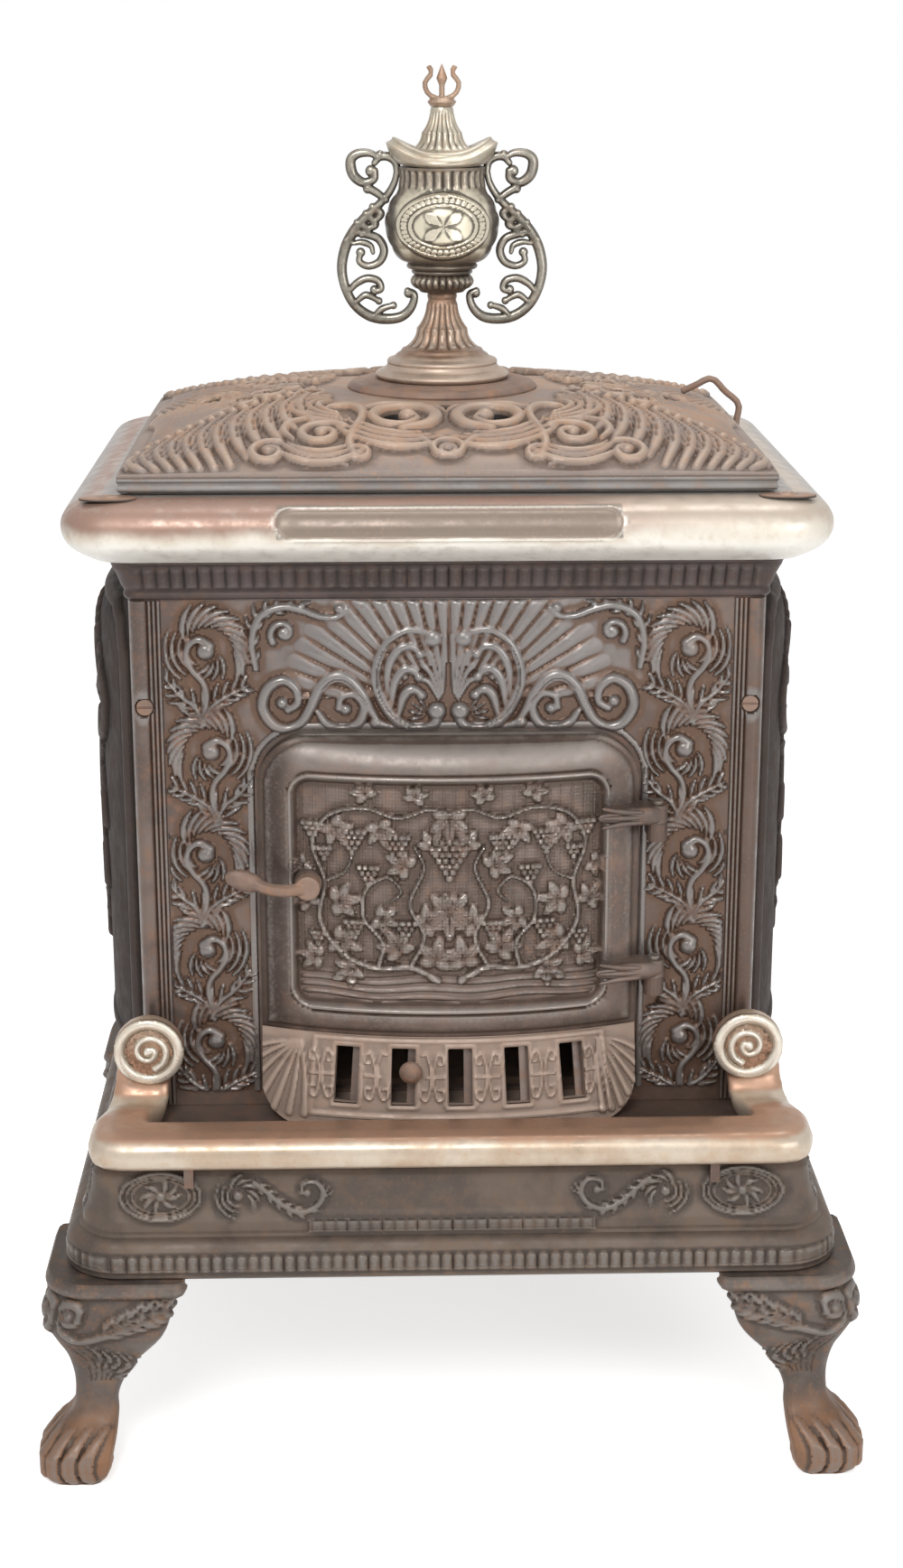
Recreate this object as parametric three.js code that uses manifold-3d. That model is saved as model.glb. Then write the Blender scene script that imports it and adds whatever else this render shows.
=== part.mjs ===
// Cast-iron parlour wood stove: rectangular body on four cabriole legs, bow-fronted feed door,
// draft panel with a sliding register, nickel foot rail and rim, and a swing top with an urn finial.
// Millimetres, +Z up, front towards -Y, origin on the floor under the middle of the stove.
import * as THREE from 'three';
import { mergeVertices } from 'three/addons/utils/BufferGeometryUtils.js';
import Module from 'manifold-3d';

const wasm = await Module();
wasm.setup();

// ---------------------------------------------------------------- driving dimensions
const GAP = 0.3; // clearance between touching castings
const RUN = 0.5; // clearance of a pin or rod in its bore
const PAST = 1; // a cutter runs this far past a face that it opens
const FAR = 20; // and this far where the face is curved

const LEG_HEIGHT = 190;
const LEG_REACH = 54; // outer corner past the base's top edge, at the paw
const LEG_BACKSET = 8; // a leg reaches this much less to the front than to the side
const LEG_WING = 119; // length of a leg's two wings at its top
const LEG_THICK = 32; // thickness of a wing at the paw
const LEG_WEB = 66; // inner corner from the outer corner, at the top
const LEG_BOLT_R = 4;
const LEG_BOLT_INSET = 28; // from the base's foot edge
const LEG_BOLT_DEPTH = 24;
const LEG_BOLT_HEAD_R = 8;
const LEG_BOLT_HEAD_T = 6;

const BASE_HALF_W = 306; // top edge of the base casting
const BASE_HALF_D = 280;
const BASE_HEIGHT = 90;
const BASE_CORNER_R = 22;
const BASE_FLARE = 28; // foot edge past the top edge
const BASE_WALL = 9;
const BASE_FOOT_REACH = 48; // width of the inner foot flange, which the legs bolt to
const BASE_FOOT_T = 6;
const HEARTH_T = 6.4;
const HEARTH_INSET = 2;

const BODY_HALF_W = 271.5;
const BODY_FRONT = -160;
const BODY_REAR = 268;
const BODY_HEIGHT = 463;
const PLATE_T = 8; // front and back plates
const POST_W = 21; // corner post across the front
const POST_D = 30; // corner post along the side
const POST_CORNER_R = 9;
const POST_SCREW_R = 7;
const POST_SCREW_HEAD = 3;
const POST_SCREW_DROP = 93.3; // below the body's top
const POST_SCREW_IN = 9; // from the post's inner edge
const SCREW_SHANK_R = 3;
const SCREW_LENGTH = 18;
const SCREW_SLOT = 2;
const SIDE_BOW = 45; // how far a side panel swells past the body
const SIDE_T = 6;
const SIDE_TOP_CURVE = 60;
const SIDE_FOOT_CURVE = 45;
const SIDE_INSET = 8; // edges of a side panel behind the posts' outer face

const CORNICE_HEIGHT = 36.5;
const CORNICE_FLARE = 16; // top edge past the body
const CORNICE_WALL = 14;
const RIM_HEIGHT = 54;
const RIM_OUT = 52.5; // overhang past the body
const RIM_CORNER_R = 10;
const RIM_LEDGE = 30; // how far the rim reaches in under the top plate
const RIM_LEDGE_T = 8;
const RIM_BAND = 2; // rim's inner edge, inside the body's outline
const RIM_SKIRT = 4; // width and height of the foot inside the body's outline
const TOP_PLATE_T = 8;
const TOP_PLATE_DROP = 10; // top plate below the rim's top
const LID_R = 92;
const LID_X = 112;
const LID_T = 5;
const LID_LEDGE = 8;
const LID_NOTCH_R = 5; // notch for the lid lifter
const LID_NOTCH_DEPTH = 2;
const LID_NOTCH_IN = 26; // from the lid's edge

const DOME_OVERHANG_X = 3.5; // edge of the swing top past the body
const DOME_OVERHANG_Y = 15;
const DOME_LIFT = 3; // underside of the swing top above the rim
const DOME_LIP = 13;
const DOME_RISE = 44; // from the lip to the crown of the swing top
const DOME_T = 6;
const DOME_LIP_T = 7;
const DOME_POWER = 2.5;
const DOME_SHOULDER = 0.6;
const DOME_PINHOLE_SIDE = 30; // pivot axis in from the swing top's left and rear edges
const PIVOT_R = 5;
const PIVOT_BOSS_R = 11;
const PIVOT_HEIGHT = 12; // pin above the underside of the swing top
const RIDGE_R = 5; // bars of the cast scrolls on the swing top and the side panels
const RIDGE_SINK = 1; // axis of such a bar below the surface that it stands on
const RIM_RIDGE_R = 4; // bar of the side panels' raised border
const RIDGE_SIDES = 4;
const SLOPE_STEP = 0.001; // share of a surface's size over which its slope is taken
const REST_LUG_SIZE = 14;
const REST_LUG_SINK = 3; // lug's root below the rim's top
const REST_LUG_Y = -120;

const COLLAR_R = 85;
const COLLAR_T = 7;
const LOOP_Y = 118; // place of the finger loop along the swing top's right edge
const LOOP_BAR_R = 3.6;
const LOOP_RISE = 20;
const LOOP_SPAN = 49; // from the loop's tail in to its foot

const ROD_R = 4;
const FOOT_R = 60;
const FOOT_H = 76.3;
const URN_R = 52;
const URN_H = 109.7;
const URN_WALL = 5;
const MEDALLION_HALF_W = 45;
const MEDALLION_HALF_H = 31;
const MEDALLION_RISE = 61; // centre above the urn's foot
const URN_LID_R = 42;
const URN_LID_H = 50.7;
const BRIM_REACH = 51;
const BRIM_HALF_T = 12;
const CROWN_R = 15;
const CROWN_H = 37.7;
const CROWN_BAR_R = 2.6;
const HANDLE_REACH = 90;
const HANDLE_H = 144;
const HANDLE_DROP = 23; // lowest point of a handle below the urn's foot
const HANDLE_BAR = 7;
const HANDLE_WIDTH = 9;
const HANDLE_LUG_R = 4;
const HANDLE_LUG_RISE = 87; // above the urn's foot
const NUT_T = 7;
const NUT_R = 8.8;
const ROD_END = 3; // rod past its nut

const DOOR_HALF_W = 165;
const DOOR_HEIGHT = 267;
const DOOR_CORNER_R = 46;
const DOOR_EDGE_T = 8;
const DOOR_BOW = 32;
const DOOR_HOOD = 40; // height over which the bow dies into the plate at the top
const DOOR_WALL = 8;
const PANEL_SIDE = 29; // frame beside, below and above the door's sunk panel
const PANEL_SILL = 25;
const PANEL_HEAD = 34;
const PANEL_SUNK = 6;
const POCKET_MARGIN = 9; // pocket in the door's back, past the sunk panel
const OPENING_MARGIN = 17; // front plate's opening inside the door's edge
const OPENING_SILL = 12;
const LINER_MARGIN = 8;
const LINER_T = 5;

const HINGE_BEYOND = 15; // pin axis past the door's edge
const HINGE_OUT = 18; // pin axis in front of the body
const HINGE_R = 9;
const HINGE_PIN_R = 3;
const HINGE_STRAP_H = 16;
const HINGE_LUG_H = 16;
const HINGE_WEB = 10; // width of the web behind a lug
const HINGE_RISES = [189, 47]; // joint line between lug and strap, above the door's foot
const STRAP_LENGTH = 46;
const STRAP_TAPER = 5; // strap's end in front of the door's face
const PIN_HEAD_R = 5;
const PIN_HEAD_T = 3;

const LATCH_IN = 43; // spindle from the door's edge
const LATCH_RISE = 138; // spindle above the door's foot
const LATCH_BOSS_R = 12;
const LATCH_BOSS_OUT = 4; // boss in front of the door's face
const LATCH_HUB_T = 14;
const LEVER_R = 6;
const THUMB_HALF_W = 18;
const THUMB_HALF_H = 10;
const THUMB_HALF_T = 6;
const THUMB_TILT = 18;
const LATCH_SPINDLE_R = 5;
const LATCH_REACH = 54;
const LATCH_TAIL = 34;
const LATCH_TAIL_ANGLE = 60;
const LATCH_TAIL_T = 5;
const LATCH_TAIL_HALF_W = 6;
const LATCH_TAIL_RIM = 4; // wall round the spindle

const DRAFT_HEIGHT = 79.4;
const DRAFT_SPLAY = 24; // how far the draft panel leans out at its foot
const DRAFT_FOOT_R = 34; // round lower corners of the draft panel
const DRAFT_WALL = 6;
const DRAFT_SILL = 11; // wall under the register's housing
const DRAFT_END_WALL = 14;
const DRAFT_HOLE_SILL = 14; // front plate's hole behind the register
const DRAFT_HOLE_HEAD = 10;
const SLOT_COUNT = 5;
const SLOT_PITCH = 49;
const SLOT_W = 21;
const SLOT_H = 48;
const SLOT_SHIFT = 9; // middle slot right of the panel's middle
const SLOT_RISE = 45.7; // middle of a slot above the draft panel's foot
const SLIDE_T = 3;
const SLIDE_HALF_W = 127;
const SLIDE_SHIFT = 6; // middle of the slide right of the panel's middle
const SLIDE_BAR = 20; // width of the slide's bars between its own slots
const KNOB_R = 10.5;
const KNOB_STEM_R = 3;
const KNOB_OUT = 16;
const KNOB_SEAT = 4; // stem's reach into the knob
const KNOB_SOCKET = 5; // socket in the knob, from the panel's face
const KNOB_FOOT = 2; // knob in front of the panel's face
const KNOB_RISE = 7; // above the slots' middle
const STEM_CLEAR = 0.6; // stem to the slot's end, and to the edge of its bar

const RAIL_OVERHANG_X = 5; // past the base's top edge
const RAIL_OVERHANG_Y = 22;
const RAIL_W = 52;
const RAIL_T = 29;
const RAIL_CORNER_R = 30;
const VOLUTE_OFF = 18; // back of a volute in front of the body
const ARM_RISE = 58;
const ARM_INSET = 18;
const VOLUTE_INSET = 47; // from the rail's outer edge
const VOLUTE_RISE = 64.7; // above the rail's foot
const VOLUTE_R = 31;
const VOLUTE_T = 14;
const CLIP_X = 224;
const CLIP_W = 8;
const CLIP_H = 18;
const CLIP_OFF = 5; // back of a clip in front of the base's top edge

const FLUE_DROP = 110.3; // collar's axis below the body's top
const FLUE_PIPE_R = 76;
const FLUE_BORE_R = 70;
const FLUE_FLANGE_R = 98;
const FLUE_FLANGE_T = 8;
const FLUE_LENGTH = 50;
const FLUE_HOLE_INSET = 4; // plate's hole inside the collar's bore
const FLUE_BOLT_R = 4;
const FLUE_BOLT_HEAD_T = 6;

const FIREBOX_FLOOR_T = 7;
const FIREBOX_LINER_T = 7;
const FIREBOX_LINER_H = 270;

// ---------------------------------------------------------------- worked-out heights and places
const BASE_TOP = LEG_HEIGHT + GAP + BASE_HEIGHT;
const HEARTH_TOP = BASE_TOP + GAP + HEARTH_T;
const BODY_BOTTOM = HEARTH_TOP + GAP;
const BODY_TOP = BODY_BOTTOM + BODY_HEIGHT;
const CORNICE_BOTTOM = BODY_TOP + GAP;
const CORNICE_TOP = CORNICE_BOTTOM + CORNICE_HEIGHT;
const RIM_BOTTOM = CORNICE_TOP + GAP;
const RIM_TOP = RIM_BOTTOM + RIM_HEIGHT;
const TOP_PLATE_TOP = RIM_TOP - TOP_PLATE_DROP;
const TOP_PLATE_BOTTOM = TOP_PLATE_TOP - TOP_PLATE_T;
const BODY_MID_Y = (BODY_FRONT + BODY_REAR) / 2;
const DOME_HALF_W = BODY_HALF_W + DOME_OVERHANG_X;
const DOME_HALF_D = (BODY_REAR - BODY_FRONT) / 2 + DOME_OVERHANG_Y;
const DOME_BOTTOM = RIM_TOP + DOME_LIFT;
const DOME_CROWN = DOME_BOTTOM + DOME_LIP + DOME_RISE;
const POST_INNER_X = BODY_HALF_W - POST_W;
const POST_SCREW_Z = BODY_TOP - POST_SCREW_DROP;
const FLUE_Z = BODY_TOP - FLUE_DROP;
const DRAFT_HALF_W = DOOR_HALF_W;
const DRAFT_BOTTOM = BODY_BOTTOM;
const DRAFT_TOP = DRAFT_BOTTOM + DRAFT_HEIGHT;
const DOOR_BOTTOM = DRAFT_TOP + GAP;
const DOOR_TOP = DOOR_BOTTOM + DOOR_HEIGHT;
const PANEL_HALF_W = DOOR_HALF_W - PANEL_SIDE;
const PANEL_BOTTOM = DOOR_BOTTOM + PANEL_SILL;
const PANEL_TOP = DOOR_TOP - PANEL_HEAD;
const DOOR_BACK = BODY_FRONT - GAP;
const DOOR_EDGE_Y = DOOR_BACK - DOOR_EDGE_T;
const BOW_RADIUS = (DOOR_HALF_W ** 2 + DOOR_BOW ** 2) / (2 * DOOR_BOW);
const BOW_CENTRE_Y = DOOR_EDGE_Y - DOOR_BOW + BOW_RADIUS;
const HINGE_X = DOOR_HALF_W + HINGE_BEYOND;
const HINGE_Y = BODY_FRONT - HINGE_OUT;
const HINGE_ZS = HINGE_RISES.map((rise) => DOOR_BOTTOM + rise);
const LATCH_X = -DOOR_HALF_W + LATCH_IN;
const LATCH_Z = DOOR_BOTTOM + LATCH_RISE;
const RAIL_HALF_W = BASE_HALF_W + RAIL_OVERHANG_X;
const RAIL_FRONT = -BASE_HALF_D - RAIL_OVERHANG_Y;
const ARM_BACK = BODY_FRONT - VOLUTE_OFF - RAIL_FRONT;
const PIVOT_X = -DOME_HALF_W + DOME_PINHOLE_SIDE;
const PIVOT_Y = BODY_MID_Y + DOME_HALF_D - DOME_PINHOLE_SIDE;

// ---------------------------------------------------------------- colours
const IRON = { color: 0x4a4039, roughness: 0.62, metalness: 0.7 };
const RUSTY_IRON = { color: 0x6b4c3a, roughness: 0.85, metalness: 0.4 };
const TAN_RUST = { color: 0x9c7a60, roughness: 0.85, metalness: 0.3 };
const NICKEL = { color: 0xb9aa92, roughness: 0.35, metalness: 0.9 };
const STEEL = { color: 0x6d6862, roughness: 0.5, metalness: 0.9 };

// ---------------------------------------------------------------- geometry helpers
const UP = new THREE.Vector3(0, 0, 1);

// Closed geometry from points and triangles, turned so that its faces point out.
function closedGeometry(points, faces) {
  let volume = 0;
  for (const [a, b, c] of faces) {
    volume += points[a].dot(new THREE.Vector3().crossVectors(points[b], points[c]));
  }
  const index = faces.flatMap(([a, b, c]) => (volume > 0 ? [a, b, c] : [a, c, b]));
  const geometry = new THREE.BufferGeometry();
  const coordinates = points.flatMap((p) => p.toArray());
  geometry.setAttribute('position', new THREE.Float32BufferAttribute(coordinates, 3));
  geometry.setIndex(index);
  return geometry;
}

// Skin between rings of equal length. A ring-shaped skin closes on its first ring; otherwise its two
// ends are filled, seen along the axis that is left out of `flat`.
function loft(rings, { ringShaped = false, flat = ['x', 'y'] } = {}) {
  const n = rings[0].length;
  const points = rings.flat();
  const faces = [];
  const spans = ringShaped ? rings.length : rings.length - 1;
  for (let i = 0; i < spans; i++) {
    const j = (i + 1) % rings.length;
    for (let k = 0; k < n; k++) {
      const l = (k + 1) % n;
      faces.push([i * n + k, i * n + l, j * n + l], [i * n + k, j * n + l, j * n + k]);
    }
  }
  if (!ringShaped) {
    for (const [ring, turned] of [[0, true], [rings.length - 1, false]]) {
      const outline = rings[ring].map((p) => new THREE.Vector2(p[flat[0]], p[flat[1]]));
      const wound = THREE.ShapeUtils.area(outline) < 0;
      for (const [a, b, c] of THREE.ShapeUtils.triangulateShape(outline, [])) {
        const face = [ring * n + a, ring * n + b, ring * n + c];
        faces.push(turned !== wound ? face.reverse() : face);
      }
    }
  }
  return closedGeometry(points, faces);
}

// Solid between two grids of points, front(u, v) and back(u, v), with u and v from 0 to 1.
function gridSolid(nu, nv, front, back) {
  const points = [];
  const faces = [];
  const at = (side, i, j) => side * (nu + 1) * (nv + 1) + j * (nu + 1) + i;
  for (const surface of [front, back]) {
    for (let j = 0; j <= nv; j++) {
      for (let i = 0; i <= nu; i++) {
        points.push(surface(i / nu, j / nv));
      }
    }
  }
  for (let j = 0; j < nv; j++) {
    for (let i = 0; i < nu; i++) {
      faces.push([at(0, i, j), at(0, i + 1, j), at(0, i + 1, j + 1)]);
      faces.push([at(0, i, j), at(0, i + 1, j + 1), at(0, i, j + 1)]);
      faces.push([at(1, i, j), at(1, i + 1, j + 1), at(1, i + 1, j)]);
      faces.push([at(1, i, j), at(1, i, j + 1), at(1, i + 1, j + 1)]);
    }
  }
  const edge = [];
  for (let i = 0; i < nu; i++) edge.push([i, 0]);
  for (let j = 0; j < nv; j++) edge.push([nu, j]);
  for (let i = nu; i > 0; i--) edge.push([i, nv]);
  for (let j = nv; j > 0; j--) edge.push([0, j]);
  edge.forEach(([i, j], k) => {
    const [i2, j2] = edge[(k + 1) % edge.length];
    faces.push([at(0, i, j), at(1, i, j), at(1, i2, j2)], [at(0, i, j), at(1, i2, j2), at(0, i2, j2)]);
  });
  return closedGeometry(points, faces);
}

function toManifold(geometry) {
  const bare = geometry.clone();
  bare.deleteAttribute('normal');
  bare.deleteAttribute('uv');
  const merged = mergeVertices(bare, 1e-4);
  return new wasm.Manifold(new wasm.Mesh({
    numProp: 3,
    vertProperties: new Float32Array(merged.attributes.position.array),
    triVerts: new Uint32Array(merged.index.array),
  }));
}

function toGeometry(manifold) {
  const mesh = manifold.getMesh();
  const geometry = new THREE.BufferGeometry();
  geometry.setAttribute('position', new THREE.BufferAttribute(mesh.vertProperties, 3));
  geometry.setIndex(new THREE.BufferAttribute(mesh.triVerts, 1));
  return geometry;
}

function join(first, ...others) {
  return toGeometry(others.reduce((sum, g) => sum.add(toManifold(g)), toManifold(first)));
}

function cut(first, ...tools) {
  return toGeometry(tools.reduce((rest, g) => rest.subtract(toManifold(g)), toManifold(first)));
}

const common = (a, b) => toGeometry(toManifold(a).intersect(toManifold(b)));

// Corner points of a rounded rectangle given by its edges, counter-clockwise.
function roundedRectangle(x0, x1, y0, y1, radius, steps = 3) {
  const points = [];
  const corners = [
    [x1 - radius, y1 - radius],
    [x0 + radius, y1 - radius],
    [x0 + radius, y0 + radius],
    [x1 - radius, y0 + radius],
  ];
  corners.forEach(([cx, cy], quarter) => {
    for (let s = 0; s <= steps; s++) {
      const a = (quarter + s / steps) * Math.PI / 2;
      points.push(new THREE.Vector2(cx + radius * Math.cos(a), cy + radius * Math.sin(a)));
    }
  });
  return points;
}

// Rectangular frame whose section is a closed profile of [out, z] points, out from the given edges.
function mouldedFrame(halfX, y0, y1, cornerRadius, profile) {
  const rings = profile.map(([out, z]) => {
    const radius = Math.max(cornerRadius + out, 1);
    const outline = roundedRectangle(-halfX - out, halfX + out, y0 - out, y1 + out, radius);
    return outline.map((p) => new THREE.Vector3(p.x, p.y, z));
  });
  return loft(rings, { ringShaped: true });
}

function box(x0, x1, y0, y1, z0, z1) {
  const geometry = new THREE.BoxGeometry(x1 - x0, y1 - y0, z1 - z0);
  return geometry.translate((x0 + x1) / 2, (y0 + y1) / 2, (z0 + z1) / 2);
}

// Flat plate: an outline in the x-y plane raised from z0 to z1.
function raised(outline, z0, z1, holes = []) {
  const shape = outline instanceof THREE.Shape ? outline : new THREE.Shape(outline);
  shape.holes.push(...holes);
  return new THREE.ExtrudeGeometry(shape, { depth: z1 - z0, bevelEnabled: false, curveSegments: 10 })
    .translate(0, 0, z0);
}

// Upright plate: an outline in the x-z plane, from y0 back to y1.
function upright(outline, y0, y1, holes = []) {
  return raised(outline, -y1, -y0, holes).rotateX(Math.PI / 2);
}

const rodZ = (r, x, y, z0, z1, sides = 12) => new THREE.CylinderGeometry(r, r, z1 - z0, sides)
  .rotateX(Math.PI / 2).translate(x, y, (z0 + z1) / 2);
const rodY = (r, x, z, y0, y1, sides = 12) => new THREE.CylinderGeometry(r, r, y1 - y0, sides)
  .translate(x, (y0 + y1) / 2, z);
const rodX = (r, y, z, x0, x1, sides = 12) => new THREE.CylinderGeometry(r, r, x1 - x0, sides)
  .rotateZ(Math.PI / 2).translate((x0 + x1) / 2, y, z);

const round = (shape, radius, clockwise = false) => (
  shape.absarc(0, 0, radius, 0, 2 * Math.PI, clockwise)
);

// Bar of an outline swept along a path.
function swept(section, path, steps) {
  return mergeVertices(new THREE.ExtrudeGeometry(section, {
    extrudePath: path,
    steps,
    curveSegments: 3,
    bevelEnabled: false,
  }));
}

// Cast ridge: a bar half sunk in a surface, through [u, v] points on it. At each point its section
// stands across the bar, with one corner straight out of the surface, towards `outward`.
function ridge(surface, outward, radius, points) {
  const n = RIDGE_SIDES;
  const path = points.map(([u, v]) => surface(u, v));
  const rings = path.flatMap((p, i) => {
    const [u, v] = points[i];
    const ahead = path[Math.min(i + 1, path.length - 1)];
    const along = ahead.clone().sub(path[Math.max(i - 1, 0)]);
    const acrossU = surface(u + SLOPE_STEP, v).sub(p);
    const out = acrossU.cross(surface(u, v + SLOPE_STEP).sub(p)).normalize();
    out.multiplyScalar(Math.sign(out.dot(outward)));
    const side = along.cross(out).normalize();
    return Array.from({ length: n }, (_, k) => p.clone()
      .addScaledVector(out, radius * Math.cos(2 * Math.PI * k / n))
      .addScaledVector(side, radius * Math.sin(2 * Math.PI * k / n)));
  });
  const faces = [];
  const last = (path.length - 1) * n;
  for (let i = 0; i < last; i += n) {
    for (let k = 0; k < n; k++) {
      const l = (k + 1) % n;
      faces.push([i + k, i + l, i + n + l], [i + k, i + n + l, i + n + k]);
    }
  }
  for (let k = 1; k < n - 1; k++) {
    faces.push([0, k + 1, k], [last, last + k, last + k + 1]);
  }
  return closedGeometry(rings, faces);
}

// Points spaced along a smooth curve through the given [u, v] points, for a ridge.
const drawn = (steps, points) => (
  new THREE.CatmullRomCurve3(points.map(([u, v]) => new THREE.Vector3(u, v, 0)))
    .getSpacedPoints(steps)
    .map((p) => [p.x, p.y])
);

// Volute as a curve for a ridge, wound in from its outer end.
function volute(u, v, outerR, innerR, start, turns, stretch, steps) {
  const points = [];
  for (let i = 0; i <= steps; i++) {
    const r = outerR + (innerR - outerR) * i / steps;
    const angle = start + turns * 2 * Math.PI * i / steps;
    points.push([u + r * Math.cos(angle), v + r * stretch * Math.sin(angle)]);
  }
  return points;
}

// Profile given in shares of a radius and a height, from `foot` up.
const profileOf = (shares, radius, height, foot) => (
  shares.map(([r, up]) => [r * radius, foot + up * height])
);

// Turned piece about an upright axis; profile of [radius, z] points.
function turned(profile, x, y, sides = 22) {
  const points = profile.map(([r, z]) => new THREE.Vector2(r, z));
  return new THREE.LatheGeometry(points, sides).rotateX(Math.PI / 2).translate(x, y, 0);
}

// Mirror image across the middle plane, its triangles turned back to face out.
const mirrored = (geometry) => {
  const copy = mergeVertices(geometry).scale(-1, 1, 1);
  const index = copy.index.array;
  for (let i = 0; i < index.length; i += 3) {
    [index[i], index[i + 1]] = [index[i + 1], index[i]];
  }
  return copy;
};

// ---------------------------------------------------------------- the assembly
const stove = new THREE.Group();

function add(name, geometry, finish) {
  const plain = geometry.index ? geometry : mergeVertices(geometry);
  const mesh = new THREE.Mesh(plain, new THREE.MeshStandardMaterial(finish));
  mesh.name = name;
  stove.add(mesh);
  return mesh;
}

// ---------------------------------------------------------------- legs
// Stations up the cabriole: share of the leg's height, reach, wing length, wing thickness and web.
const LEG_STATIONS = [
  [0, 0.85, 0.39, 0.75, 0.62],
  [0.053, 0.96, 0.5, 0.94, 0.8],
  [0.126, 1, 0.54, 1, 0.85],
  [0.21, 0.81, 0.48, 0.88, 0.76],
  [0.295, 0.5, 0.35, 0.69, 0.56],
  [0.379, 0.43, 0.32, 0.62, 0.52],
  [0.474, 0.44, 0.39, 0.69, 0.61],
  [0.579, 0.54, 0.54, 0.75, 0.76],
  [0.663, 0.7, 0.72, 0.75, 0.88],
  [0.742, 0.83, 0.87, 0.75, 0.94],
  [0.83, 0.83, 0.92, 0.75, 0.97],
  [0.916, 0.74, 0.92, 0.75, 0.97],
  [0.937, 0.8, 1, 0.81, 1],
  [1, 0.78, 1, 0.81, 1],
];
const LEG_ROUND = 0.28; // outer corner's radius as a share of the wing

function legRing([up, reachShare, wingShare, thickShare, webShare]) {
  const cornerX = -BASE_HALF_W - reachShare * LEG_REACH;
  const cornerY = -BASE_HALF_D - reachShare * LEG_REACH + LEG_BACKSET;
  const wing = wingShare * LEG_WING;
  const thick = thickShare * LEG_THICK;
  const web = webShare * LEG_WEB;
  const radius = wing * LEG_ROUND;
  const outline = [[wing, 0]];
  for (let s = 0; s <= 4; s++) {
    const a = (1.5 - s / 8) * Math.PI;
    outline.push([radius + radius * Math.cos(a), radius + radius * Math.sin(a)]);
  }
  outline.push([0, wing], [thick, wing], [web, web], [wing, thick]);
  return outline.map(([x, y]) => new THREE.Vector3(cornerX + x, cornerY + y, up * LEG_HEIGHT));
}

const legBoltX = BASE_HALF_W + BASE_FLARE - LEG_BOLT_INSET;
const legBoltY = BASE_HALF_D + BASE_FLARE - LEG_BOLT_INSET - LEG_BACKSET;
const legBoltSeat = LEG_HEIGHT + GAP + BASE_FOOT_T + GAP;

const legBlank = cut(
  loft(LEG_STATIONS.map(legRing)),
  rodZ(LEG_BOLT_R + RUN, -legBoltX, -legBoltY, LEG_HEIGHT - LEG_BOLT_DEPTH - RUN, LEG_HEIGHT + PAST, 10),
);
const legBolt = turned([
  [0, LEG_HEIGHT - LEG_BOLT_DEPTH],
  [LEG_BOLT_R, LEG_HEIGHT - LEG_BOLT_DEPTH],
  [LEG_BOLT_R, legBoltSeat],
  [LEG_BOLT_HEAD_R, legBoltSeat],
  [LEG_BOLT_HEAD_R, legBoltSeat + LEG_BOLT_HEAD_T],
  [0, legBoltSeat + LEG_BOLT_HEAD_T],
], -legBoltX, -legBoltY, 8);

for (const [end, turnEnd] of [['front', 1], ['rear', -1]]) {
  for (const [side, turnSide] of [['left', 1], ['right', -1]]) {
    for (const [name, blank, finish] of [['leg', legBlank, RUSTY_IRON], ['leg_bolt', legBolt, STEEL]]) {
      const mesh = add(`${name}_${end}_${side}`, blank.clone(), finish);
      mesh.scale.set(turnSide, turnEnd, 1);
    }
  }
}

// ---------------------------------------------------------------- base and hearth
const baseFoot = LEG_HEIGHT + GAP;
// Outer face from the top down: sloping panel, step, cove, fluted band and fillet, as shares of the
// flare and of the height.
const BASE_FACE = [
  [0, 1],
  [0.11, 0.93],
  [0.29, 0.62],
  [0.46, 0.51],
  [0.5, 0.42],
  [0.71, 0.37],
  [0.96, 0.3],
  [1, 0.27],
  [1, 0.067],
  [0.89, 0],
];
const BASE_BAND = 0.27; // share of the height where the flare begins inside
const BASE_SLOPE = 0.51; // and where it ends
const baseProfile = [
  ...BASE_FACE.map(([out, up]) => [out * BASE_FLARE, baseFoot + up * BASE_HEIGHT]),
  [BASE_FLARE - BASE_FOOT_REACH, baseFoot],
  [BASE_FLARE - BASE_FOOT_REACH, baseFoot + BASE_FOOT_T],
  [BASE_FLARE - BASE_WALL, baseFoot + BASE_FOOT_T],
  [BASE_FLARE - BASE_WALL, baseFoot + BASE_BAND * BASE_HEIGHT],
  [-BASE_WALL / 2, baseFoot + BASE_SLOPE * BASE_HEIGHT],
  [-BASE_WALL, BASE_TOP - BASE_WALL],
  [-2 * BASE_WALL, BASE_TOP - BASE_WALL],
  [-2 * BASE_WALL, BASE_TOP],
];
const legBoltHoles = [[-1, -1], [-1, 1], [1, -1], [1, 1]].map(([sx, sy]) => (
  rodZ(LEG_BOLT_R + RUN, sx * legBoltX, sy * legBoltY, baseFoot - PAST, baseFoot + BASE_FOOT_T + PAST, 10)
));
add('base_casting', cut(
  mouldedFrame(BASE_HALF_W, -BASE_HALF_D, BASE_HALF_D, BASE_CORNER_R, baseProfile),
  ...legBoltHoles,
), IRON);

const hearthOutline = roundedRectangle(
  -BASE_HALF_W + HEARTH_INSET,
  BASE_HALF_W - HEARTH_INSET,
  -BASE_HALF_D + HEARTH_INSET,
  BASE_HALF_D - HEARTH_INSET,
  BASE_CORNER_R,
);
add('hearth_plate', raised(hearthOutline, BASE_TOP + GAP, HEARTH_TOP), IRON);

// ---------------------------------------------------------------- foot rail
const railBottom = HEARTH_TOP + GAP;
// Section, a rolled nose and a flat tread: shares of the width, in from the outer edge, and of the
// thickness, up from the underside.
const RAIL_SECTION = [
  [0.08, 0],
  [0.02, 0.17],
  [0, 0.41],
  [0.04, 0.69],
  [0.17, 0.91],
  [0.38, 1],
  [0.83, 0.97],
  [0.98, 0.83],
  [1, 0.55],
  [0.96, 0],
];

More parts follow.
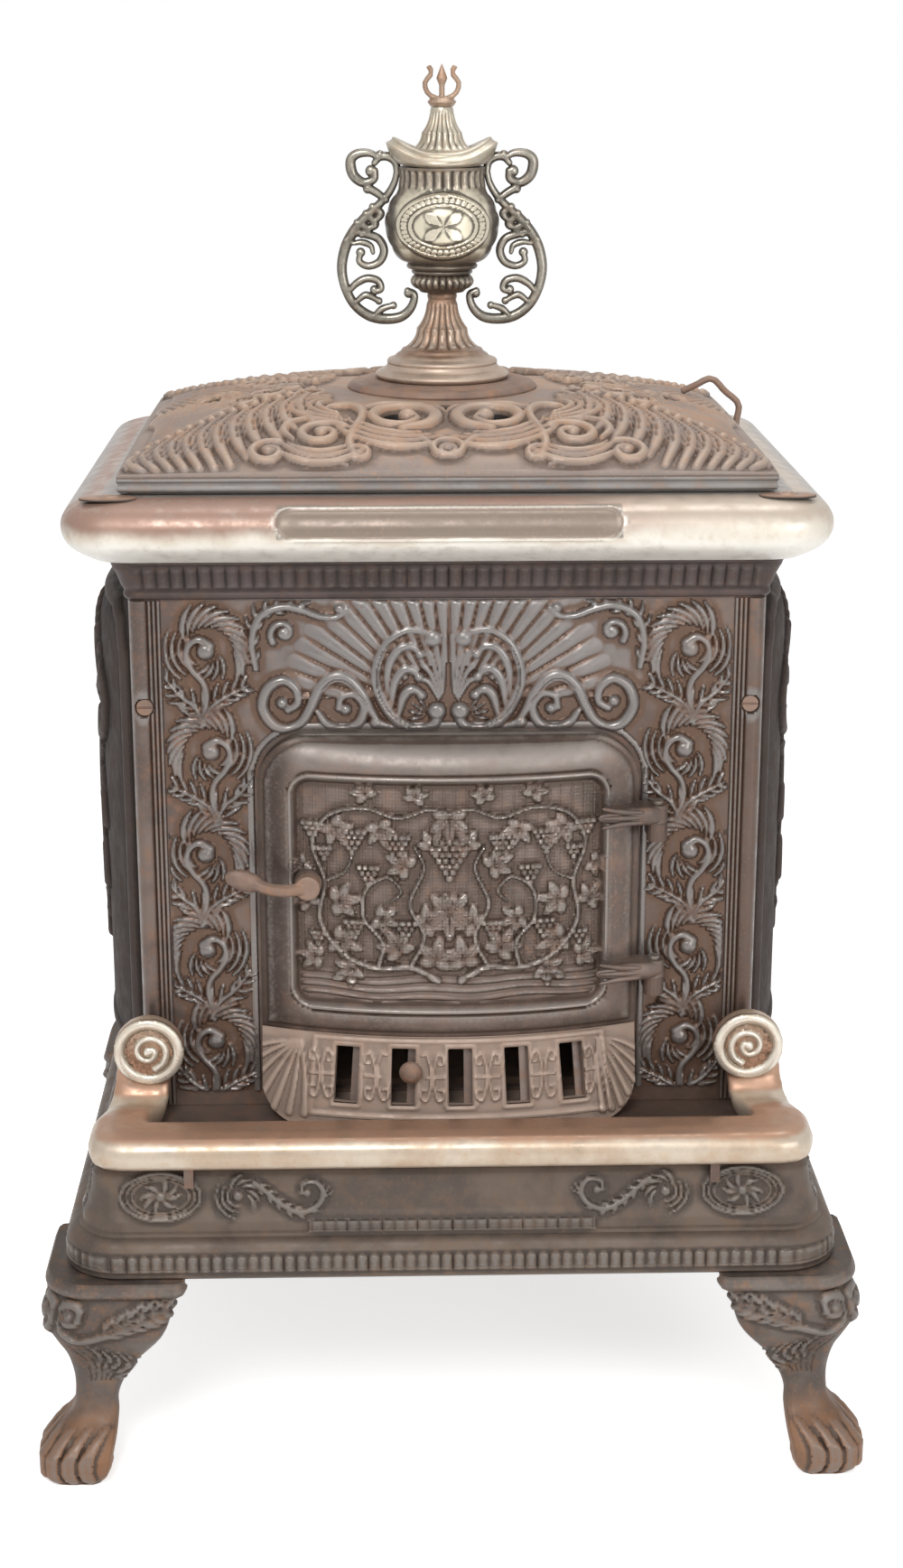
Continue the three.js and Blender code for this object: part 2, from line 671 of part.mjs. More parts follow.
// One ring of the rail: foot point, inward direction, lift direction, and how much of the section's
// thickness and width is left there.
function railRing(foot, inward, lift, thickness = 1, width = 1) {
  return RAIL_SECTION.map(([w, h]) => foot.clone()
    .addScaledVector(inward, w * width * RAIL_W)
    .addScaledVector(lift, h * thickness * RAIL_T));
}

// Side arm from the volute forward: shares of the arm's inset, of its reach back and of its rise, then
// the tilt in degrees and the shares of thickness and width left.
const ARM_STATIONS = [
  { inset: 1, back: 1, up: 1, tilt: 90, thickness: 0.42, width: 0.9 },
  { inset: 0.89, back: 1, up: 0.62, tilt: 88, thickness: 0.42, width: 0.94 },
  { inset: 0.72, back: 0.95, up: 0.31, tilt: 62, thickness: 0.48, width: 0.98 },
  { inset: 0.5, back: 0.84, up: 0.1, tilt: 30, thickness: 0.6, width: 1 },
  { inset: 0.22, back: 0.68, up: 0, tilt: 0, thickness: 0.8, width: 1 },
  { inset: 0, back: 0.47, up: 0, tilt: 0, thickness: 1, width: 1 },
];

function armRings(side) {
  const inward = new THREE.Vector3(-side, 0, 0);
  return ARM_STATIONS.map(({ inset, back, up, tilt, thickness, width }) => {
    const t = THREE.MathUtils.degToRad(tilt);
    const foot = new THREE.Vector3(
      side * (RAIL_HALF_W - inset * ARM_INSET),
      RAIL_FRONT + back * ARM_BACK,
      railBottom + up * ARM_RISE,
    );
    return railRing(foot, inward, new THREE.Vector3(0, -Math.sin(t), Math.cos(t)), thickness, width);
  });
}

function cornerRings(side) {
  const steps = 3;
  const rings = [];
  const centreX = side * (RAIL_HALF_W - RAIL_CORNER_R);
  for (let s = 0; s <= steps; s++) {
    const a = s / steps * Math.PI / 2;
    const outward = new THREE.Vector3(side * Math.cos(a), -Math.sin(a), 0);
    const centre = new THREE.Vector3(centreX, RAIL_FRONT + RAIL_CORNER_R, railBottom);
    rings.push(railRing(centre.addScaledVector(outward, RAIL_CORNER_R), outward.clone().negate(), UP));
  }
  return rings;
}

const railBody = loft([
  ...armRings(-1),
  ...cornerRings(-1),
  ...cornerRings(1).reverse(),
  ...armRings(1).reverse(),
]);
const voluteBack = RAIL_FRONT + ARM_BACK;
const voluteX = RAIL_HALF_W - VOLUTE_INSET;
const voluteZ = railBottom + VOLUTE_RISE;
const volutes = [-1, 1].map((side) => (
  rodY(VOLUTE_R, side * voluteX, voluteZ, voluteBack - VOLUTE_T, voluteBack, 24)
));
add('foot_rail', join(railBody, ...volutes), NICKEL);

// Clips that hook the rail to the base's face.
const clipBack = -BASE_HALF_D - CLIP_OFF;
for (const [side, sign] of [['left', -1], ['right', 1]]) {
  const x = sign * CLIP_X;
  add(`rail_clip_${side}`, box(
    x - CLIP_W / 2,
    x + CLIP_W / 2,
    clipBack - CLIP_W,
    clipBack,
    railBottom - GAP - CLIP_H,
    railBottom - GAP,
  ), IRON);
}

// ---------------------------------------------------------------- corner posts and their screws
function postOutline(x0, x1, y0, y1) {
  const shape = new THREE.Shape();
  shape.moveTo(x0, y0);
  shape.lineTo(x1 - POST_CORNER_R, y0);
  shape.absarc(x1 - POST_CORNER_R, y0 + POST_CORNER_R, POST_CORNER_R, -Math.PI / 2, 0, false);
  shape.lineTo(x1, y1);
  shape.lineTo(x0, y1);
  shape.closePath();
  return shape;
}
const postBlank = raised(
  postOutline(POST_INNER_X + GAP, BODY_HALF_W, BODY_FRONT, BODY_FRONT + POST_D),
  BODY_BOTTOM,
  BODY_TOP,
);
const screwX = POST_INNER_X + POST_SCREW_IN;
const postWithHole = cut(
  postBlank,
  rodY(SCREW_SHANK_R + RUN, screwX, POST_SCREW_Z, BODY_FRONT - PAST, BODY_FRONT + SCREW_LENGTH + RUN, 12),
);
const postScrew = cut(
  join(
    rodY(SCREW_SHANK_R, screwX, POST_SCREW_Z, BODY_FRONT - PAST, BODY_FRONT + SCREW_LENGTH, 12),
    rodY(POST_SCREW_R, screwX, POST_SCREW_Z, BODY_FRONT - GAP - POST_SCREW_HEAD, BODY_FRONT - GAP, 20),
  ),
  box(
    screwX - POST_SCREW_R - PAST,
    screwX + POST_SCREW_R + PAST,
    BODY_FRONT - GAP - POST_SCREW_HEAD - PAST,
    BODY_FRONT - GAP - POST_SCREW_HEAD / 2,
    POST_SCREW_Z - SCREW_SLOT / 2,
    POST_SCREW_Z + SCREW_SLOT / 2,
  ),
);
for (const [side, turnSide] of [['left', -1], ['right', 1]]) {
  add(`corner_post_front_${side}`, postWithHole.clone(), IRON).scale.set(turnSide, 1, 1);
  add(`post_screw_${side}`, postScrew.clone(), RUSTY_IRON).scale.set(turnSide, 1, 1);
  const rear = add(`corner_post_rear_${side}`, postBlank.clone(), IRON);
  rear.scale.set(turnSide, -1, 1);
  rear.position.y = BODY_FRONT + BODY_REAR;
}

// ---------------------------------------------------------------- front plate
// Outline of the door grown or shrunk by an offset: square foot, round top corners.
function doorOutline(inset, bottom, top = DOOR_TOP - inset) {
  const w = DOOR_HALF_W - inset;
  const r = Math.max(DOOR_CORNER_R - inset, PAST);
  const path = new THREE.Shape();
  path.moveTo(-w, bottom);
  path.lineTo(w, bottom);
  path.lineTo(w, top - r);
  path.absarc(w - r, top - r, r, 0, Math.PI / 2, false);
  path.lineTo(-w + r, top);
  path.absarc(-w + r, top - r, r, Math.PI / 2, Math.PI, false);
  path.closePath();
  return path;
}

const rectangle = (halfW, bottom, top) => [
  new THREE.Vector2(-halfW, bottom),
  new THREE.Vector2(halfW, bottom),
  new THREE.Vector2(halfW, top),
  new THREE.Vector2(-halfW, top),
];
const openingBottom = DOOR_BOTTOM + OPENING_SILL;
const bodySheet = rectangle(POST_INNER_X, BODY_BOTTOM, BODY_TOP);
const draftHole = rectangle(
  DRAFT_HALF_W - 3 * DRAFT_END_WALL,
  DRAFT_BOTTOM + DRAFT_HOLE_SILL,
  DRAFT_TOP - DRAFT_HOLE_HEAD,
);
const frontPlate = upright(bodySheet, BODY_FRONT, BODY_FRONT + PLATE_T, [
  doorOutline(OPENING_MARGIN, openingBottom),
  new THREE.Path(draftHole),
]);
const hingeLugs = HINGE_ZS.flatMap((z) => [
  rodZ(HINGE_R, HINGE_X, HINGE_Y, z - HINGE_LUG_H, z - GAP / 2, 18),
  box(
    HINGE_X - HINGE_WEB / 2,
    HINGE_X + HINGE_WEB / 2,
    HINGE_Y,
    BODY_FRONT + PAST,
    z - HINGE_LUG_H,
    z - GAP / 2,
  ),
]);
const hingeBores = HINGE_ZS.map((z) => (
  rodZ(HINGE_PIN_R + RUN, HINGE_X, HINGE_Y, z - HINGE_LUG_H - PAST, z + PAST, 12)
));
add('front_plate', cut(join(frontPlate, ...hingeLugs), ...hingeBores), IRON);

// ---------------------------------------------------------------- feed door
// Front of the bow at x, measured as y; it runs on down into the draft panel.
const bowY = (x, grow = 0) => BOW_CENTRE_Y - Math.sqrt((BOW_RADIUS + grow) ** 2 - x ** 2);

// The bow dies into the flat edge over the hood height below the door's top.
function doorFrontY(x, z) {
  const rise = THREE.MathUtils.clamp((z - (DOOR_TOP - DOOR_HOOD)) / DOOR_HOOD, 0, 1);
  const left = Math.sqrt(1 - rise ** 2);
  return DOOR_EDGE_Y + (bowY(x) - DOOR_EDGE_Y) * left;
}

const DOOR_SLICES = 10;
const DOOR_ROWS = [0, 0.3, 0.6, 0.84, 0.9, 0.95, 0.98, 1];
const rowAt = (v) => DOOR_ROWS[Math.round(v * (DOOR_ROWS.length - 1))];

// Slab that follows the door's face, from `front` behind it to `back` behind it, or to a flat back.
function doorSlab(halfW, bottom, top, front, back, flatBack) {
  const place = (u, v, depth) => {
    const x = (2 * u - 1) * halfW;
    const z = bottom + (top - bottom) * rowAt(v);
    const y = depth === null ? flatBack : doorFrontY(x, z) + depth;
    return new THREE.Vector3(x, y, z);
  };
  return gridSolid(
    DOOR_SLICES,
    DOOR_ROWS.length - 1,
    (u, v) => place(u, v, front),
    (u, v) => place(u, v, back),
  );
}
const doorBlank = common(
  doorSlab(DOOR_HALF_W, DOOR_BOTTOM, DOOR_TOP, 0, null, DOOR_BACK),
  upright(doorOutline(0, DOOR_BOTTOM), DOOR_BACK - DOOR_BOW - FAR, DOOR_BACK + FAR),
);
const panelRecess = doorSlab(PANEL_HALF_W, PANEL_BOTTOM, PANEL_TOP, -FAR, PANEL_SUNK);
const doorPocket = doorSlab(
  PANEL_HALF_W - POCKET_MARGIN,
  PANEL_BOTTOM - POCKET_MARGIN,
  PANEL_TOP,
  PANEL_SUNK + DOOR_WALL,
  null,
  DOOR_BACK + FAR,
);
const latchFace = doorFrontY(LATCH_X, LATCH_Z) - LATCH_BOSS_OUT;
const doorBoss = rodY(LATCH_BOSS_R, LATCH_X, LATCH_Z, latchFace, DOOR_BACK, 20);
const spindleBore = rodY(LATCH_SPINDLE_R + RUN, LATCH_X, LATCH_Z, latchFace - FAR, DOOR_BACK + FAR, 16);
const strapEnd = HINGE_X - STRAP_LENGTH;
const straps = HINGE_ZS.flatMap((z) => {
  const bottom = z + GAP / 2;
  const top = bottom + HINGE_STRAP_H;
  const tongue = new THREE.Shape([
    new THREE.Vector2(HINGE_X, HINGE_Y - HINGE_R),
    new THREE.Vector2(strapEnd, doorFrontY(strapEnd, z) - STRAP_TAPER),
    new THREE.Vector2(strapEnd, DOOR_EDGE_Y + PAST),
    new THREE.Vector2(HINGE_X - 2 * HINGE_R, DOOR_EDGE_Y + PAST),
    new THREE.Vector2(HINGE_X, HINGE_Y + HINGE_R - PAST),
  ]);
  return [rodZ(HINGE_R, HINGE_X, HINGE_Y, bottom, top, 18), raised(tongue, bottom, top)];
});
const strapBores = HINGE_ZS.map((z) => (
  rodZ(HINGE_PIN_R + RUN, HINGE_X, HINGE_Y, z - PAST, z + HINGE_STRAP_H + PAST, 12)
));
add('feed_door', cut(
  join(cut(doorBlank, panelRecess, doorPocket), doorBoss, ...straps),
  spindleBore,
  ...strapBores,
), IRON);

const linerInset = OPENING_MARGIN + LINER_MARGIN;
const linerFront = DOOR_BACK + GAP;
add('door_liner', cut(
  upright(doorOutline(linerInset, openingBottom + LINER_MARGIN), linerFront, linerFront + LINER_T),
  rodY(LATCH_SPINDLE_R + RUN, LATCH_X, LATCH_Z, linerFront - PAST, linerFront + LINER_T + PAST, 16),
), RUSTY_IRON);

const pinNames = ['hinge_pin_upper', 'hinge_pin_lower'];
HINGE_ZS.forEach((z, i) => {
  const seat = z + GAP / 2 + HINGE_STRAP_H + GAP;
  add(pinNames[i], turned([
    [0, z - HINGE_LUG_H],
    [HINGE_PIN_R, z - HINGE_LUG_H],
    [HINGE_PIN_R, seat],
    [PIN_HEAD_R, seat],
    [PIN_HEAD_R, seat + PIN_HEAD_T],
    [0, seat + PIN_HEAD_T],
  ], HINGE_X, HINGE_Y, 12), STEEL);
});

// ---------------------------------------------------------------- latch
const handleSeat = latchFace - GAP;
const tailFront = BODY_FRONT + PLATE_T + PAST;
const hub = rodY(LATCH_BOSS_R - PAST, LATCH_X, LATCH_Z, handleSeat - LATCH_HUB_T, handleSeat, 20);
const leverPath = new THREE.QuadraticBezierCurve3(
  new THREE.Vector3(LATCH_X, handleSeat - LATCH_HUB_T / 2, LATCH_Z),
  new THREE.Vector3(
    LATCH_X - LATCH_REACH * 0.45,
    handleSeat - LATCH_HUB_T * 1.6,
    LATCH_Z - LATCH_REACH * 0.07,
  ),
  new THREE.Vector3(LATCH_X - LATCH_REACH * 0.85, handleSeat - LATCH_HUB_T, LATCH_Z + LATCH_REACH * 0.11),
);
const lever = swept(round(new THREE.Shape(), LEVER_R), leverPath, 6);
const thumbPad = new THREE.SphereGeometry(1, 12, 8)
  .scale(THUMB_HALF_W, THUMB_HALF_T, THUMB_HALF_H)
  .rotateY(THREE.MathUtils.degToRad(THUMB_TILT))
  .translate(LATCH_X - LATCH_REACH, handleSeat - LATCH_HUB_T, LATCH_Z + LATCH_REACH * 0.15);
const socketEnd = handleSeat - LATCH_HUB_T / 2 + LEVER_R + PAST;
const spindleSocket = rodY(LATCH_SPINDLE_R + RUN, LATCH_X, LATCH_Z, socketEnd, handleSeat + PAST, 16);
add('latch_handle', cut(join(hub, lever, thumbPad), spindleSocket), STEEL);
add('latch_spindle', rodY(
  LATCH_SPINDLE_R,
  LATCH_X,
  LATCH_Z,
  socketEnd + GAP,
  tailFront + LATCH_TAIL_T + PAST,
  16,
), STEEL);

// Tail: leans up and to the left at rest, and comes down behind the plate as the handle is pressed.
const tailShape = new THREE.Shape();
tailShape.absarc(0, 0, LATCH_SPINDLE_R + LATCH_TAIL_RIM, -Math.PI / 2, Math.PI / 2, false);
tailShape.lineTo(-LATCH_TAIL, LATCH_TAIL_HALF_W);
tailShape.lineTo(-LATCH_TAIL, -LATCH_TAIL_HALF_W);
tailShape.closePath();
const tailHole = round(new THREE.Path(), LATCH_SPINDLE_R + RUN, true);
add('latch_tail', upright(tailShape, tailFront, tailFront + LATCH_TAIL_T, [tailHole])
  .rotateY(THREE.MathUtils.degToRad(LATCH_TAIL_ANGLE))
  .translate(LATCH_X, 0, LATCH_Z), STEEL);

// ---------------------------------------------------------------- draft panel and register
const splay = (z) => DRAFT_SPLAY * (DRAFT_TOP - z) / DRAFT_HEIGHT;

// Slab of a cone about the bow's upright axis, between two depths behind the draft panel's face.
function draftSlab(halfW, bottom, top, front, back, flatBack) {
  const place = (u, v, depth) => {
    const x = (2 * u - 1) * halfW;
    const z = bottom + (top - bottom) * v;
    const y = depth === null ? flatBack : bowY(x, splay(z) - depth);
    return new THREE.Vector3(x, y, z);
  };
  return gridSolid(20, 1, (u, v) => place(u, v, front), (u, v) => place(u, v, back));
}

// Turns a piece that stands over the panel's middle along the bow to the place x.
function alongBow(geometry, x) {
  return geometry.translate(0, -BOW_CENTRE_Y, 0).rotateZ(x / BOW_RADIUS).translate(0, BOW_CENTRE_Y, 0);
}

const draftCornerX = DRAFT_HALF_W - DRAFT_FOOT_R;
const draftCornerZ = DRAFT_BOTTOM + DRAFT_FOOT_R;
const draftOutline = new THREE.Shape();
draftOutline.moveTo(-DRAFT_HALF_W, DRAFT_TOP);
draftOutline.lineTo(-DRAFT_HALF_W, draftCornerZ);
draftOutline.absarc(-draftCornerX, draftCornerZ, DRAFT_FOOT_R, Math.PI, 1.5 * Math.PI, false);
draftOutline.lineTo(draftCornerX, DRAFT_BOTTOM);
draftOutline.absarc(draftCornerX, draftCornerZ, DRAFT_FOOT_R, -Math.PI / 2, 0, false);
draftOutline.lineTo(DRAFT_HALF_W, DRAFT_TOP);
draftOutline.closePath();
const draftBlank = common(
  draftSlab(DRAFT_HALF_W, DRAFT_BOTTOM, DRAFT_TOP, 0, null, DOOR_BACK),
  upright(draftOutline, BOW_CENTRE_Y - BOW_RADIUS - DRAFT_SPLAY - FAR, DOOR_BACK + FAR),
);
const housingHalfW = DRAFT_HALF_W - DRAFT_END_WALL;
const housingBottom = DRAFT_BOTTOM + DRAFT_SILL;
const housingTop = DRAFT_TOP - DRAFT_WALL;
const housing = draftSlab(housingHalfW, housingBottom, housingTop, DRAFT_WALL, null, DOOR_BACK + FAR);
const slotZ = DRAFT_BOTTOM + SLOT_RISE;

// Cutter for one upright slot at the place x along the panel.
function slotCutter(x, width) {
  const front = BOW_CENTRE_Y - BOW_RADIUS - DRAFT_SPLAY - FAR;
  return alongBow(box(-width / 2, width / 2, front, DOOR_BACK, slotZ - SLOT_H / 2, slotZ + SLOT_H / 2), x);
}
const slotXs = Array.from({ length: SLOT_COUNT }, (_, i) => (
  SLOT_SHIFT + (i - (SLOT_COUNT - 1) / 2) * SLOT_PITCH
));
add('draft_panel', cut(draftBlank, housing, ...slotXs.map((x) => slotCutter(x, SLOT_W))), TAN_RUST);

const slideFront = DRAFT_WALL + RUN;
const slideBlank = alongBow(draftSlab(
  SLIDE_HALF_W,
  housingBottom + GAP,
  housingTop - GAP,
  slideFront,
  slideFront + SLIDE_T,
), SLIDE_SHIFT);
// The knob's stem stands at the right end of the second slot, near the left edge of a bar.
const stemX = slotXs[1] + SLOT_W / 2 - KNOB_STEM_R - STEM_CLEAR;
const barX = stemX - KNOB_STEM_R - STEM_CLEAR + SLIDE_BAR / 2;
const slideCutters = slotXs.map((x) => (
  slotCutter(x - slotXs[1] + barX - SLOT_PITCH / 2, SLOT_PITCH - SLIDE_BAR)
));
const knobZ = slotZ + KNOB_RISE;
const knobY = BOW_CENTRE_Y - BOW_RADIUS - splay(knobZ);
const stem = alongBow(rodY(KNOB_STEM_R, 0, knobZ, knobY - KNOB_SEAT, knobY + slideFront + SLIDE_T - PAST, 12), stemX);
add('draft_slide', join(cut(slideBlank, ...slideCutters), stem), IRON);

const knobProfile = [
  [0, KNOB_OUT],
  [KNOB_R * 0.5, KNOB_OUT * 0.94],
  [KNOB_R * 0.9, KNOB_OUT * 0.69],
  [KNOB_R, KNOB_OUT * 0.5],
  [KNOB_R * 0.8, KNOB_OUT * 0.31],
  [KNOB_R * 0.55, KNOB_OUT * 0.19],
  [KNOB_R * 0.55, KNOB_FOOT],
  [KNOB_STEM_R + RUN, KNOB_FOOT],
  [KNOB_STEM_R + RUN, KNOB_SOCKET],
  [0, KNOB_SOCKET],
].map(([r, out]) => new THREE.Vector2(r, out)).reverse();
const knob = new THREE.LatheGeometry(knobProfile, 18).rotateX(Math.PI).translate(0, knobY, knobZ);
add('draft_knob', alongBow(knob, stemX), RUSTY_IRON);

// ---------------------------------------------------------------- side panels
const sideFront = BODY_FRONT + POST_D + GAP;
const sideRear = BODY_REAR - POST_D - GAP;

function sideSwell(y, z) {
  const across = 1 - ((y - BODY_MID_Y) / ((sideRear - sideFront) / 2)) ** 2;
  const top = THREE.MathUtils.clamp((z - (BODY_TOP - SIDE_TOP_CURVE)) / SIDE_TOP_CURVE, 0, 1);
  const foot = THREE.MathUtils.clamp((BODY_BOTTOM + SIDE_FOOT_CURVE - z) / SIDE_FOOT_CURVE, 0, 1);
  const upDown = Math.sqrt(1 - top ** 2) * Math.sqrt(1 - foot ** 2);
  return (SIDE_BOW + SIDE_INSET) * Math.max(across, 0) ** 0.8 * upDown;
}
const SIDE_ROWS = [0, 0.02, 0.05, 0.1, 0.36, 0.62, 0.87, 0.91, 0.95, 0.98, 1];
const SIDE_COLUMNS = 8;
const sidePanel = gridSolid(
  SIDE_COLUMNS,
  SIDE_ROWS.length - 1,
  ...[0, SIDE_T].map((depth) => (u, v) => {
    const y = sideFront + (sideRear - sideFront) * u;
    const z = BODY_BOTTOM + BODY_HEIGHT * SIDE_ROWS[Math.round(v * (SIDE_ROWS.length - 1))];
    return new THREE.Vector3(BODY_HALF_W - SIDE_INSET + sideSwell(y, z) - depth, y, z);
  }),
);
// Relief of a side panel: a border, a shell and two scrolls with hanging stems. Curves are drawn in
// shares of the panel's half depth and of its height, and each runs once on either half.
const SHELL_UP = 0.72;
const SHELL_INNER = 0.15;
const SHELL_OUTER = 0.48;
const SHELL_RAYS = [Math.PI / 12, Math.PI / 3.7];
const SIDE_CURVES = [
  drawn(7, [[0.09, 0.684], [0.27, 0.654], [0.47, 0.684], [0.545, 0.744], [0.46, 0.79], [0.36, 0.765]]),
  drawn(6, [[0.04, 0.655], [0.17, 0.545], [0.13, 0.416], [0.04, 0.3], [0.03, 0.2]]),
  drawn(3, [[0.15, 0.5], [0.3, 0.53], [0.38, 0.48]]),
  drawn(3, [[0.12, 0.4], [0.27, 0.41], [0.34, 0.35]]),
];
const SIDE_BORDER = [
  [-0.02, 0.955],
  [0.25, 0.955],
  [0.5, 0.955],
  [0.7, 0.955],
  [0.83, 0.93],
  [0.88, 0.87],
  [0.88, 0.13],
  [0.83, 0.08],
  [0.7, 0.06],
  [0.5, 0.06],
  [0.25, 0.06],
  [-0.02, 0.06],
];
const sideHalfD = (sideRear - sideFront) / 2;
const shellStretch = sideHalfD / BODY_HEIGHT;
const shellRay = (angle) => [SHELL_INNER, (SHELL_INNER + SHELL_OUTER) / 2, SHELL_OUTER].map((r) => [
  r * Math.cos(angle),
  SHELL_UP + r * Math.sin(angle) * shellStretch,
]);
const sideOut = new THREE.Vector3(1, 0, 0);
const sideRidges = [1, -1].flatMap((way) => {
  const onSide = (across, up) => {
    const y = BODY_MID_Y + way * across * sideHalfD;
    const z = BODY_BOTTOM + up * BODY_HEIGHT;
    return new THREE.Vector3(BODY_HALF_W - SIDE_INSET + sideSwell(y, z) - RIDGE_SINK, y, z);
  };
  const curves = [...SIDE_CURVES, ...SHELL_RAYS.map(shellRay)];
  return [
    ...curves.map((points) => ridge(onSide, sideOut, RIDGE_R, points)),
    ridge(onSide, sideOut, RIM_RIDGE_R, SIDE_BORDER),
  ];
});
const reliefSide = join(sidePanel, ...sideRidges);
add('side_panel_right', reliefSide, IRON);
add('side_panel_left', reliefSide.clone(), IRON).scale.set(-1, 1, 1);

// ---------------------------------------------------------------- back plate and flue
const circlePath = (x, y, r) => {
  const path = new THREE.Path();
  path.absarc(x, y, r, 0, 2 * Math.PI, true);
  return path;
};
const flueBoltX = (FLUE_FLANGE_R + FLUE_PIPE_R) / 2;
add('back_plate', upright(bodySheet, BODY_REAR - PLATE_T, BODY_REAR, [
  circlePath(0, FLUE_Z, FLUE_BORE_R - FLUE_HOLE_INSET),
  circlePath(-flueBoltX, FLUE_Z, FLUE_BOLT_R + RUN),
  circlePath(flueBoltX, FLUE_Z, FLUE_BOLT_R + RUN),
]), IRON);

const flueStart = BODY_REAR + GAP;
const flueEnd = BODY_REAR + FLUE_LENGTH;
const flueProfile = [
  [FLUE_BORE_R, flueStart],
  [FLUE_FLANGE_R, flueStart],
  [FLUE_FLANGE_R, flueStart + FLUE_FLANGE_T],
  [FLUE_PIPE_R, flueStart + FLUE_FLANGE_T],
  [FLUE_PIPE_R, flueEnd],
  [FLUE_BORE_R, flueEnd],
  [FLUE_BORE_R, flueStart],
].map(([r, y]) => new THREE.Vector2(r, y));
const flueCollar = cut(
  new THREE.LatheGeometry(flueProfile, 32).translate(0, 0, FLUE_Z),
  ...[-flueBoltX, flueBoltX].map((x) => (
    rodY(FLUE_BOLT_R + RUN, x, FLUE_Z, flueStart - PAST, flueStart + FAR, 12)
  )),
);
add('flue_collar', flueCollar, IRON);
for (const [side, sign] of [['left', -1], ['right', 1]]) {
  const head = flueStart + FLUE_FLANGE_T + GAP;
  add(`flue_bolt_${side}`, join(
    rodY(
      FLUE_BOLT_R,
      sign * flueBoltX,
      FLUE_Z,
      BODY_REAR - PLATE_T - FLUE_BOLT_HEAD_T,
      head + PAST,
      12,
    ),
    rodY(FLUE_BOLT_R * 2, sign * flueBoltX, FLUE_Z, head, head + FLUE_BOLT_HEAD_T, 6),
  ), STEEL);
}

// ---------------------------------------------------------------- firebox
const fireFront = BODY_FRONT + PLATE_T + GAP;
const fireRear = BODY_REAR - PLATE_T - GAP;
const fireHalfW = POST_INNER_X - GAP;
const fireFloorTop = BODY_BOTTOM + FIREBOX_FLOOR_T;
add('firebox_floor', box(
  -fireHalfW,
  fireHalfW,
  fireFront + POST_D,
  fireRear - POST_D,
  BODY_BOTTOM,
  fireFloorTop,
), RUSTY_IRON);
const linerBottom = fireFloorTop + GAP;
const linerTop = linerBottom + FIREBOX_LINER_H;
const sideLinerFront = fireFront + POST_D + PAST;
const sideLinerRear = fireRear - POST_D - FIREBOX_LINER_T;
for (const [side, sign] of [['left', -1], ['right', 1]]) {
  add(`firebox_liner_${side}`, box(
    fireHalfW - FIREBOX_LINER_T,
    fireHalfW,
    sideLinerFront,
    sideLinerRear,
    linerBottom,
    linerTop,
  ), RUSTY_IRON).scale.set(sign, 1, 1);
}
add('firebox_liner_back', box(
  -fireHalfW,
  fireHalfW,
  sideLinerRear + GAP,
  fireRear - POST_D,
  linerBottom,
  linerTop,
), RUSTY_IRON);

// ---------------------------------------------------------------- cornice, rim and top plate
// Cornice face, a bead, a flared cove and a fillet: shares of its flare and of its height.
const CORNICE_FACE = [
  [0.125, 0],
  [0.19, 0.17],
  [0.22, 0.22],
  [0.31, 0.44],
  [0.56, 0.68],
  [0.81, 0.86],
  [1, 1],
];
add('cornice', mouldedFrame(BODY_HALF_W, BODY_FRONT, BODY_REAR, RIM_CORNER_R, [
  ...CORNICE_FACE.map(([out, up]) => [out * CORNICE_FLARE, CORNICE_BOTTOM + up * CORNICE_HEIGHT]),
  [-CORNICE_WALL, CORNICE_TOP],
  [-CORNICE_WALL, CORNICE_BOTTOM],
]), IRON);

// Rim face as [share of the overhang, share of its height], from the underside round to the top.
const RIM_FACE = [
  [0.5, 0],
  [0.72, 0.12],
  [0.88, 0.24],
  [0.97, 0.38],
  [1, 0.53],
  [0.96, 0.69],
  [0.82, 0.85],
  [0.58, 0.95],
  [0.28, 1],
];
const rimLedgeTop = TOP_PLATE_BOTTOM - GAP;
const rimFrame = mouldedFrame(BODY_HALF_W, BODY_FRONT, BODY_REAR, RIM_CORNER_R, [
  ...RIM_FACE.map(([out, up]) => [out * RIM_OUT, RIM_BOTTOM + up * RIM_HEIGHT]),
  [-RIM_BAND, RIM_TOP],
  [-RIM_BAND, rimLedgeTop],
  [-RIM_LEDGE, rimLedgeTop],
  [-RIM_LEDGE, rimLedgeTop - RIM_LEDGE_T],
  [-RIM_SKIRT, RIM_BOTTOM + RIM_SKIRT],
  [-RIM_SKIRT, RIM_BOTTOM],
]);
// Lug on the rim's right side that the swing top's edge rests on.
const restLug = box(
  DOME_HALF_W - REST_LUG_SIZE / 2,
  DOME_HALF_W + REST_LUG_SIZE / 2,
  REST_LUG_Y - REST_LUG_SIZE / 2,
  REST_LUG_Y + REST_LUG_SIZE / 2,
  RIM_TOP - REST_LUG_SINK,
  DOME_BOTTOM - GAP,
);
add('top_rim', join(rimFrame, restLug), NICKEL);

const plateInset = RIM_BAND + GAP;
const plateOutline = roundedRectangle(
  -BODY_HALF_W + plateInset,
  BODY_HALF_W - plateInset,
  BODY_FRONT + plateInset,
  BODY_REAR - plateInset,
  RIM_CORNER_R - plateInset,
);
const lidCentres = [['left', -LID_X], ['right', LID_X]];
const LID_HOLE_SIDES = 32;
const lidHoles = lidCentres.flatMap(([, x]) => [
  rodZ(LID_R - LID_LEDGE, x, BODY_MID_Y, TOP_PLATE_BOTTOM - PAST, TOP_PLATE_TOP + PAST, LID_HOLE_SIDES),
  rodZ(LID_R + GAP, x, BODY_MID_Y, TOP_PLATE_TOP - LID_T - GAP, TOP_PLATE_TOP + PAST, LID_HOLE_SIDES),
]);
const pivotHole = rodZ(
  PIVOT_R + RUN,
  PIVOT_X,
  PIVOT_Y,
  TOP_PLATE_BOTTOM - PAST,
  TOP_PLATE_TOP + PAST,
  14,
);
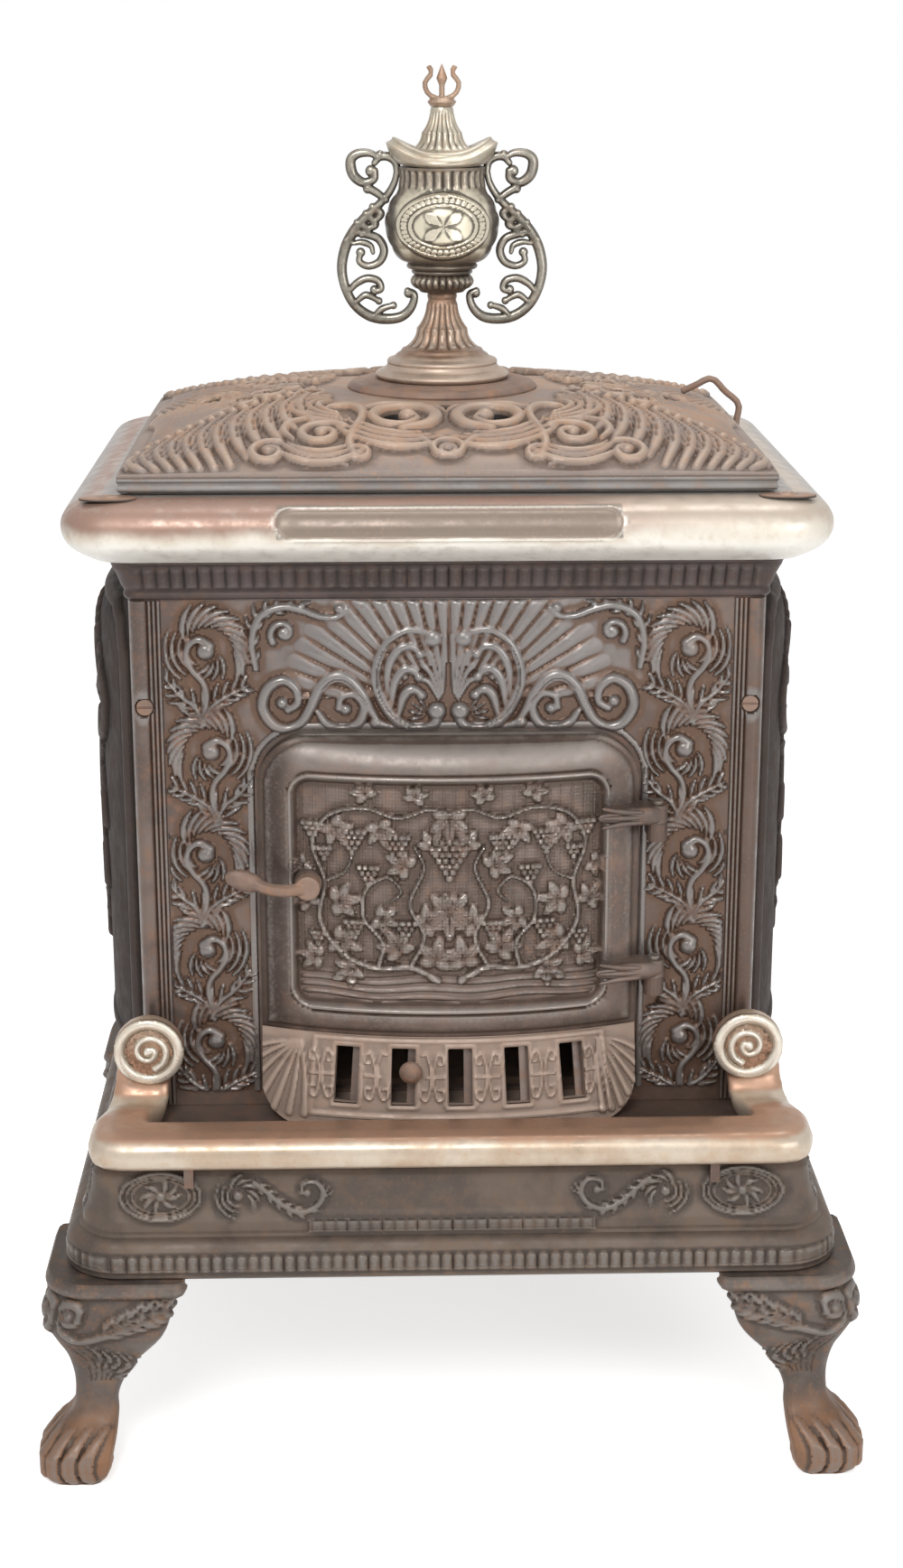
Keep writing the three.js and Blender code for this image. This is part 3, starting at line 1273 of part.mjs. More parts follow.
add('top_plate', cut(raised(plateOutline, TOP_PLATE_BOTTOM, TOP_PLATE_TOP), ...lidHoles, pivotHole), IRON);

for (const [side, x] of lidCentres) {
  add(`cooking_lid_${side}`, cut(
    rodZ(LID_R - RUN, x, BODY_MID_Y, TOP_PLATE_TOP - LID_T, TOP_PLATE_TOP, LID_HOLE_SIDES),
    rodZ(
      LID_NOTCH_R,
      x,
      BODY_MID_Y - LID_R + LID_NOTCH_IN,
      TOP_PLATE_TOP - LID_NOTCH_DEPTH,
      TOP_PLATE_TOP + PAST,
      12,
    ),
  ), IRON);
}

// Pivot pin: shank in the top plate, shoulder that carries the swing top's boss.
add('swing_pivot_pin', turned([
  [0, TOP_PLATE_BOTTOM],
  [PIVOT_R, TOP_PLATE_BOTTOM],
  [PIVOT_R, TOP_PLATE_TOP + GAP],
  [PIVOT_BOSS_R, TOP_PLATE_TOP + GAP],
  [PIVOT_BOSS_R, DOME_BOTTOM - GAP],
  [PIVOT_R, DOME_BOTTOM - GAP],
  [PIVOT_R, DOME_BOTTOM - GAP + PIVOT_HEIGHT],
  [0, DOME_BOTTOM - GAP + PIVOT_HEIGHT],
], PIVOT_X, PIVOT_Y, 14), STEEL);

// ---------------------------------------------------------------- swing top
const DOME_COLUMNS = 14;
const DOME_BANDS = 12;
const lipTop = DOME_BOTTOM + DOME_LIP;

function domeHeight(x, y) {
  const fx = 1 - Math.abs(x / DOME_HALF_W) ** DOME_POWER;
  const fy = 1 - Math.abs((y - BODY_MID_Y) / DOME_HALF_D) ** DOME_POWER;
  return DOME_RISE * (Math.max(fx, 0) * Math.max(fy, 0)) ** DOME_SHOULDER;
}

// Grid lines crowd towards the edges, where the shoulders turn.
function domePoint(u, v, inset) {
  const x = (DOME_HALF_W - inset) * Math.sin((u - 0.5) * Math.PI);
  const y = (DOME_HALF_D - inset) * Math.sin((v - 0.5) * Math.PI);
  const outerX = x * DOME_HALF_W / (DOME_HALF_W - inset);
  const outerY = y * DOME_HALF_D / (DOME_HALF_D - inset);
  return new THREE.Vector3(x, BODY_MID_Y + y, lipTop - inset + domeHeight(outerX, BODY_MID_Y + outerY));
}
const domeShell = gridSolid(
  DOME_COLUMNS,
  DOME_BANDS,
  (u, v) => domePoint(u, v, 0),
  (u, v) => domePoint(u, v, DOME_T),
);
const lipWeld = lipTop + GAP; // the lip reaches into the shell above it
const domeLip = mouldedFrame(DOME_HALF_W, BODY_MID_Y - DOME_HALF_D, BODY_MID_Y + DOME_HALF_D, 1, [
  [0, DOME_BOTTOM],
  [0, lipWeld],
  [-DOME_LIP_T, lipWeld],
  [-DOME_LIP_T, DOME_BOTTOM],
]);
const collarTop = DOME_CROWN + COLLAR_T;
const domeCollar = turned([
  [0, DOME_CROWN - DOME_T],
  [COLLAR_R * 0.86, DOME_CROWN - DOME_T],
  [COLLAR_R, DOME_CROWN - COLLAR_T * 0.43],
  [COLLAR_R, DOME_CROWN + COLLAR_T * 0.29],
  [COLLAR_R * 0.95, DOME_CROWN + COLLAR_T * 0.71],
  [COLLAR_R * 0.84, collarTop],
  [0, collarTop],
], 0, BODY_MID_Y, 32);
const pivotEnd = DOME_BOTTOM - GAP + PIVOT_HEIGHT + PAST;
const pivotBoss = rodZ(PIVOT_BOSS_R, PIVOT_X, PIVOT_Y, DOME_BOTTOM, pivotEnd + DOME_T, 16);
const pivotBore = rodZ(PIVOT_R + RUN, PIVOT_X, PIVOT_Y, DOME_BOTTOM - PAST, pivotEnd, 16);
const rodBore = rodZ(ROD_R + RUN, 0, BODY_MID_Y, DOME_CROWN - FAR, collarTop + PAST, 14);
// Relief of the swing top: fern midribs with hanging fronds, and leaf scrolls between them. Curves are
// drawn in shares of its half width and half depth, once for the front right quarter of the plan.
const DOME_CURVES = [
  drawn(8, [[0.07, -0.55], [0.16, -0.53], [0.225, -0.59], [0.24, -0.68], [0.2, -0.76], [0.125, -0.81], [0.03, -0.87]]),
  drawn(4, [[0.24, -0.68], [0.29, -0.59], [0.38, -0.555], [0.46, -0.61], [0.48, -0.7]]),
  drawn(5, [[0.41, -0.1], [0.545, -0.23], [0.705, -0.44], [0.84, -0.625], [0.93, -0.78]]),
  drawn(3, [[0.48, -0.17], [0.44, -0.32], [0.47, -0.46]]),
  drawn(4, [[0.6, -0.3], [0.565, -0.48], [0.62, -0.65], [0.6, -0.8]]),
  drawn(4, [[0.72, -0.45], [0.685, -0.61], [0.73, -0.76], [0.72, -0.89]]),
  drawn(3, [[0.81, -0.58], [0.79, -0.72], [0.82, -0.85]]),
];
const domeStretch = DOME_HALF_W / DOME_HALF_D;
const domeVolutes = [
  volute(0.125, -0.63, 0.062, 0.03, -Math.PI / 1.6, 1, domeStretch, 8),
  volute(0.37, -0.81, 0.08, 0.03, Math.PI / 1.5, -1.1, domeStretch, 8),
  volute(0.73, -0.14, 0.065, 0.03, Math.PI / 2, 0.9, domeStretch, 7),
];
const domeOut = new THREE.Vector3(0, 0, 1);
const domeRidges = [1, -1].flatMap((side) => [1, -1].flatMap((end) => {
  const onDome = (across, along) => {
    const x = side * across * DOME_HALF_W;
    const y = BODY_MID_Y + end * along * DOME_HALF_D;
    return new THREE.Vector3(x, y, lipTop + domeHeight(x, y) - RIDGE_SINK);
  };
  return [...DOME_CURVES, ...domeVolutes].map((points) => ridge(onDome, domeOut, RIDGE_R, points));
}));
const domeBody = join(domeShell, domeLip, domeCollar, pivotBoss, ...domeRidges);
add('swing_top', cut(domeBody, pivotBore, rodBore), TAN_RUST);

// Finger loop on the swing top's right shoulder.
const loopTailX = DOME_HALF_W + LOOP_BAR_R + GAP / 2;
const loopFootX = loopTailX - LOOP_SPAN - LOOP_BAR_R;
const loopTop = lipTop + domeHeight(loopFootX + LOOP_SPAN * 0.28, LOOP_Y) + LOOP_RISE;
const loopPath = new THREE.CatmullRomCurve3([
  [loopFootX, lipTop + domeHeight(loopFootX, LOOP_Y) + LOOP_BAR_R + GAP],
  [loopFootX + LOOP_SPAN * 0.28, loopTop - LOOP_RISE * 0.3],
  [loopFootX + LOOP_SPAN * 0.57, loopTop],
  [loopFootX + LOOP_SPAN * 0.84, loopTop - LOOP_RISE * 0.6],
  [loopTailX + LOOP_BAR_R / 2, lipTop + LOOP_RISE * 0.8],
  [loopTailX, lipTop],
  [loopTailX, DOME_BOTTOM + LOOP_BAR_R + GAP],
].map(([x, z]) => new THREE.Vector3(x, LOOP_Y, z)));
add('swing_top_loop', swept(round(new THREE.Shape(), LOOP_BAR_R), loopPath, 16), TAN_RUST);

// ---------------------------------------------------------------- finial
const axisX = 0;
const axisY = BODY_MID_Y;
const bore = ROD_R + RUN;

// Turned piece with a bore for the tie rod; its outline is given in shares of a radius and a height.
function boredTurning(shares, radius, height, foot, sides = 22) {
  const outline = profileOf(shares, radius, height, foot);
  return turned([[bore, foot], ...outline, [bore, foot + height], [bore, foot]], axisX, axisY, sides);
}

const FOOT_OUTLINE = [
  [1, 0],
  [1, 0.066],
  [0.92, 0.118],
  [0.83, 0.157],
  [0.82, 0.223],
  [0.67, 0.275],
  [0.6, 0.34],
  [0.43, 0.47],
  [0.28, 0.655],
  [0.21, 0.84],
  [0.21, 1],
];
const footBottom = collarTop + GAP;
add('finial_foot', boredTurning(FOOT_OUTLINE, FOOT_R, FOOT_H, footBottom), NICKEL);

// Urn: foot, ring of beads, swelling body and neck.
const URN_OUTLINE = [
  [0.38, 0],
  [0.54, 0.036],
  [0.6, 0.091],
  [0.54, 0.146],
  [0.58, 0.164],
  [0.63, 0.191],
  [0.6, 0.228],
  [0.81, 0.337],
  [0.96, 0.474],
  [1, 0.583],
  [0.94, 0.693],
  [0.81, 0.802],
  [0.73, 0.893],
  [0.73, 1],
];
const urnBottom = footBottom + FOOT_H + GAP;
const urnTop = urnBottom + URN_H;
const neckR = URN_OUTLINE[URN_OUTLINE.length - 1][0] * URN_R;
const urnFloor = urnBottom + URN_H / 4;
const urnBody = turned([
  [bore, urnBottom],
  ...profileOf(URN_OUTLINE, URN_R, URN_H, urnBottom),
  [neckR - URN_WALL, urnTop],
  [neckR - URN_WALL, urnBottom + URN_H * 0.82],
  [URN_R - 2 * URN_WALL, urnBottom + URN_H * 0.6],
  [URN_R / 2, urnFloor],
  [bore, urnFloor],
  [bore, urnBottom],
], axisX, axisY);
// Oval medallion on the urn's front.
const medallionZ = urnBottom + MEDALLION_RISE;
const medallion = common(
  new THREE.CylinderGeometry(1, 1, 2 * URN_R, 20)
    .scale(MEDALLION_HALF_W, 1, MEDALLION_HALF_H)
    .translate(axisX, axisY - URN_R, medallionZ),
  new THREE.SphereGeometry(1, 20, 12)
    .scale(URN_R * 1.06, URN_R * 1.06, URN_R * 1.23)
    .translate(axisX, axisY, medallionZ),
);
const urnHollow = new THREE.SphereGeometry(1, 12, 8)
  .scale(URN_R * 0.87, URN_R * 0.87, URN_R * 0.75)
  .translate(axisX, axisY, medallionZ);
add('urn_body', join(urnBody, cut(medallion, urnHollow)), NICKEL);

const URN_LID_OUTLINE = [
  [0.9, 0],
  [1, 0.1],
  [0.86, 0.24],
  [0.62, 0.355],
  [0.43, 0.55],
  [0.26, 0.83],
  [0.21, 1],
];
const lidBottom = urnTop + GAP;
const lidTurned = boredTurning(URN_LID_OUTLINE, URN_LID_R, URN_LID_H, lidBottom);
// The lid's brim rises to a point over each handle.
const brimWing = new THREE.Shape();
brimWing.moveTo(URN_LID_R * 0.7, lidBottom + URN_LID_H * 0.02);
brimWing.lineTo(URN_LID_R, lidBottom + URN_LID_H * 0.06);
brimWing.quadraticCurveTo(
  BRIM_REACH * 0.92,
  lidBottom + URN_LID_H * 0.18,
  BRIM_REACH,
  lidBottom + URN_LID_H * 0.4,
);
brimWing.quadraticCurveTo(
  URN_LID_R,
  lidBottom + URN_LID_H * 0.34,
  URN_LID_R * 0.7,
  lidBottom + URN_LID_H * 0.3,
);
brimWing.closePath();
const brimRight = upright(brimWing, axisY - BRIM_HALF_T, axisY + BRIM_HALF_T);
add('urn_lid', join(lidTurned, brimRight, mirrored(brimRight)), NICKEL);

// Crown: a small lyre with a spear in the middle, on a cup.
const crownFoot = lidBottom + URN_LID_H + GAP;
const crownTip = crownFoot + CROWN_H;
const rodSocket = crownFoot + CROWN_H * 0.14;
const crownCup = turned([
  [bore, crownFoot],
  ...profileOf([[0.67, 0], [0.87, 0.11], [0.6, 0.21], [0, 0.21]], CROWN_R, CROWN_H, crownFoot),
  [0, rodSocket],
  [bore, rodSocket],
  [bore, crownFoot],
], axisX, axisY, 16);
const crownArm = new THREE.CatmullRomCurve3([
  [0.13, 0.16],
  [0.8, 0.29],
  [1, 0.53],
  [0.6, 0.77],
  [0.8, 0.92],
].map(([out, up]) => new THREE.Vector3(out * CROWN_R, axisY, crownFoot + up * CROWN_H)));
const crownArmRight = swept(round(new THREE.Shape(), CROWN_BAR_R), crownArm, 9);
const crownSpear = turned([
  [0, crownFoot + CROWN_H * 0.16],
  [CROWN_BAR_R, crownFoot + CROWN_H * 0.19],
  [CROWN_BAR_R, crownFoot + CROWN_H * 0.48],
  [CROWN_BAR_R * 2, crownFoot + CROWN_H * 0.64],
  [0, crownTip],
], axisX, axisY, 10);
add('urn_crown', join(crownCup, crownArmRight, mirrored(crownArmRight), crownSpear), NICKEL);

// Scroll handle: a C curve that ends in a volute at the top and another at the foot, in shares of the
// handle's reach and height.
const HANDLE_CURVE = [
  [0.69, 0.93],
  [0.76, 0.98],
  [0.87, 1],
  [0.91, 0.93],
  [0.83, 0.82],
  [0.73, 0.71],
  [0.8, 0.58],
  [0.96, 0.43],
  [1, 0.3],
  [0.93, 0.12],
  [0.73, 0.01],
  [0.51, 0.03],
  [0.4, 0.12],
  [0.47, 0.19],
];
const handleFoot = urnBottom - HANDLE_DROP;
const handlePath = new THREE.CatmullRomCurve3(HANDLE_CURVE.map(([out, up]) => (
  new THREE.Vector3(out * HANDLE_REACH, axisY, handleFoot + up * HANDLE_H)
)));
const handleSection = new THREE.Shape();
handleSection.absellipse(0, 0, HANDLE_BAR / 2, HANDLE_WIDTH / 2, 0, 2 * Math.PI, false);
const handleBar = swept(handleSection, handlePath, 34);
// Lug from the C curve to the urn's side, cut clear of the urn.
const handleLug = rodX(
  HANDLE_LUG_R,
  axisY,
  urnBottom + HANDLE_LUG_RISE,
  URN_R * 0.77,
  HANDLE_REACH * 0.78,
  10,
);
const urnClear = turned([
  [0, urnBottom - PAST],
  ...profileOf(URN_OUTLINE, URN_R, URN_H, urnBottom).map(([r, z]) => [r + 2 * GAP, z]),
  [URN_LID_R, urnTop],
  [URN_LID_R, urnTop + FAR],
  [0, urnTop + FAR],
], axisX, axisY);
const urnHandle = cut(join(handleBar, handleLug), urnClear);
add('urn_handle_right', urnHandle, NICKEL);
add('urn_handle_left', urnHandle.clone(), NICKEL).scale.set(-1, 1, 1);

const nutTop = DOME_CROWN - DOME_T - GAP;
add('finial_rod', rodZ(ROD_R, axisX, axisY, nutTop - NUT_T - ROD_END, crownFoot + CROWN_H * 0.1, 12), STEEL);
add('finial_nut', cut(
  rodZ(NUT_R, axisX, axisY, nutTop - NUT_T, nutTop, 6),
  rodZ(bore, axisX, axisY, nutTop - NUT_T - PAST, nutTop + PAST, 14),
), STEEL);

export default stove;
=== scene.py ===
import contextlib
import math

import bmesh
import bpy
import numpy as np
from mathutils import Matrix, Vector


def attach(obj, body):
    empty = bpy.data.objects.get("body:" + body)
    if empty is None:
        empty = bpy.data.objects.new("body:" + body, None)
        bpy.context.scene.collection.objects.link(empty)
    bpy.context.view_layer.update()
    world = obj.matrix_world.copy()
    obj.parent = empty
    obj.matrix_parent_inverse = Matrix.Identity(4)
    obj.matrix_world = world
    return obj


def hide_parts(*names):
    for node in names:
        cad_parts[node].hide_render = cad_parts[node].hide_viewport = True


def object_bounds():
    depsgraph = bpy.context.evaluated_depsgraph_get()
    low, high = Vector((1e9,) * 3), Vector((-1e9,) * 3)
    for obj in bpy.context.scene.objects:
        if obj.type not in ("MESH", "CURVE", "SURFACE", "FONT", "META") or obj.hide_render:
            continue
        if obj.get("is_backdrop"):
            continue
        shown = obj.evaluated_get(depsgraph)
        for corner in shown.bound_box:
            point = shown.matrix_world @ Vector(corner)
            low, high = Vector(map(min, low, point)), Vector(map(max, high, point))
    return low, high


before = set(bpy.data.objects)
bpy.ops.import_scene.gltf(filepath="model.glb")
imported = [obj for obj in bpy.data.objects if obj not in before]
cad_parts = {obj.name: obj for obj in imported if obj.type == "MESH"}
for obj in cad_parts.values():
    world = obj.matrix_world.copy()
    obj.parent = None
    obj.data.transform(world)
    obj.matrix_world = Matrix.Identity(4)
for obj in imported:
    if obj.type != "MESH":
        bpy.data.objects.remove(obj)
cad_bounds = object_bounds()

MM = 0.001
PROUD = 0.4  # face of an overlaid casting in front of the part that it lies on
SUNK = 2.0  # and its back inside that part
SIDES = (("left", -1), ("right", 1))

# ---------------- sizes shared with the parts
BASE_HALF_W, BASE_HALF_D = 306, 280
BASE_FOOT, BASE_HEIGHT, BASE_FLARE, BASE_CORNER_R = 190.3, 90, 28, 22
BODY_HALF_W, BODY_FRONT, BODY_REAR, BODY_MID_Y = 271.5, -160, 268, 54
BODY_BOTTOM, BODY_TOP = 287.3, 750.3
CORNICE_BOTTOM, CORNICE_HEIGHT, CORNICE_FLARE = 750.6, 36.5, 16
RIM_BOTTOM, RIM_HEIGHT, RIM_OUT, RIM_CORNER_R = 787.4, 54, 52.5, 10
DOME_HALF_W, DOME_HALF_D, DOME_BOTTOM, DOME_LIP, DOME_RISE = 275, 229, 844.4, 13, 44
LIP_TOP = DOME_BOTTOM + DOME_LIP
DOME_CROWN = LIP_TOP + DOME_RISE
DOOR_HALF_W, DOOR_BOTTOM, DOOR_TOP, DOOR_CORNER_R = 165, 367, 634, 46
DOOR_EDGE_Y, BOW_RADIUS, BOW_CENTRE_Y, DOOR_HOOD = -168.3, 441.39, 241.09, 40
PANEL_HALF_W, PANEL_BOTTOM, PANEL_TOP, PANEL_SUNK = 136, 392, 600, 6
DRAFT_BOTTOM, DRAFT_TOP, DRAFT_SPLAY, DRAFT_FOOT_R = 287.3, 366.7, 24, 34
SLOT_XS, SLOT_W, SLOT_H, SLOT_Z = (-89, -40, 9, 58, 107), 21, 48, 333
LEG_HEIGHT = 190
SIDE_HALF_D, SIDE_BULGE, SIDE_TOP_R, SIDE_FOOT_R = 183.7, 53, 60, 45


# ---------------- curves and outlines
def curve_through(points, step=1.0):
    """Points every `step` along a smooth curve through the given ones."""
    p = np.array(points, float)
    if len(p) == 2:
        dense = p[0] + (p[1] - p[0]) * np.linspace(0, 1, 16)[:, None]
    else:
        q = np.vstack([2 * p[0] - p[1], p, 2 * p[-1] - p[-2]])
        t = np.linspace(0, 1, 12, endpoint=False)[:, None]
        spans = [
            0.5 * (2 * b + (c - a) * t + (2 * a - 5 * b + 4 * c - d) * t**2 + (3 * b - a - 3 * c + d) * t**3)
            for a, b, c, d in zip(q, q[1:], q[2:], q[3:])
        ]
        dense = np.vstack(spans + [p[-1:]])
    return resampled(dense, step)


def resampled(points, step):
    run = np.concatenate([[0], np.cumsum(np.linalg.norm(np.diff(points, axis=0), axis=1))])
    at = np.linspace(0, run[-1], max(int(run[-1] / step), 2) + 1)
    return np.column_stack([np.interp(at, run, column) for column in points.T])


def moulding(stations, step=1.2):
    """Profile through (r, z, bulge) stations; bulge is how far the stretch to the next one swells."""
    points = []
    for (r0, z0, bulge), (r1, z1, _) in zip(stations, stations[1:]):
        length = math.hypot(r1 - r0, z1 - z0)
        n = max(math.ceil((length + 2 * abs(bulge)) / step), 1)
        t = np.linspace(0, 1, n, endpoint=False)
        swell = bulge * 4 * t * (1 - t)
        points.append(np.column_stack([
            r0 + (r1 - r0) * t + swell * (z1 - z0) / length,
            z0 + (z1 - z0) * t - swell * (r1 - r0) / length,
        ]))
    return np.vstack(points + [[stations[-1][:2]]])


def raised_profile(foot, stations, step=1.2):
    """Moulding whose heights are given above its foot."""
    return moulding([(r, foot + rise, bulge) for r, rise, bulge in stations], step)


def unit(x):
    """Cuts off what is below nought or above one."""
    return np.clip(x, 0, 1)


def round_top(x):
    """Height of a half round at x: one in its middle, nought from -1 and from 1 outwards."""
    return np.sqrt(unit(1 - x**2))


def flutes(phase):
    """Half rounds side by side, one for each whole step of phase."""
    return round_top(2 * (phase % 1) - 1)


def spread(values, t):
    """The value at each t, with the given ones evenly from nought to one."""
    return np.interp(t, np.linspace(0, 1, len(values)), values)


def polar(r, degrees):
    angle = math.radians(degrees)
    return r * math.cos(angle), r * math.sin(angle)


def box_distance(u, v, u0, u1, v0, v1, r=0.0):
    """Distance inside a rounded rectangle, below zero outside it."""
    du = np.abs(u - (u0 + u1) / 2) - (u1 - u0) / 2 + r
    dv = np.abs(v - (v0 + v1) / 2) - (v1 - v0) / 2 + r
    outside = np.hypot(np.maximum(du, 0), np.maximum(dv, 0))
    return r - outside - np.minimum(np.maximum(du, dv), 0)


def blurred(h, reach):
    """Mean over a square window, for how far a point stands above its surroundings."""
    for axis in (0, 1):
        n = min(reach, (h.shape[axis] - 1) // 2)
        if n < 1:
            continue
        pad = [(0, 0), (0, 0)]
        pad[axis] = (n + 1, n)
        total = np.cumsum(np.pad(h, pad, mode="edge"), axis=axis)
        size = h.shape[axis]
        high = np.take(total, np.arange(2 * n + 1, 2 * n + 1 + size), axis=axis)
        low = np.take(total, np.arange(size), axis=axis)
        h = (high - low) / (2 * n + 1)
    return h


# ---------------- carving
class Relief:
    """Carving on a patch: strokes and balls raise it, grooves sink it."""

    def __init__(self, us, vs):
        self.us = np.asarray(us, float)
        self.vs = np.asarray(vs, float)
        self.U, self.V = np.meshgrid(self.us, self.vs, indexing="ij")
        self.ground = np.zeros(self.U.shape)
        self.up = np.zeros(self.U.shape)
        self.down = np.zeros(self.U.shape)
        self.reach = np.full(self.U.shape, -9.0)
        self.at()

    def at(self, u=0.0, v=0.0, hand=1, rise=1, turn=0.0, size=1.0):
        """Sets where the next strokes go, mirrored by hand and rise and turned in degrees."""
        self.place = (u, v, hand, rise, math.radians(turn), size)
        return self

    def placed(self, points):
        u, v, hand, rise, turn, size = self.place
        x, y = np.array(points, float).T * size
        x, y = x * math.cos(turn) - y * math.sin(turn), x * math.sin(turn) + y * math.cos(turn)
        return np.column_stack([u + hand * x, v + rise * y])

    def disc(self, u, v, r, h, layer):
        margin = r + 2.5
        i0, i1 = np.searchsorted(self.us, (u - margin, u + margin))
        j0, j1 = np.searchsorted(self.vs, (v - margin, v + margin))
        if i0 == i1 or j0 == j1:
            return
        d2 = (self.us[i0:i1, None] - u) ** 2 + (self.vs[None, j0:j1] - v) ** 2
        part = layer[i0:i1, j0:j1]
        np.maximum(part, h * np.sqrt(np.clip(1 - d2 / r**2, 0, None)), out=part)
        if layer is self.up:
            near = self.reach[i0:i1, j0:j1]
            np.maximum(near, r - np.sqrt(d2), out=near)

    def stroke(self, points, radius, height, sink=False):
        """Rounded ridge, or groove, along a curve; radius and height may change along it."""
        size = self.place[5]
        radii = np.atleast_1d(np.array(radius, float)) * size
        heights = np.atleast_1d(np.array(height, float))
        path = curve_through(self.placed(points), max(0.6, 0.3 * radii.min()))
        t = np.linspace(0, 1, len(path))
        layer = self.down if sink else self.up
        for (u, v), r, h in zip(path, spread(radii, t), spread(heights, t)):
            self.disc(u, v, r, h, layer)

    def groove(self, points, radius=0.9, depth=1.0):
        self.stroke(points, radius, depth, sink=True)

    def ball(self, u, v, r, h):
        (pu, pv), = self.placed([(u, v)])
        self.disc(pu, pv, r * self.place[5], h, self.up)

    def lobe(self, u, v, angle, length, curl=0.0, width=2.6, height=3.4):
        """Finger of a leaf: swells, then narrows to a curled tip."""
        points = [(u, v)]
        for k in range(5):
            a = math.radians(angle + curl * (k + 0.5) / 5)
            u, v = u + length / 5 * math.cos(a), v + length / 5 * math.sin(a)
            points.append((u, v))
        self.stroke(points, (width * 0.5, width * 0.85, width, width * 0.8, width * 0.45),
                    (height * 0.45, height * 0.75, height, height, height * 0.6))

    def scroll(self, u, v, r0, r1, start, turns, width=(4, 2), height=(5, 4), eye=0.0):
        """Spiral ridge from radius r0 in to r1, with a ball in its eye."""
        n = max(int(abs(turns) * 14), 6)
        t = np.linspace(0, 1, n)
        a = np.radians(start + 360 * turns * t)
        r = r0 + (r1 - r0) * t
        self.stroke(np.column_stack([u + r * np.cos(a), v + r * np.sin(a)]), width, height)
        if eye:
            self.ball(u, v, eye, height[-1] * 1.15)

    def frond(self, points, reach, lobes, lean=55, curl=40, width=3.2, height=3.8, rib=1.8):
        """Leaf: curled fingers on both sides of a midrib, longest past its middle."""
        path = curve_through(np.array(points, float), 1.0)
        for k in range(lobes):
            t = (k + 0.5) / lobes
            i = min(int(t * (len(path) - 1)), len(path) - 2)
            du, dv = path[i + 1] - path[i]
            heading = math.degrees(math.atan2(dv, du))
            length = reach * math.sin(math.pi * (0.22 + 0.6 * t)) ** 0.8
            for side in (1, -1):
                self.lobe(*path[i], heading + side * lean, length, -side * curl, width, height)
        du, dv = path[-1] - path[-3]
        self.lobe(*path[-1], math.degrees(math.atan2(dv, du)), reach * 0.45, 0, width, height)
        self.stroke(points, (rib, rib, rib * 0.6), (height * 0.8, height, height * 0.7))
        self.groove(points, 0.6, 0.9)

    def height(self):
        return self.ground + self.up - self.down

    def wear(self, reach=5, full=1.6):
        h = self.height()
        return np.clip((h - blurred(h, reach)) / full, -1, 1)


# ---------------- mesh building
@contextlib.contextmanager
def edited(mesh):
    """The mesh's faces and points for editing, written back to it at the end."""
    bm = bmesh.new()
    bm.from_mesh(mesh)
    yield bm
    bm.to_mesh(mesh)
    bm.free()


def smoothed(mesh, sharp):
    """Shades a mesh smooth but for its edges sharper than an angle in degrees."""
    mesh.polygons.foreach_set("use_smooth", [True] * len(mesh.polygons))
    mesh.set_sharp_from_angle(angle=math.radians(sharp))
    return mesh


def make_mesh(name, points, faces, wear=None, sharp=40, weld=False):
    """Closed mesh in metres from points in millimetres, its faces turned out."""
    mesh = bpy.data.meshes.new(name)
    mesh.from_pydata((np.asarray(points) * MM).tolist(), [], faces)
    if wear is not None:
        mesh.attributes.new("wear", "FLOAT", "POINT").data.foreach_set("value", np.asarray(wear, np.float32))
    with edited(mesh) as bm:
        if weld:
            bmesh.ops.remove_doubles(bm, verts=bm.verts, dist=2e-6)
        if bm.calc_volume(signed=True) < 0:
            bmesh.ops.reverse_faces(bm, faces=bm.faces)
    return smoothed(mesh, sharp)


def add_object(name, data):
    made = bpy.data.objects.new(name, data)
    bpy.context.scene.collection.objects.link(made)
    return made


def add_piece(name, mesh, finish, body, replaces=()):
    """Piece that rides on a body, with its finish's material; the finish's slot is not used."""
    piece = add_object(name, mesh)
    mesh.materials.append(finish[0])
    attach(piece, body)
    if replaces:
        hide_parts(*replaces)


def flipped_mesh(mesh, name, sx, sy=1):
    """Copy of a mesh, mirrored across the planes x = 0 and y = 0 where sx and sy are -1."""
    copy = mesh.copy()
    copy.name = name
    with edited(copy) as bm:
        for vertex in bm.verts:
            vertex.co.x *= sx
            vertex.co.y *= sy
        if sx * sy < 0:
            bmesh.ops.reverse_faces(bm, faces=bm.faces)
    return copy



def snapped(edge, u, v, limit):
    """Moves points onto the line where edge is zero, at most `limit` away."""
    e = 0.05
    u0, v0 = u.copy(), v.copy()
    for _ in range(4):
        f = edge(u, v)
        gu = (edge(u + e, v) - edge(u - e, v)) / (2 * e)
        gv = (edge(u, v + e) - edge(u, v - e)) / (2 * e)
        k = f / np.maximum(gu**2 + gv**2, 1e-3)
        u, v = u - k * gu, v - k * gv
        far = np.hypot(u - u0, v - v0)
        cut = np.minimum(1, limit / np.maximum(far, 1e-9))
        u, v = u0 + (u - u0) * cut, v0 + (v - v0) * cut
    return u, v


def without_pinches(keep):
    """Drops squares that touch the rest only at a corner."""
    for _ in range(6):
        a, b, c, d = keep[:-1, :-1], keep[1:, :-1], keep[:-1, 1:], keep[1:, 1:]
        one, other = a & d & ~b & ~c, b & c & ~a & ~d
        if not one.any() and not other.any():
            break
        a[one] = False
        b[other] = False
    return keep


def border_loop(border, count):
    """Back face of a casting whose border is one loop, or None."""
    onward = dict(zip(border[:, 1].tolist(), border[:, 0].tolist()))
    start = at = int(border[0, 0])
    loop = []
    while True:
        loop.append(at + count)
        at = onward[at]
        if at == start:
            break
    return loop if len(loop) == len(border) else None


SOOT_AND_SHADE_WEAR = -2.0  # wear of a casting's hidden back, which old_metal shows near black: soot, and painted shade where the walls of openings run down to it
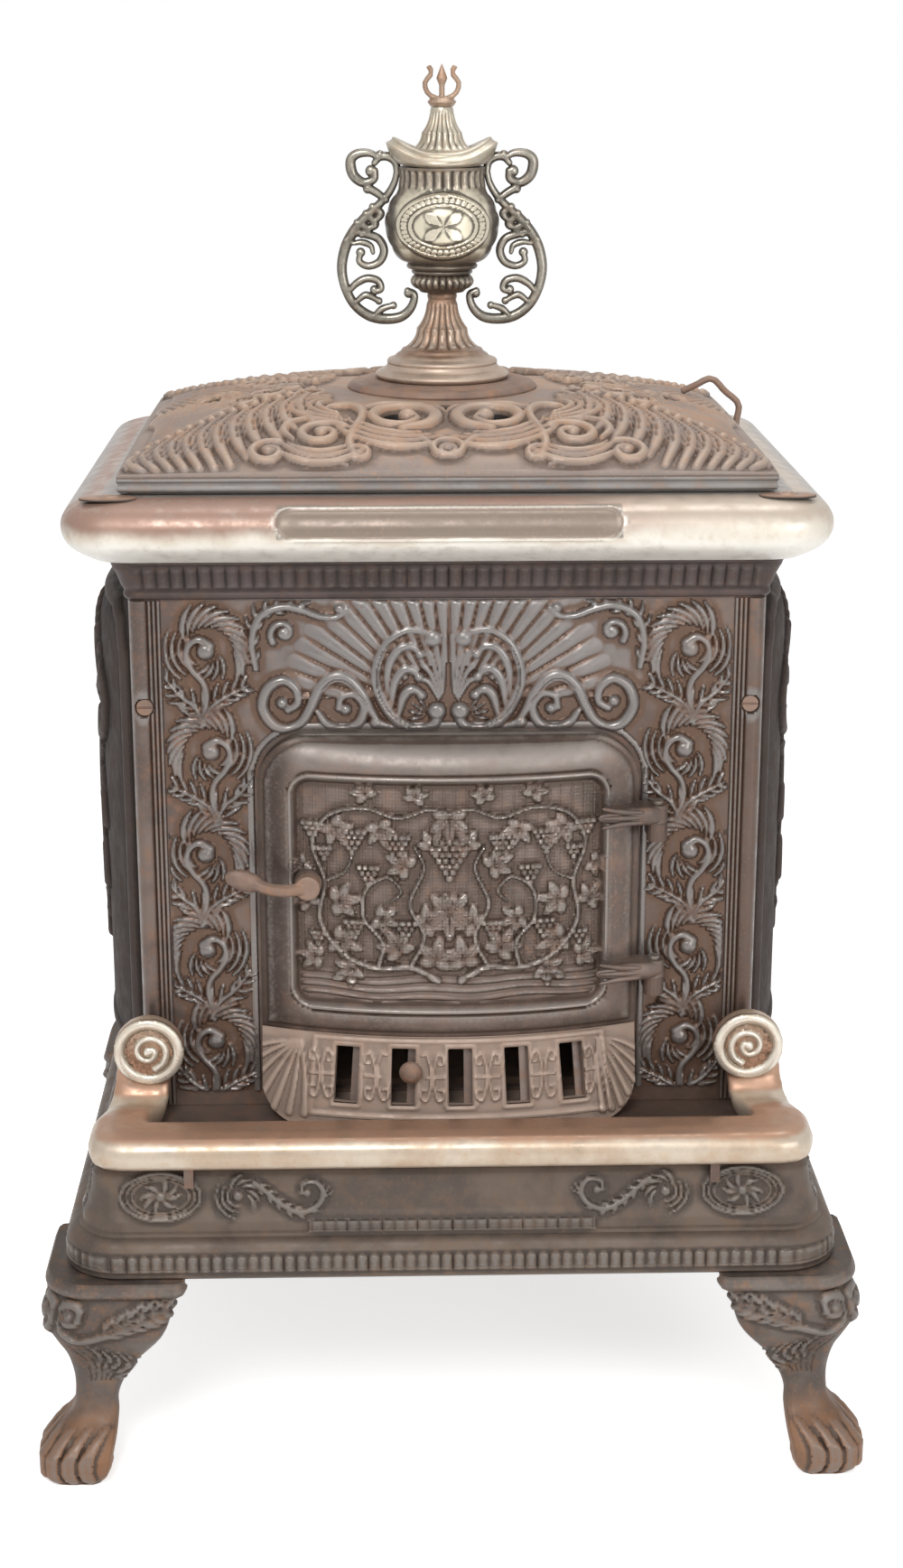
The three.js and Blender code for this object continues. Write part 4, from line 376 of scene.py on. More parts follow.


def on_rim(keep):
    """Points of the grid where kept squares meet dropped ones, but for those on the grid's own border."""
    ring = np.zeros((keep.shape[0] + 2, keep.shape[1] + 2), bool)
    ring[1:-1, 1:-1] = keep
    around = [ring[:-1, :-1], ring[1:, :-1], ring[:-1, 1:], ring[1:, 1:]]
    rim = np.any(around, axis=0) & ~np.all(around, axis=0)
    rim[[0, -1], :] = False
    rim[:, [0, -1]] = False
    return rim


def sheet_mesh(name, relief, surface, back, edge, simplify=2.0, sharp=40, reach=5, full=1.6, flat=False):
    """Closed casting between surface(U, V, height) and surface(U, V, back), cut to where edge > 0."""
    U, V = relief.U.copy(), relief.V.copy()
    nu, nv = U.shape
    keep = np.ones((nu - 1, nv - 1), bool)
    if edge is not None:
        inside = edge(U, V)
        keep = (inside[:-1, :-1] + inside[1:, :-1] + inside[:-1, 1:] + inside[1:, 1:]) > 0
        keep = without_pinches(keep)
        rim = on_rim(keep)
        limit = 0.75 * max(np.diff(relief.us).max(), np.diff(relief.vs).max())
        U[rim], V[rim] = snapped(edge, U[rim], V[rim], limit)
    h = relief.height()
    behind = back(relief) if callable(back) else np.full(h.shape, float(back))
    front = np.stack(surface(U, V, h), -1).reshape(-1, 3)
    rear = np.stack(surface(U, V, behind), -1).reshape(-1, 3)
    index = np.arange(nu * nv).reshape(nu, nv)
    corners = index[:-1, :-1], index[1:, :-1], index[1:, 1:], index[:-1, 1:]
    quads = np.column_stack([corner[keep] for corner in corners])
    used = np.zeros(nu * nv, bool)
    used[quads] = True
    count = int(used.sum())
    number = np.full(nu * nv, -1)
    number[used] = np.arange(count)
    quads = number[quads]
    edges = np.vstack([quads[:, [0, 1]], quads[:, [1, 2]], quads[:, [2, 3]], quads[:, [3, 0]]])
    key = np.minimum(edges[:, 0], edges[:, 1]) * count + np.maximum(edges[:, 0], edges[:, 1])
    _, first, times = np.unique(key, return_index=True, return_counts=True)
    border = edges[first[times == 1]]
    walls = np.column_stack([border[:, 1], border[:, 0], border[:, 0] + count, border[:, 1] + count])
    points = np.vstack([front[used], rear[used]])
    worn = relief.wear(reach, full).reshape(-1)[used]
    worn = np.concatenate([worn, worn if callable(back) else np.full(count, SOOT_AND_SHADE_WEAR)])
    loop = border_loop(border, count) if flat else None
    if loop:
        lone = np.arange(2 * count) >= count
        lone[loop] = False
        shift = np.cumsum(lone)
        walls = walls - shift[walls]
        faces = np.vstack([quads, walls]).tolist() + [[k - int(shift[k]) for k in loop]]
        return make_mesh(name, points[~lone], faces, worn[~lone], sharp)
    faces = np.vstack([quads, walls, quads[:, ::-1] + count]).tolist()
    mesh = make_mesh(name, points, faces, worn, sharp)
    if simplify:
        plain_back(mesh, count, simplify, sharp)
    return mesh


def plain_back(mesh, count, angle, sharp):
    """Merges the level faces of a casting's back, whose points come after the first `count`."""
    with edited(mesh) as bm:
        behind = [f for f in bm.faces if all(v.index >= count for v in f.verts)]
        edges = dict.fromkeys(e for f in behind for e in f.edges)
        inner = [e for e in edges if all(v.index >= count for f in e.link_faces for v in f.verts)]
        points = dict.fromkeys(v for e in inner for v in e.verts)
        bmesh.ops.dissolve_limit(bm, angle_limit=math.radians(angle), verts=list(points), edges=inner)
    smoothed(mesh, sharp)



def loop_mesh(name, grid, wear=None, sharp=40, open_first=False):
    """Closed mesh from a grid of points that closes on itself both ways, or only the second way."""
    nu, nv = grid.shape[:2]
    index = np.arange(nu * nv).reshape(nu, nv)
    if open_first:
        a, b = index[:-1], index[1:]
    else:
        a, b = index, np.roll(index, -1, axis=0)
    quads = np.stack([a, b, np.roll(b, -1, axis=1), np.roll(a, -1, axis=1)], -1).reshape(-1, 4).tolist()
    if open_first:
        quads += [index[0][::-1].tolist(), index[-1].tolist()]
    values = None if wear is None else np.asarray(wear).reshape(-1)
    return make_mesh(name, grid.reshape(-1, 3), quads, values, sharp, weld=True)


def turned_mesh(name, profile, columns, swell=None, centre=(0, BODY_MID_Y), bore=4.3, sharp=40, reach=3):
    """Turned casting about an upright axis; swell(angle, z, r) carves it."""
    r, z = profile.T
    r = np.concatenate([[bore], r, [bore]])
    z = np.concatenate([[z[0]], z, [z[-1]]])
    angle = np.linspace(0, 2 * math.pi, columns, endpoint=False) - math.pi / 2
    A, Z = np.meshgrid(angle, z, indexing="ij")
    R = np.broadcast_to(r, A.shape).copy()
    carved = np.zeros(A.shape)
    if swell is not None:
        carved = swell(A, Z, R)
        carved[:, [0, -1]] = 0
    R = np.maximum(R + carved, bore)
    wear = np.clip((carved - blurred(carved, reach)) / 0.8, -1, 1)
    grid = np.stack([centre[0] + R * np.cos(A), centre[1] + R * np.sin(A), Z], -1)
    return loop_mesh(name, grid, wear, sharp)


def add_sheet(name, relief, surface, back, edge, finish, body="stove", replaces=(), **options):
    add_piece(name, sheet_mesh(name, relief, surface, back, edge, **options), finish, body, replaces)


def add_softened(name, node, voxel, rounds, finish, body):
    """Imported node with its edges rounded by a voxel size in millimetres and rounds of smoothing."""
    add_piece(name, softened_mesh(name, node, voxel, rounds), finish, body, [node])


def add_turned(name, profile, columns, finish, body, replaces=(), **options):
    add_piece(name, turned_mesh(name, profile, columns, **options), finish, body, replaces)


FRONT, RIGHT, BACK, LEFT, CORNER = range(5)  # kinds of station round a frame


class Frame:
    """Rounded rectangle that a moulding runs round; distance along it is nought at its front's middle."""

    def __init__(self, half_x, y0, y1, radius, peak=0.0):
        self.half_x, self.y0, self.y1, self.r, self.peak = half_x, y0, y1, radius, peak

    def stations(self, front, side, back, corner):
        """Points, outward normals, kinds and places round the frame. A place is x on the front and back and
        y on the sides; front, side and back are steps in millimetres, corner is a count."""
        r, x1, y0, y1 = self.r, self.half_x - self.r, self.y0 + self.r, self.y1 - self.r
        across = np.linspace(-x1, x1, int(2 * x1 / front) + 1)
        along = np.linspace(y0, y1, int((y1 - y0) / side) + 1)
        behind = np.linspace(x1, -x1, int(2 * x1 / back) + 1)
        rows = [(x, self.y0, 0, -1, FRONT, x) for x in across]
        rows += self.corner(x1, y0, -90, corner)
        rows += [(self.half_x, y, 1, 0, RIGHT, y) for y in along]
        rows += self.corner(x1, y1, 0, corner)
        rows += [(x, self.y1, 0, 1, BACK, x) for x in behind]
        rows += self.corner(-x1, y1, 90, corner)
        rows += [(-self.half_x, y, -1, 0, LEFT, y) for y in along[::-1]]
        rows += self.corner(-x1, y0, 180, corner)
        return np.array(rows, float)

    def corner(self, cx, cy, start, steps):
        """Corner points; a peak carries the outset further out at the corner's middle."""
        rows = []
        for turn in 90 * np.arange(1, steps) / steps:
            reach = 1 + self.peak * math.sin(2 * math.radians(turn)) ** 2
            x, y = polar(self.r, start + turn)
            rows.append((cx + x, cy + y, *polar(reach, start + turn), CORNER, 0))
        return rows


def framed_mesh(name, rows, outer, inner, carve=None, sharp=40, reach=4, full=1.2):
    """Moulding run round a frame: outer profile of (out, z) points, carved by carve(rows, out, z)."""
    out, z = np.vstack([outer, inner]).T
    carved = np.zeros((len(rows), len(out)))
    if carve is not None:
        carved[:, : len(outer)] = carve(rows, outer)
    run = np.gradient(outer, axis=0)
    run /= np.maximum(np.linalg.norm(run, axis=1), 1e-6)[:, None]
    side = 1 if outer[:, 0].mean() > inner[:, 0].mean() else -1
    lean = side * np.sign(outer[-1, 1] - outer[0, 1] or 1)
    normal = np.zeros((2, len(out)))
    normal[:, : len(outer)] = lean * run[:, 1], -lean * run[:, 0]
    reached = out + carved * normal[0]
    Z = z + carved * normal[1]
    X = rows[:, 0:1] + rows[:, 2:3] * reached
    Y = rows[:, 1:2] + rows[:, 3:4] * reached
    wear = np.clip((carved - blurred(carved, reach)) / full, -1, 1)
    return loop_mesh(name, np.stack([X, Y, Z], -1), wear, sharp)


def swept_mesh(name, path, radii, sides=20, flatten=1.0, sharp=40):
    """Bar along a path of points, with round ends; flatten is its depth as a share of its width."""
    points = curve_through(path, 1.2)
    t = np.linspace(0, 1, len(points))
    from_end = np.minimum(t, 1 - t) * len(points) / 3
    ends = np.sqrt(np.clip(1 - (1 - from_end) ** 2, 0.02, 1))
    rs = spread(radii, t) * np.where(from_end < 1, ends, 1)
    tangent = np.gradient(points, axis=0)
    tangent /= np.linalg.norm(tangent, axis=1)[:, None]
    side = np.cross(tangent, [0.0, 1.0, 0.0])
    side /= np.maximum(np.linalg.norm(side, axis=1), 1e-6)[:, None]
    other = np.cross(side, tangent)
    a = np.linspace(0, 2 * math.pi, sides, endpoint=False)
    across = side[:, None, :] * np.cos(a)[None, :, None]
    ring = across + flatten * other[:, None, :] * np.sin(a)[None, :, None]
    grid = points[:, None, :] + rs[:, None, None] * ring
    return loop_mesh(name, grid, None, sharp, open_first=True)


def softened_mesh(name, node, voxel, rounds, sharp=60):
    """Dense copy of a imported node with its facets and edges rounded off."""
    holder = add_object(name + "_blank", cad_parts[node].data.copy())
    remesh = holder.modifiers.new("remesh", "REMESH")
    remesh.mode = "VOXEL"
    remesh.voxel_size = voxel * MM
    smooth = holder.modifiers.new("smooth", "SMOOTH")
    smooth.factor = 0.5
    smooth.iterations = rounds
    evaluated = holder.evaluated_get(bpy.context.evaluated_depsgraph_get())
    result = bpy.data.meshes.new_from_object(evaluated)
    bpy.data.objects.remove(holder)
    result.name = name
    result.materials.clear()
    return smoothed(result, sharp)


# ---------------- finishes
class Nodes:
    """Shader nodes of one tree."""

    def __init__(self, tree):
        self.tree = tree
        tree.nodes.clear()

    def put(self, socket, value):
        if isinstance(value, bpy.types.NodeSocket):
            self.tree.links.new(value, socket)
        elif isinstance(value, tuple):
            socket.default_value = (*value, 1.0)
        else:
            socket.default_value = value

    def node(self, kind, outlet=0, inputs=None, **settings):
        """An output of a new node, whose inputs are given by name or number."""
        made = self.tree.nodes.new(kind)
        for key, value in settings.items():
            setattr(made, key, value)
        for key, value in (inputs or {}).items():
            self.put(made.inputs[key], value)
        return made.outputs[outlet] if made.outputs else None

    def seen_directly(self):
        """One for rays from the camera, a mirror or glass, nought for the light that falls on the stove."""
        total = self.node("ShaderNodeLightPath", "Is Camera Ray")
        rays = total.node.outputs
        for kind in ("Is Glossy Ray", "Is Transmission Ray"):
            total = self.node("ShaderNodeMath", 0, {0: total, 1: rays[kind]}, operation="ADD", use_clamp=True)
        return total


class Finish(Nodes):
    """Node tree of one finish."""

    def __init__(self, name):
        self.material = bpy.data.materials.new(name)
        self.material.use_nodes = True
        super().__init__(self.material.node_tree)
        self.spot = self.node("ShaderNodeTexCoord", "Object")

    def noise(self, scale, detail=3.0, rough=0.6):
        inputs = {"Vector": self.spot, "Scale": scale, "Detail": detail, "Roughness": rough}
        return self.node("ShaderNodeTexNoise", "Fac", inputs)

    def math(self, operation, a, b=0.0):
        return self.node("ShaderNodeMath", 0, {0: a, 1: b}, operation=operation)

    def strayed(self, value, noise, amount):
        """A value made uneven by a noise about its middle."""
        return self.math("ADD", value, self.math("MULTIPLY", self.math("SUBTRACT", noise, 0.5), amount))

    def ranged(self, source, low, high, to_low=0.0, to_high=1.0):
        inputs = {"Value": source, "From Min": low, "From Max": high, "To Min": to_low, "To Max": to_high}
        return self.node("ShaderNodeMapRange", "Result", inputs, interpolation_type="SMOOTHSTEP")

    def zone(self, cloud, mottle, strength, limits):
        """Mask of a part of the casting, with a ragged edge: the product of ranges along the axes."""
        split = self.node("ShaderNodeSeparateXYZ", 0, {0: self.spot}).node.outputs
        ragged = self.math("MULTIPLY", self.math("SUBTRACT", cloud, 0.5), 0.05)
        mask = self.ranged(mottle, 0.2, 0.5, strength * 0.75, strength)
        for axis, low, high in limits:
            place = self.math("ABSOLUTE", split["X"]) if axis == "W" else split[axis]
            spreading = min(abs(high - low) / 0.03, 1.0)
            shifted = self.math("ADD", place, self.math("MULTIPLY", ragged, spreading))
            mask = self.math("MULTIPLY", mask, self.ranged(shifted, low, high))
        return mask

    def mix(self, factor, a, b):
        return self.node("ShaderNodeMix", 2, {0: factor, 6: a, 7: b}, data_type="RGBA")

    def bump(self, height, distance, strength, under=None):
        inputs = {"Strength": strength, "Distance": distance * MM, "Height": height}
        if under is not None:
            inputs["Normal"] = under
        return self.node("ShaderNodeBump", "Normal", inputs)

    def surface(self, colour, roughness, metallic, normal, gloss=0.5):
        inputs = {"Specular IOR Level": gloss, "Base Color": colour, "Roughness": roughness,
                  "Metallic": metallic, "Normal": normal}
        return self.node("ShaderNodeBsdfPrincipled", "BSDF", inputs)

    def done(self, surface):
        self.node("ShaderNodeOutputMaterial", inputs={"Surface": surface})
        return self.material


def old_metal(name, slot, colours, metallic, rough, rusting, bare_and_sheen_share, grain=0.12, zones=(), gloss=0.5):
    """Old casting: mottled body colour, dull hollows, specks of rust, and barer metal on what stands proud,
    brightened as painted sheen.
    The colours are the body's light and dark, rust, hollows and bare metal with painted sheen. Each zone is a
    colour, its strength and ranges (axis, from, to) in metres over which it comes in; W is the distance from
    x = 0."""
    body, dark, rust, hollow, bare_and_sheen_colour = colours
    f = Finish(name)
    cloud = f.noise(14, 4, 0.62)
    mottle = f.noise(70, 4, 0.65)
    fleck = f.noise(330, 3, 0.6)
    grit = f.noise(900, 2, 0.5)
    wear = f.node("ShaderNodeAttribute", "Fac", attribute_name="wear")
    colour = f.mix(f.ranged(cloud, 0.40, 0.62), body, dark)
    colour = f.mix(f.ranged(mottle, 0.45, 0.75, 0.0, rusting * 0.8), colour, rust)
    for tint, strength, limits in zones:
        colour = f.mix(f.zone(cloud, mottle, strength, limits), colour, tint)
    colour = f.mix(f.ranged(f.strayed(wear, mottle, 0.7), 0.02, -0.5, 0.0, 0.85), colour, hollow)
    # Worn bare metal where the relief stands proud, made brighter still as a painted sheen.
    proud = f.ranged(f.strayed(wear, fleck, 0.7), 0.1, 0.8, 0.0, bare_and_sheen_share)
    colour = f.mix(proud, colour, bare_and_sheen_colour)
    speck = f.math("MULTIPLY", f.ranged(fleck, 0.58, 0.70), f.ranged(cloud, 0.42, 0.6, 0.1, 0.8))
    colour = f.mix(f.math("MULTIPLY", speck, rusting), colour, rust)
    # Near black on castings' backs and deep down the walls of their openings: soot, and painted shade.
    colour = f.mix(f.ranged(wear, *SOOT_AND_SHADE_RANGE), colour, BACK_SOOT_AND_SHADE)
    uneven = f.ranged(mottle, 0.3, 0.7, rough - 0.08, rough + 0.12)
    roughness = f.math("ADD", uneven, f.math("MULTIPLY", proud, -0.2))
    normal = f.bump(mottle, 0.35, 0.5)
    normal = f.bump(fleck, grain, 0.8, normal)
    normal = f.bump(grit, grain * 0.5, 0.7, normal)
    return f.done(f.surface(colour, roughness, metallic, normal, gloss)), slot


SOOT_AND_SHADE_RANGE, BACK_SOOT_AND_SHADE = (-1.02, -1.25), (.020, .017, .015)  # wear over which the back's soot and painted shade come in, and their colour
BODY, RUSTED, TANNED, WORN, FITTINGS = (
    "cast_iron_body", "rusty_iron", "tan_rusted_iron", "worn_nickel", "steel_fittings")

IRON = old_metal(
    "iron", BODY, ((.158, .120, .102), (.104, .078, .068), (.270, .130, .070), (.112, .064, .042),
                   (.225, .214, .206)), 0.45, 0.40, 0.65, 0.65, gloss=0.35,
    # zones: the first, lighter and greyer over the top middle of the front, is partly cleaner metal and
    # partly painted light and sheen where the front is most lit; the second darkens the lower right of the
    # front.
    zones=(((.205, .190, .184), 0.8, (("Z", 0.60, 0.70), ("W", 0.20, 0.12))),
           ((.105, .070, .054), 0.7, (("X", 0.150, 0.180), ("Z", 0.74, 0.60)))))
# A much darker copy of the iron for the side panels: painted shade where they turn away from the light.
SHADED_SIDE_IRON = old_metal(
    "shaded_side_iron", BODY, ((.052, .039, .034), (.036, .027, .024), (.100, .056, .036), (.018, .014, .012),
                        (.100, .078, .070)), 0.05, 0.7, 0.4, 0.5, gloss=0.12)
CORNICE_IRON = old_metal(
    "cornice_iron", BODY, ((.083, .061, .057), (.057, .042, .038), (.160, .088, .058), (.030, .023, .021),
                           (.135, .115, .105)), 0.3, 0.5, 0.4, 0.5, gloss=0.3)
BASE_IRON = old_metal(
    "base_iron", BODY, ((.135, .102, .080), (.090, .070, .058), (.215, .125, .075), (.052, .040, .034),
                        (.190, .175, .160)), 0.3, 0.52, 0.4, 0.6, gloss=0.3)
DOOR_IRON = old_metal(
    "door_iron", BODY, ((.160, .122, .104), (.105, .078, .066), (.255, .135, .078), (.075, .050, .038),
                        (.280, .250, .228)), 0.45, 0.44, 0.5, 0.6,
    # zones: the first lightens the top of the door's hood, partly cleaner metal and partly painted light
    # where it faces up; the second is painted shade down the door's left edge.
    zones=(((.255, .222, .202), 0.9, (("Z", 0.600, 0.622), ("W", 0.15, 0.12))),
           ((.048, .031, .024), 0.94, (("X", -0.130, -0.150),))))
LEG_IRON = old_metal(
    "leg_iron", RUSTED, ((.150, .124, .108), (.098, .078, .068), (.330, .155, .065), (.060, .045, .037),
                         (.205, .186, .170)), 0.3, 0.55, 0.5, 0.6, gloss=0.3,
    zones=(((.270, .135, .070), 0.8, (("Z", 0.085, 0.03),)),))
# Near-black top plate and cooking lids: soot, darkened further as painted shade for what shows through the
# dome's openings.
SOOT_AND_SHADE = old_metal(
    "soot_and_shade", BODY, ((.026, .022, .020), (.018, .015, .014), (.050, .032, .024), (.010, .009, .008),
                   (.040, .036, .033)), 0.2, 0.75, 0.3, 0.3)
RUSTY = old_metal(
    "rusty", RUSTED, ((.270, .180, .135), (.180, .120, .095), (.380, .200, .110), (.090, .062, .050),
                      (.360, .310, .275)), 0.3, 0.62, 0.6, 0.5)
TAN = old_metal(
    "tan_rust", TANNED, ((.350, .252, .190), (.260, .200, .168), (.430, .235, .130), (.130, .098, .080),
                         (.430, .325, .250)), 0.2, 0.6, 0.5, 0.6)
DOME_TAN = old_metal(
    "dome_tan", TANNED, ((.350, .238, .172), (.250, .192, .162), (.450, .238, .125), (.125, .088, .068),
                         (.430, .318, .240)), 0.2, 0.6, 0.6, 0.6,
    zones=(((.225, .208, .198), 0.65, (("Z", 0.880, 0.855),)),))
BAND_IRON = old_metal(
    "band_iron", TANNED, ((.250, .236, .226), (.205, .188, .178), (.380, .230, .145), (.080, .070, .065),
                          (.330, .300, .275)), 0.25, 0.6, 0.5, 0.5)
DRAFT_TAN = old_metal(
    "draft_tan", TANNED, ((.345, .255, .205), (.265, .195, .155), (.360, .220, .140), (.200, .146, .116),
                          (.400, .305, .248)), 0.3, 0.55, 0.5, 0.5)
NICKEL = old_metal(
    "nickel", WORN, ((.640, .590, .500), (.580, .510, .410), (.450, .280, .170), (.300, .240, .180),
                     (.780, .750, .690)), 0.55, 0.36, 0.45, 0.5, 0.05)
RIM_NICKEL = old_metal(
    "rim_nickel", WORN, ((.740, .690, .600), (.660, .590, .490), (.450, .290, .190), (.240, .190, .150),
                         (.800, .760, .680)), 0.28, 0.38, 0.35, 0.4, 0.05,
    zones=(((.290, .172, .128), 0.95, (("Z", 0.809, 0.822), ("X", 0.27, 0.08))),
           ((.430, .345, .275), 0.8, (("Z", 0.815, 0.830), ("X", 0.05, 0.20))),
           # Pale zone low on the rolled face: painted highlight and reflection where the face turns down.
           ((.840, .810, .750), 0.9, (("Z", 0.812, 0.802),)),
           ((.300, .270, .250), 0.95, (("Z", 0.8405, 0.8412),)),
           ((.330, .315, .300), 0.8, (("W", 0.296, 0.312), ("Y", -0.185, -0.150))),
           ((.205, .160, .128), 0.95, (("W", 0.1435, 0.1415), ("Z", 0.8105, 0.8125),
                                       ("Z", 0.8385, 0.8365), ("Y", -0.19, -0.20)))))
RAIL_NICKEL = old_metal(
    "rail_nickel", WORN, ((.540, .460, .370), (.450, .350, .260), (.420, .250, .140), (.240, .170, .120),
                          (.740, .700, .630)), 0.5, 0.36, 0.5, 0.5, 0.06,
    zones=(((.400, .228, .148), 0.9, (("Z", 0.3090, 0.3130), ("Z", 0.400, 0.350))),
           ((.420, .290, .200), 0.5, (("Z", 0.2925, 0.2885),))))
URN_METAL = old_metal(
    "urn_metal", WORN, ((.215, .178, .140), (.115, .095, .076), (.360, .220, .130), (.050, .040, .032),
                        (.640, .580, .470)), 0.6, 0.36, 0.35, 0.75, 0.05,
    # zones: painted shade on the sides of the belly, and a painted highlight on its front middle over the
    # medallion.
    zones=(((.105, .088, .074), 0.9, (("W", 0.036, 0.046),)),
           ((.700, .640, .500), 0.95, (("W", 0.045, 0.038), ("Y", 0.035, 0.028),
                                       ("Z", 1.012, 1.022), ("Z", 1.080, 1.070)))))
HANDLE_METAL = old_metal(
    "handle_metal", WORN, ((.190, .175, .145), (.110, .098, .080), (.300, .190, .120), (.045, .038, .032),
                           (.430, .400, .340)), 0.6, 0.36, 0.35, 0.75, 0.05)
LID_METAL = old_metal(
    "lid_metal", WORN, ((.470, .420, .335), (.320, .272, .205), (.400, .250, .140), (.110, .085, .065),
                        (.780, .740, .640)), 0.55, 0.36, 0.35, 0.7, 0.05)
STEM_METAL = old_metal(
    "stem_metal", WORN, ((.385, .275, .200), (.250, .160, .110), (.430, .220, .120), (.110, .075, .055),
                         (.760, .710, .630)), 0.5, 0.42, 0.6, 0.75, 0.07,
    zones=(((.560, .470, .390), 0.5, (("Z", 0.906, 0.912), ("Z", 0.932, 0.927))),))
TREAD = old_metal(
    "worn_tread", WORN, ((.330, .215, .160), (.260, .165, .120), (.360, .200, .120), (.150, .100, .075),
                         (.430, .350, .280)), 0.35, 0.5, 0.5, 0.4, 0.07)
STEEL = old_metal(
    "steel", FITTINGS, ((.300, .265, .235), (.200, .165, .140), (.300, .170, .100), (.120, .100, .085),
                        (.480, .450, .420)), 0.7, 0.45, 0.5, 0.5, 0.06)


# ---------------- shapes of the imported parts
def bow_y(x, grow=0.0):
    return BOW_CENTRE_Y - np.sqrt((BOW_RADIUS + grow) ** 2 - x**2)


def door_front_y(x, z):
    rise = unit((z - (DOOR_TOP - DOOR_HOOD)) / DOOR_HOOD)
    return DOOR_EDGE_Y + (bow_y(x) - DOOR_EDGE_Y) * np.sqrt(1 - rise**2)


def dome_height(x, y):
    across = 1 - np.abs(x / DOME_HALF_W) ** 2.5
    along = 1 - np.abs((y - BODY_MID_Y) / DOME_HALF_D) ** 2.5
    return DOME_RISE * (np.maximum(across, 0) * np.maximum(along, 0)) ** 0.6


def side_swell(y, z):
    across = 1 - ((y - BODY_MID_Y) / SIDE_HALF_D) ** 2
    top = unit((z - (BODY_TOP - SIDE_TOP_R)) / SIDE_TOP_R)
    foot = unit((BODY_BOTTOM + SIDE_FOOT_R - z) / SIDE_FOOT_R)
    return SIDE_BULGE * np.maximum(across, 0) ** 0.8 * np.sqrt(1 - top**2) * np.sqrt(1 - foot**2)


def on_front(x, z, h):
    """Surface of the body's flat front."""
    return x, BODY_FRONT - h, z


# ---------------- front: scrolling leaves at both sides
SPRAY_ZS = ((206.5, 706), (204, 617), (211, 524.5), (212, 436), (206.5, 350))
SPRAY_SIZE, SPRAY_BALL_R, SPRAY_BALL_H = 1.1, 7.5, 7


def sweep(r0, r1, a0, a1, steps=7):
    """Points on a spiral about the local centre, radii r0 to r1 and angles a0 to a1 in degrees."""
    t = np.linspace(0, 1, steps)
    angle = np.radians(a0 + (a1 - a0) * t)
    r = r0 + (r1 - r0) * t
    return np.column_stack([r * np.cos(angle), r * np.sin(angle)])


def fingers(relief, points, count, reach, lean, curl, width, height, side):
    """Curled leaf fingers side by side along a stem, reach tapering from its start to its end."""
    path = curve_through(points, 1.0)
    for k in range(count):
        share = (k + 0.5) / count
        i = int(share * (len(path) - 2))
        du, dv = path[i + 1] - path[i]
        heading = math.degrees(math.atan2(dv, du))
        length = reach[0] + (reach[1] - reach[0]) * share
        relief.lobe(*path[i], heading + side * lean, length, -side * curl, width, height)


def carve_spray(relief):
    """A whorl of leaf fingers round a ball, and the leaves on its stem below."""
    for k in range(4):
        outer = sweep(16 + 5.4 * k, 13 + 5.6 * k, 142 + 3 * k, 236 - 3 * k)
        relief.stroke(outer, (1.4, 2.7, 1.5), (2.6, 4.6, 3))
    for k in range(11):
        turn = 152 - 15.5 * k
        finger = sweep(17 + 0.5 * k, 37.5 - 0.35 * k, turn, turn - 46)
        relief.stroke(finger, (1.5, 2.9, 2.8, 1.3), (3, 4.8, 4.6, 3))
    for k in range(4):
        relief.stroke(sweep(11, 25 - 1.5 * k, -20 - 19 * k, -60 - 19 * k), (1.2, 2.3, 1.4), (2.6, 4.2, 3))
    stem = [(3, 4), (-5, 9), (-13, 4), (-15, -6), (-10, -16), (-2, -26), (0, -40), (-6, -56)]
    relief.stroke(stem, (4.6, 3.2, 3, 3, 3, 2.8, 2.6), (5.6, 5, 5, 5, 5, 4.8, 4.6))
    relief.ball(0, 0, SPRAY_BALL_R, SPRAY_BALL_H)
    right, left = [(-4, -60), (2, -46), (14, -37), (32, -28)], [(-2, -58), (-10, -44), (-22, -34), (-34, -18)]
    fingers(relief, right, 6, (21, 12), 52, 26, 2.3, 4.2, 1)
    fingers(relief, right, 6, (19, 10), 44, 24, 2.3, 4.2, -1)
    fingers(relief, left, 6, (22, 12), 46, 22, 2.3, 4.2, 1)
    fingers(relief, left, 5, (16, 9), 40, 22, 2.2, 4, -1)
    for leaf in (right, left):
        relief.stroke(leaf, (2.4, 2.2, 1.4), (4.8, 4.6, 3.4))


def carve_sprays(relief, hand):
    for k, (x, z) in enumerate(SPRAY_ZS):
        relief.at(hand * x, z, hand if k % 2 else -hand, size=SPRAY_SIZE)
        carve_spray(relief)


# ---------------- front: sunburst and scrolls over the door
RAY_STEP, RAYS_INNER, RAYS_OUTER, RAYS_Z = 6.4, 54, 150, 640  # degrees, then millimetres


def carve_sunburst(relief):
    """Round-ended rays that spread from behind the shell."""
    angle = np.degrees(np.arctan2(relief.V - RAYS_Z, relief.U))
    far = np.hypot(relief.U, relief.V - RAYS_Z)
    across = 2 * ((angle / RAY_STEP) % 1) - 1
    wave = round_top(across)
    end = RAYS_OUTER - 9 * (1 - wave)
    lit = (far > RAYS_INNER) & (far < end) & (relief.V > 664)
    ray = (0.2 + 3.6 * wave) * unit((end - far) / 24) ** 0.8
    np.maximum(relief.up, np.where(lit, ray, 0), out=relief.up)
    for hand in (-1, 1):
        relief.at(hand=hand)
        carve_shell_half(relief)
        carve_wave_scrolls(relief)
        carve_corner_leaf(relief)


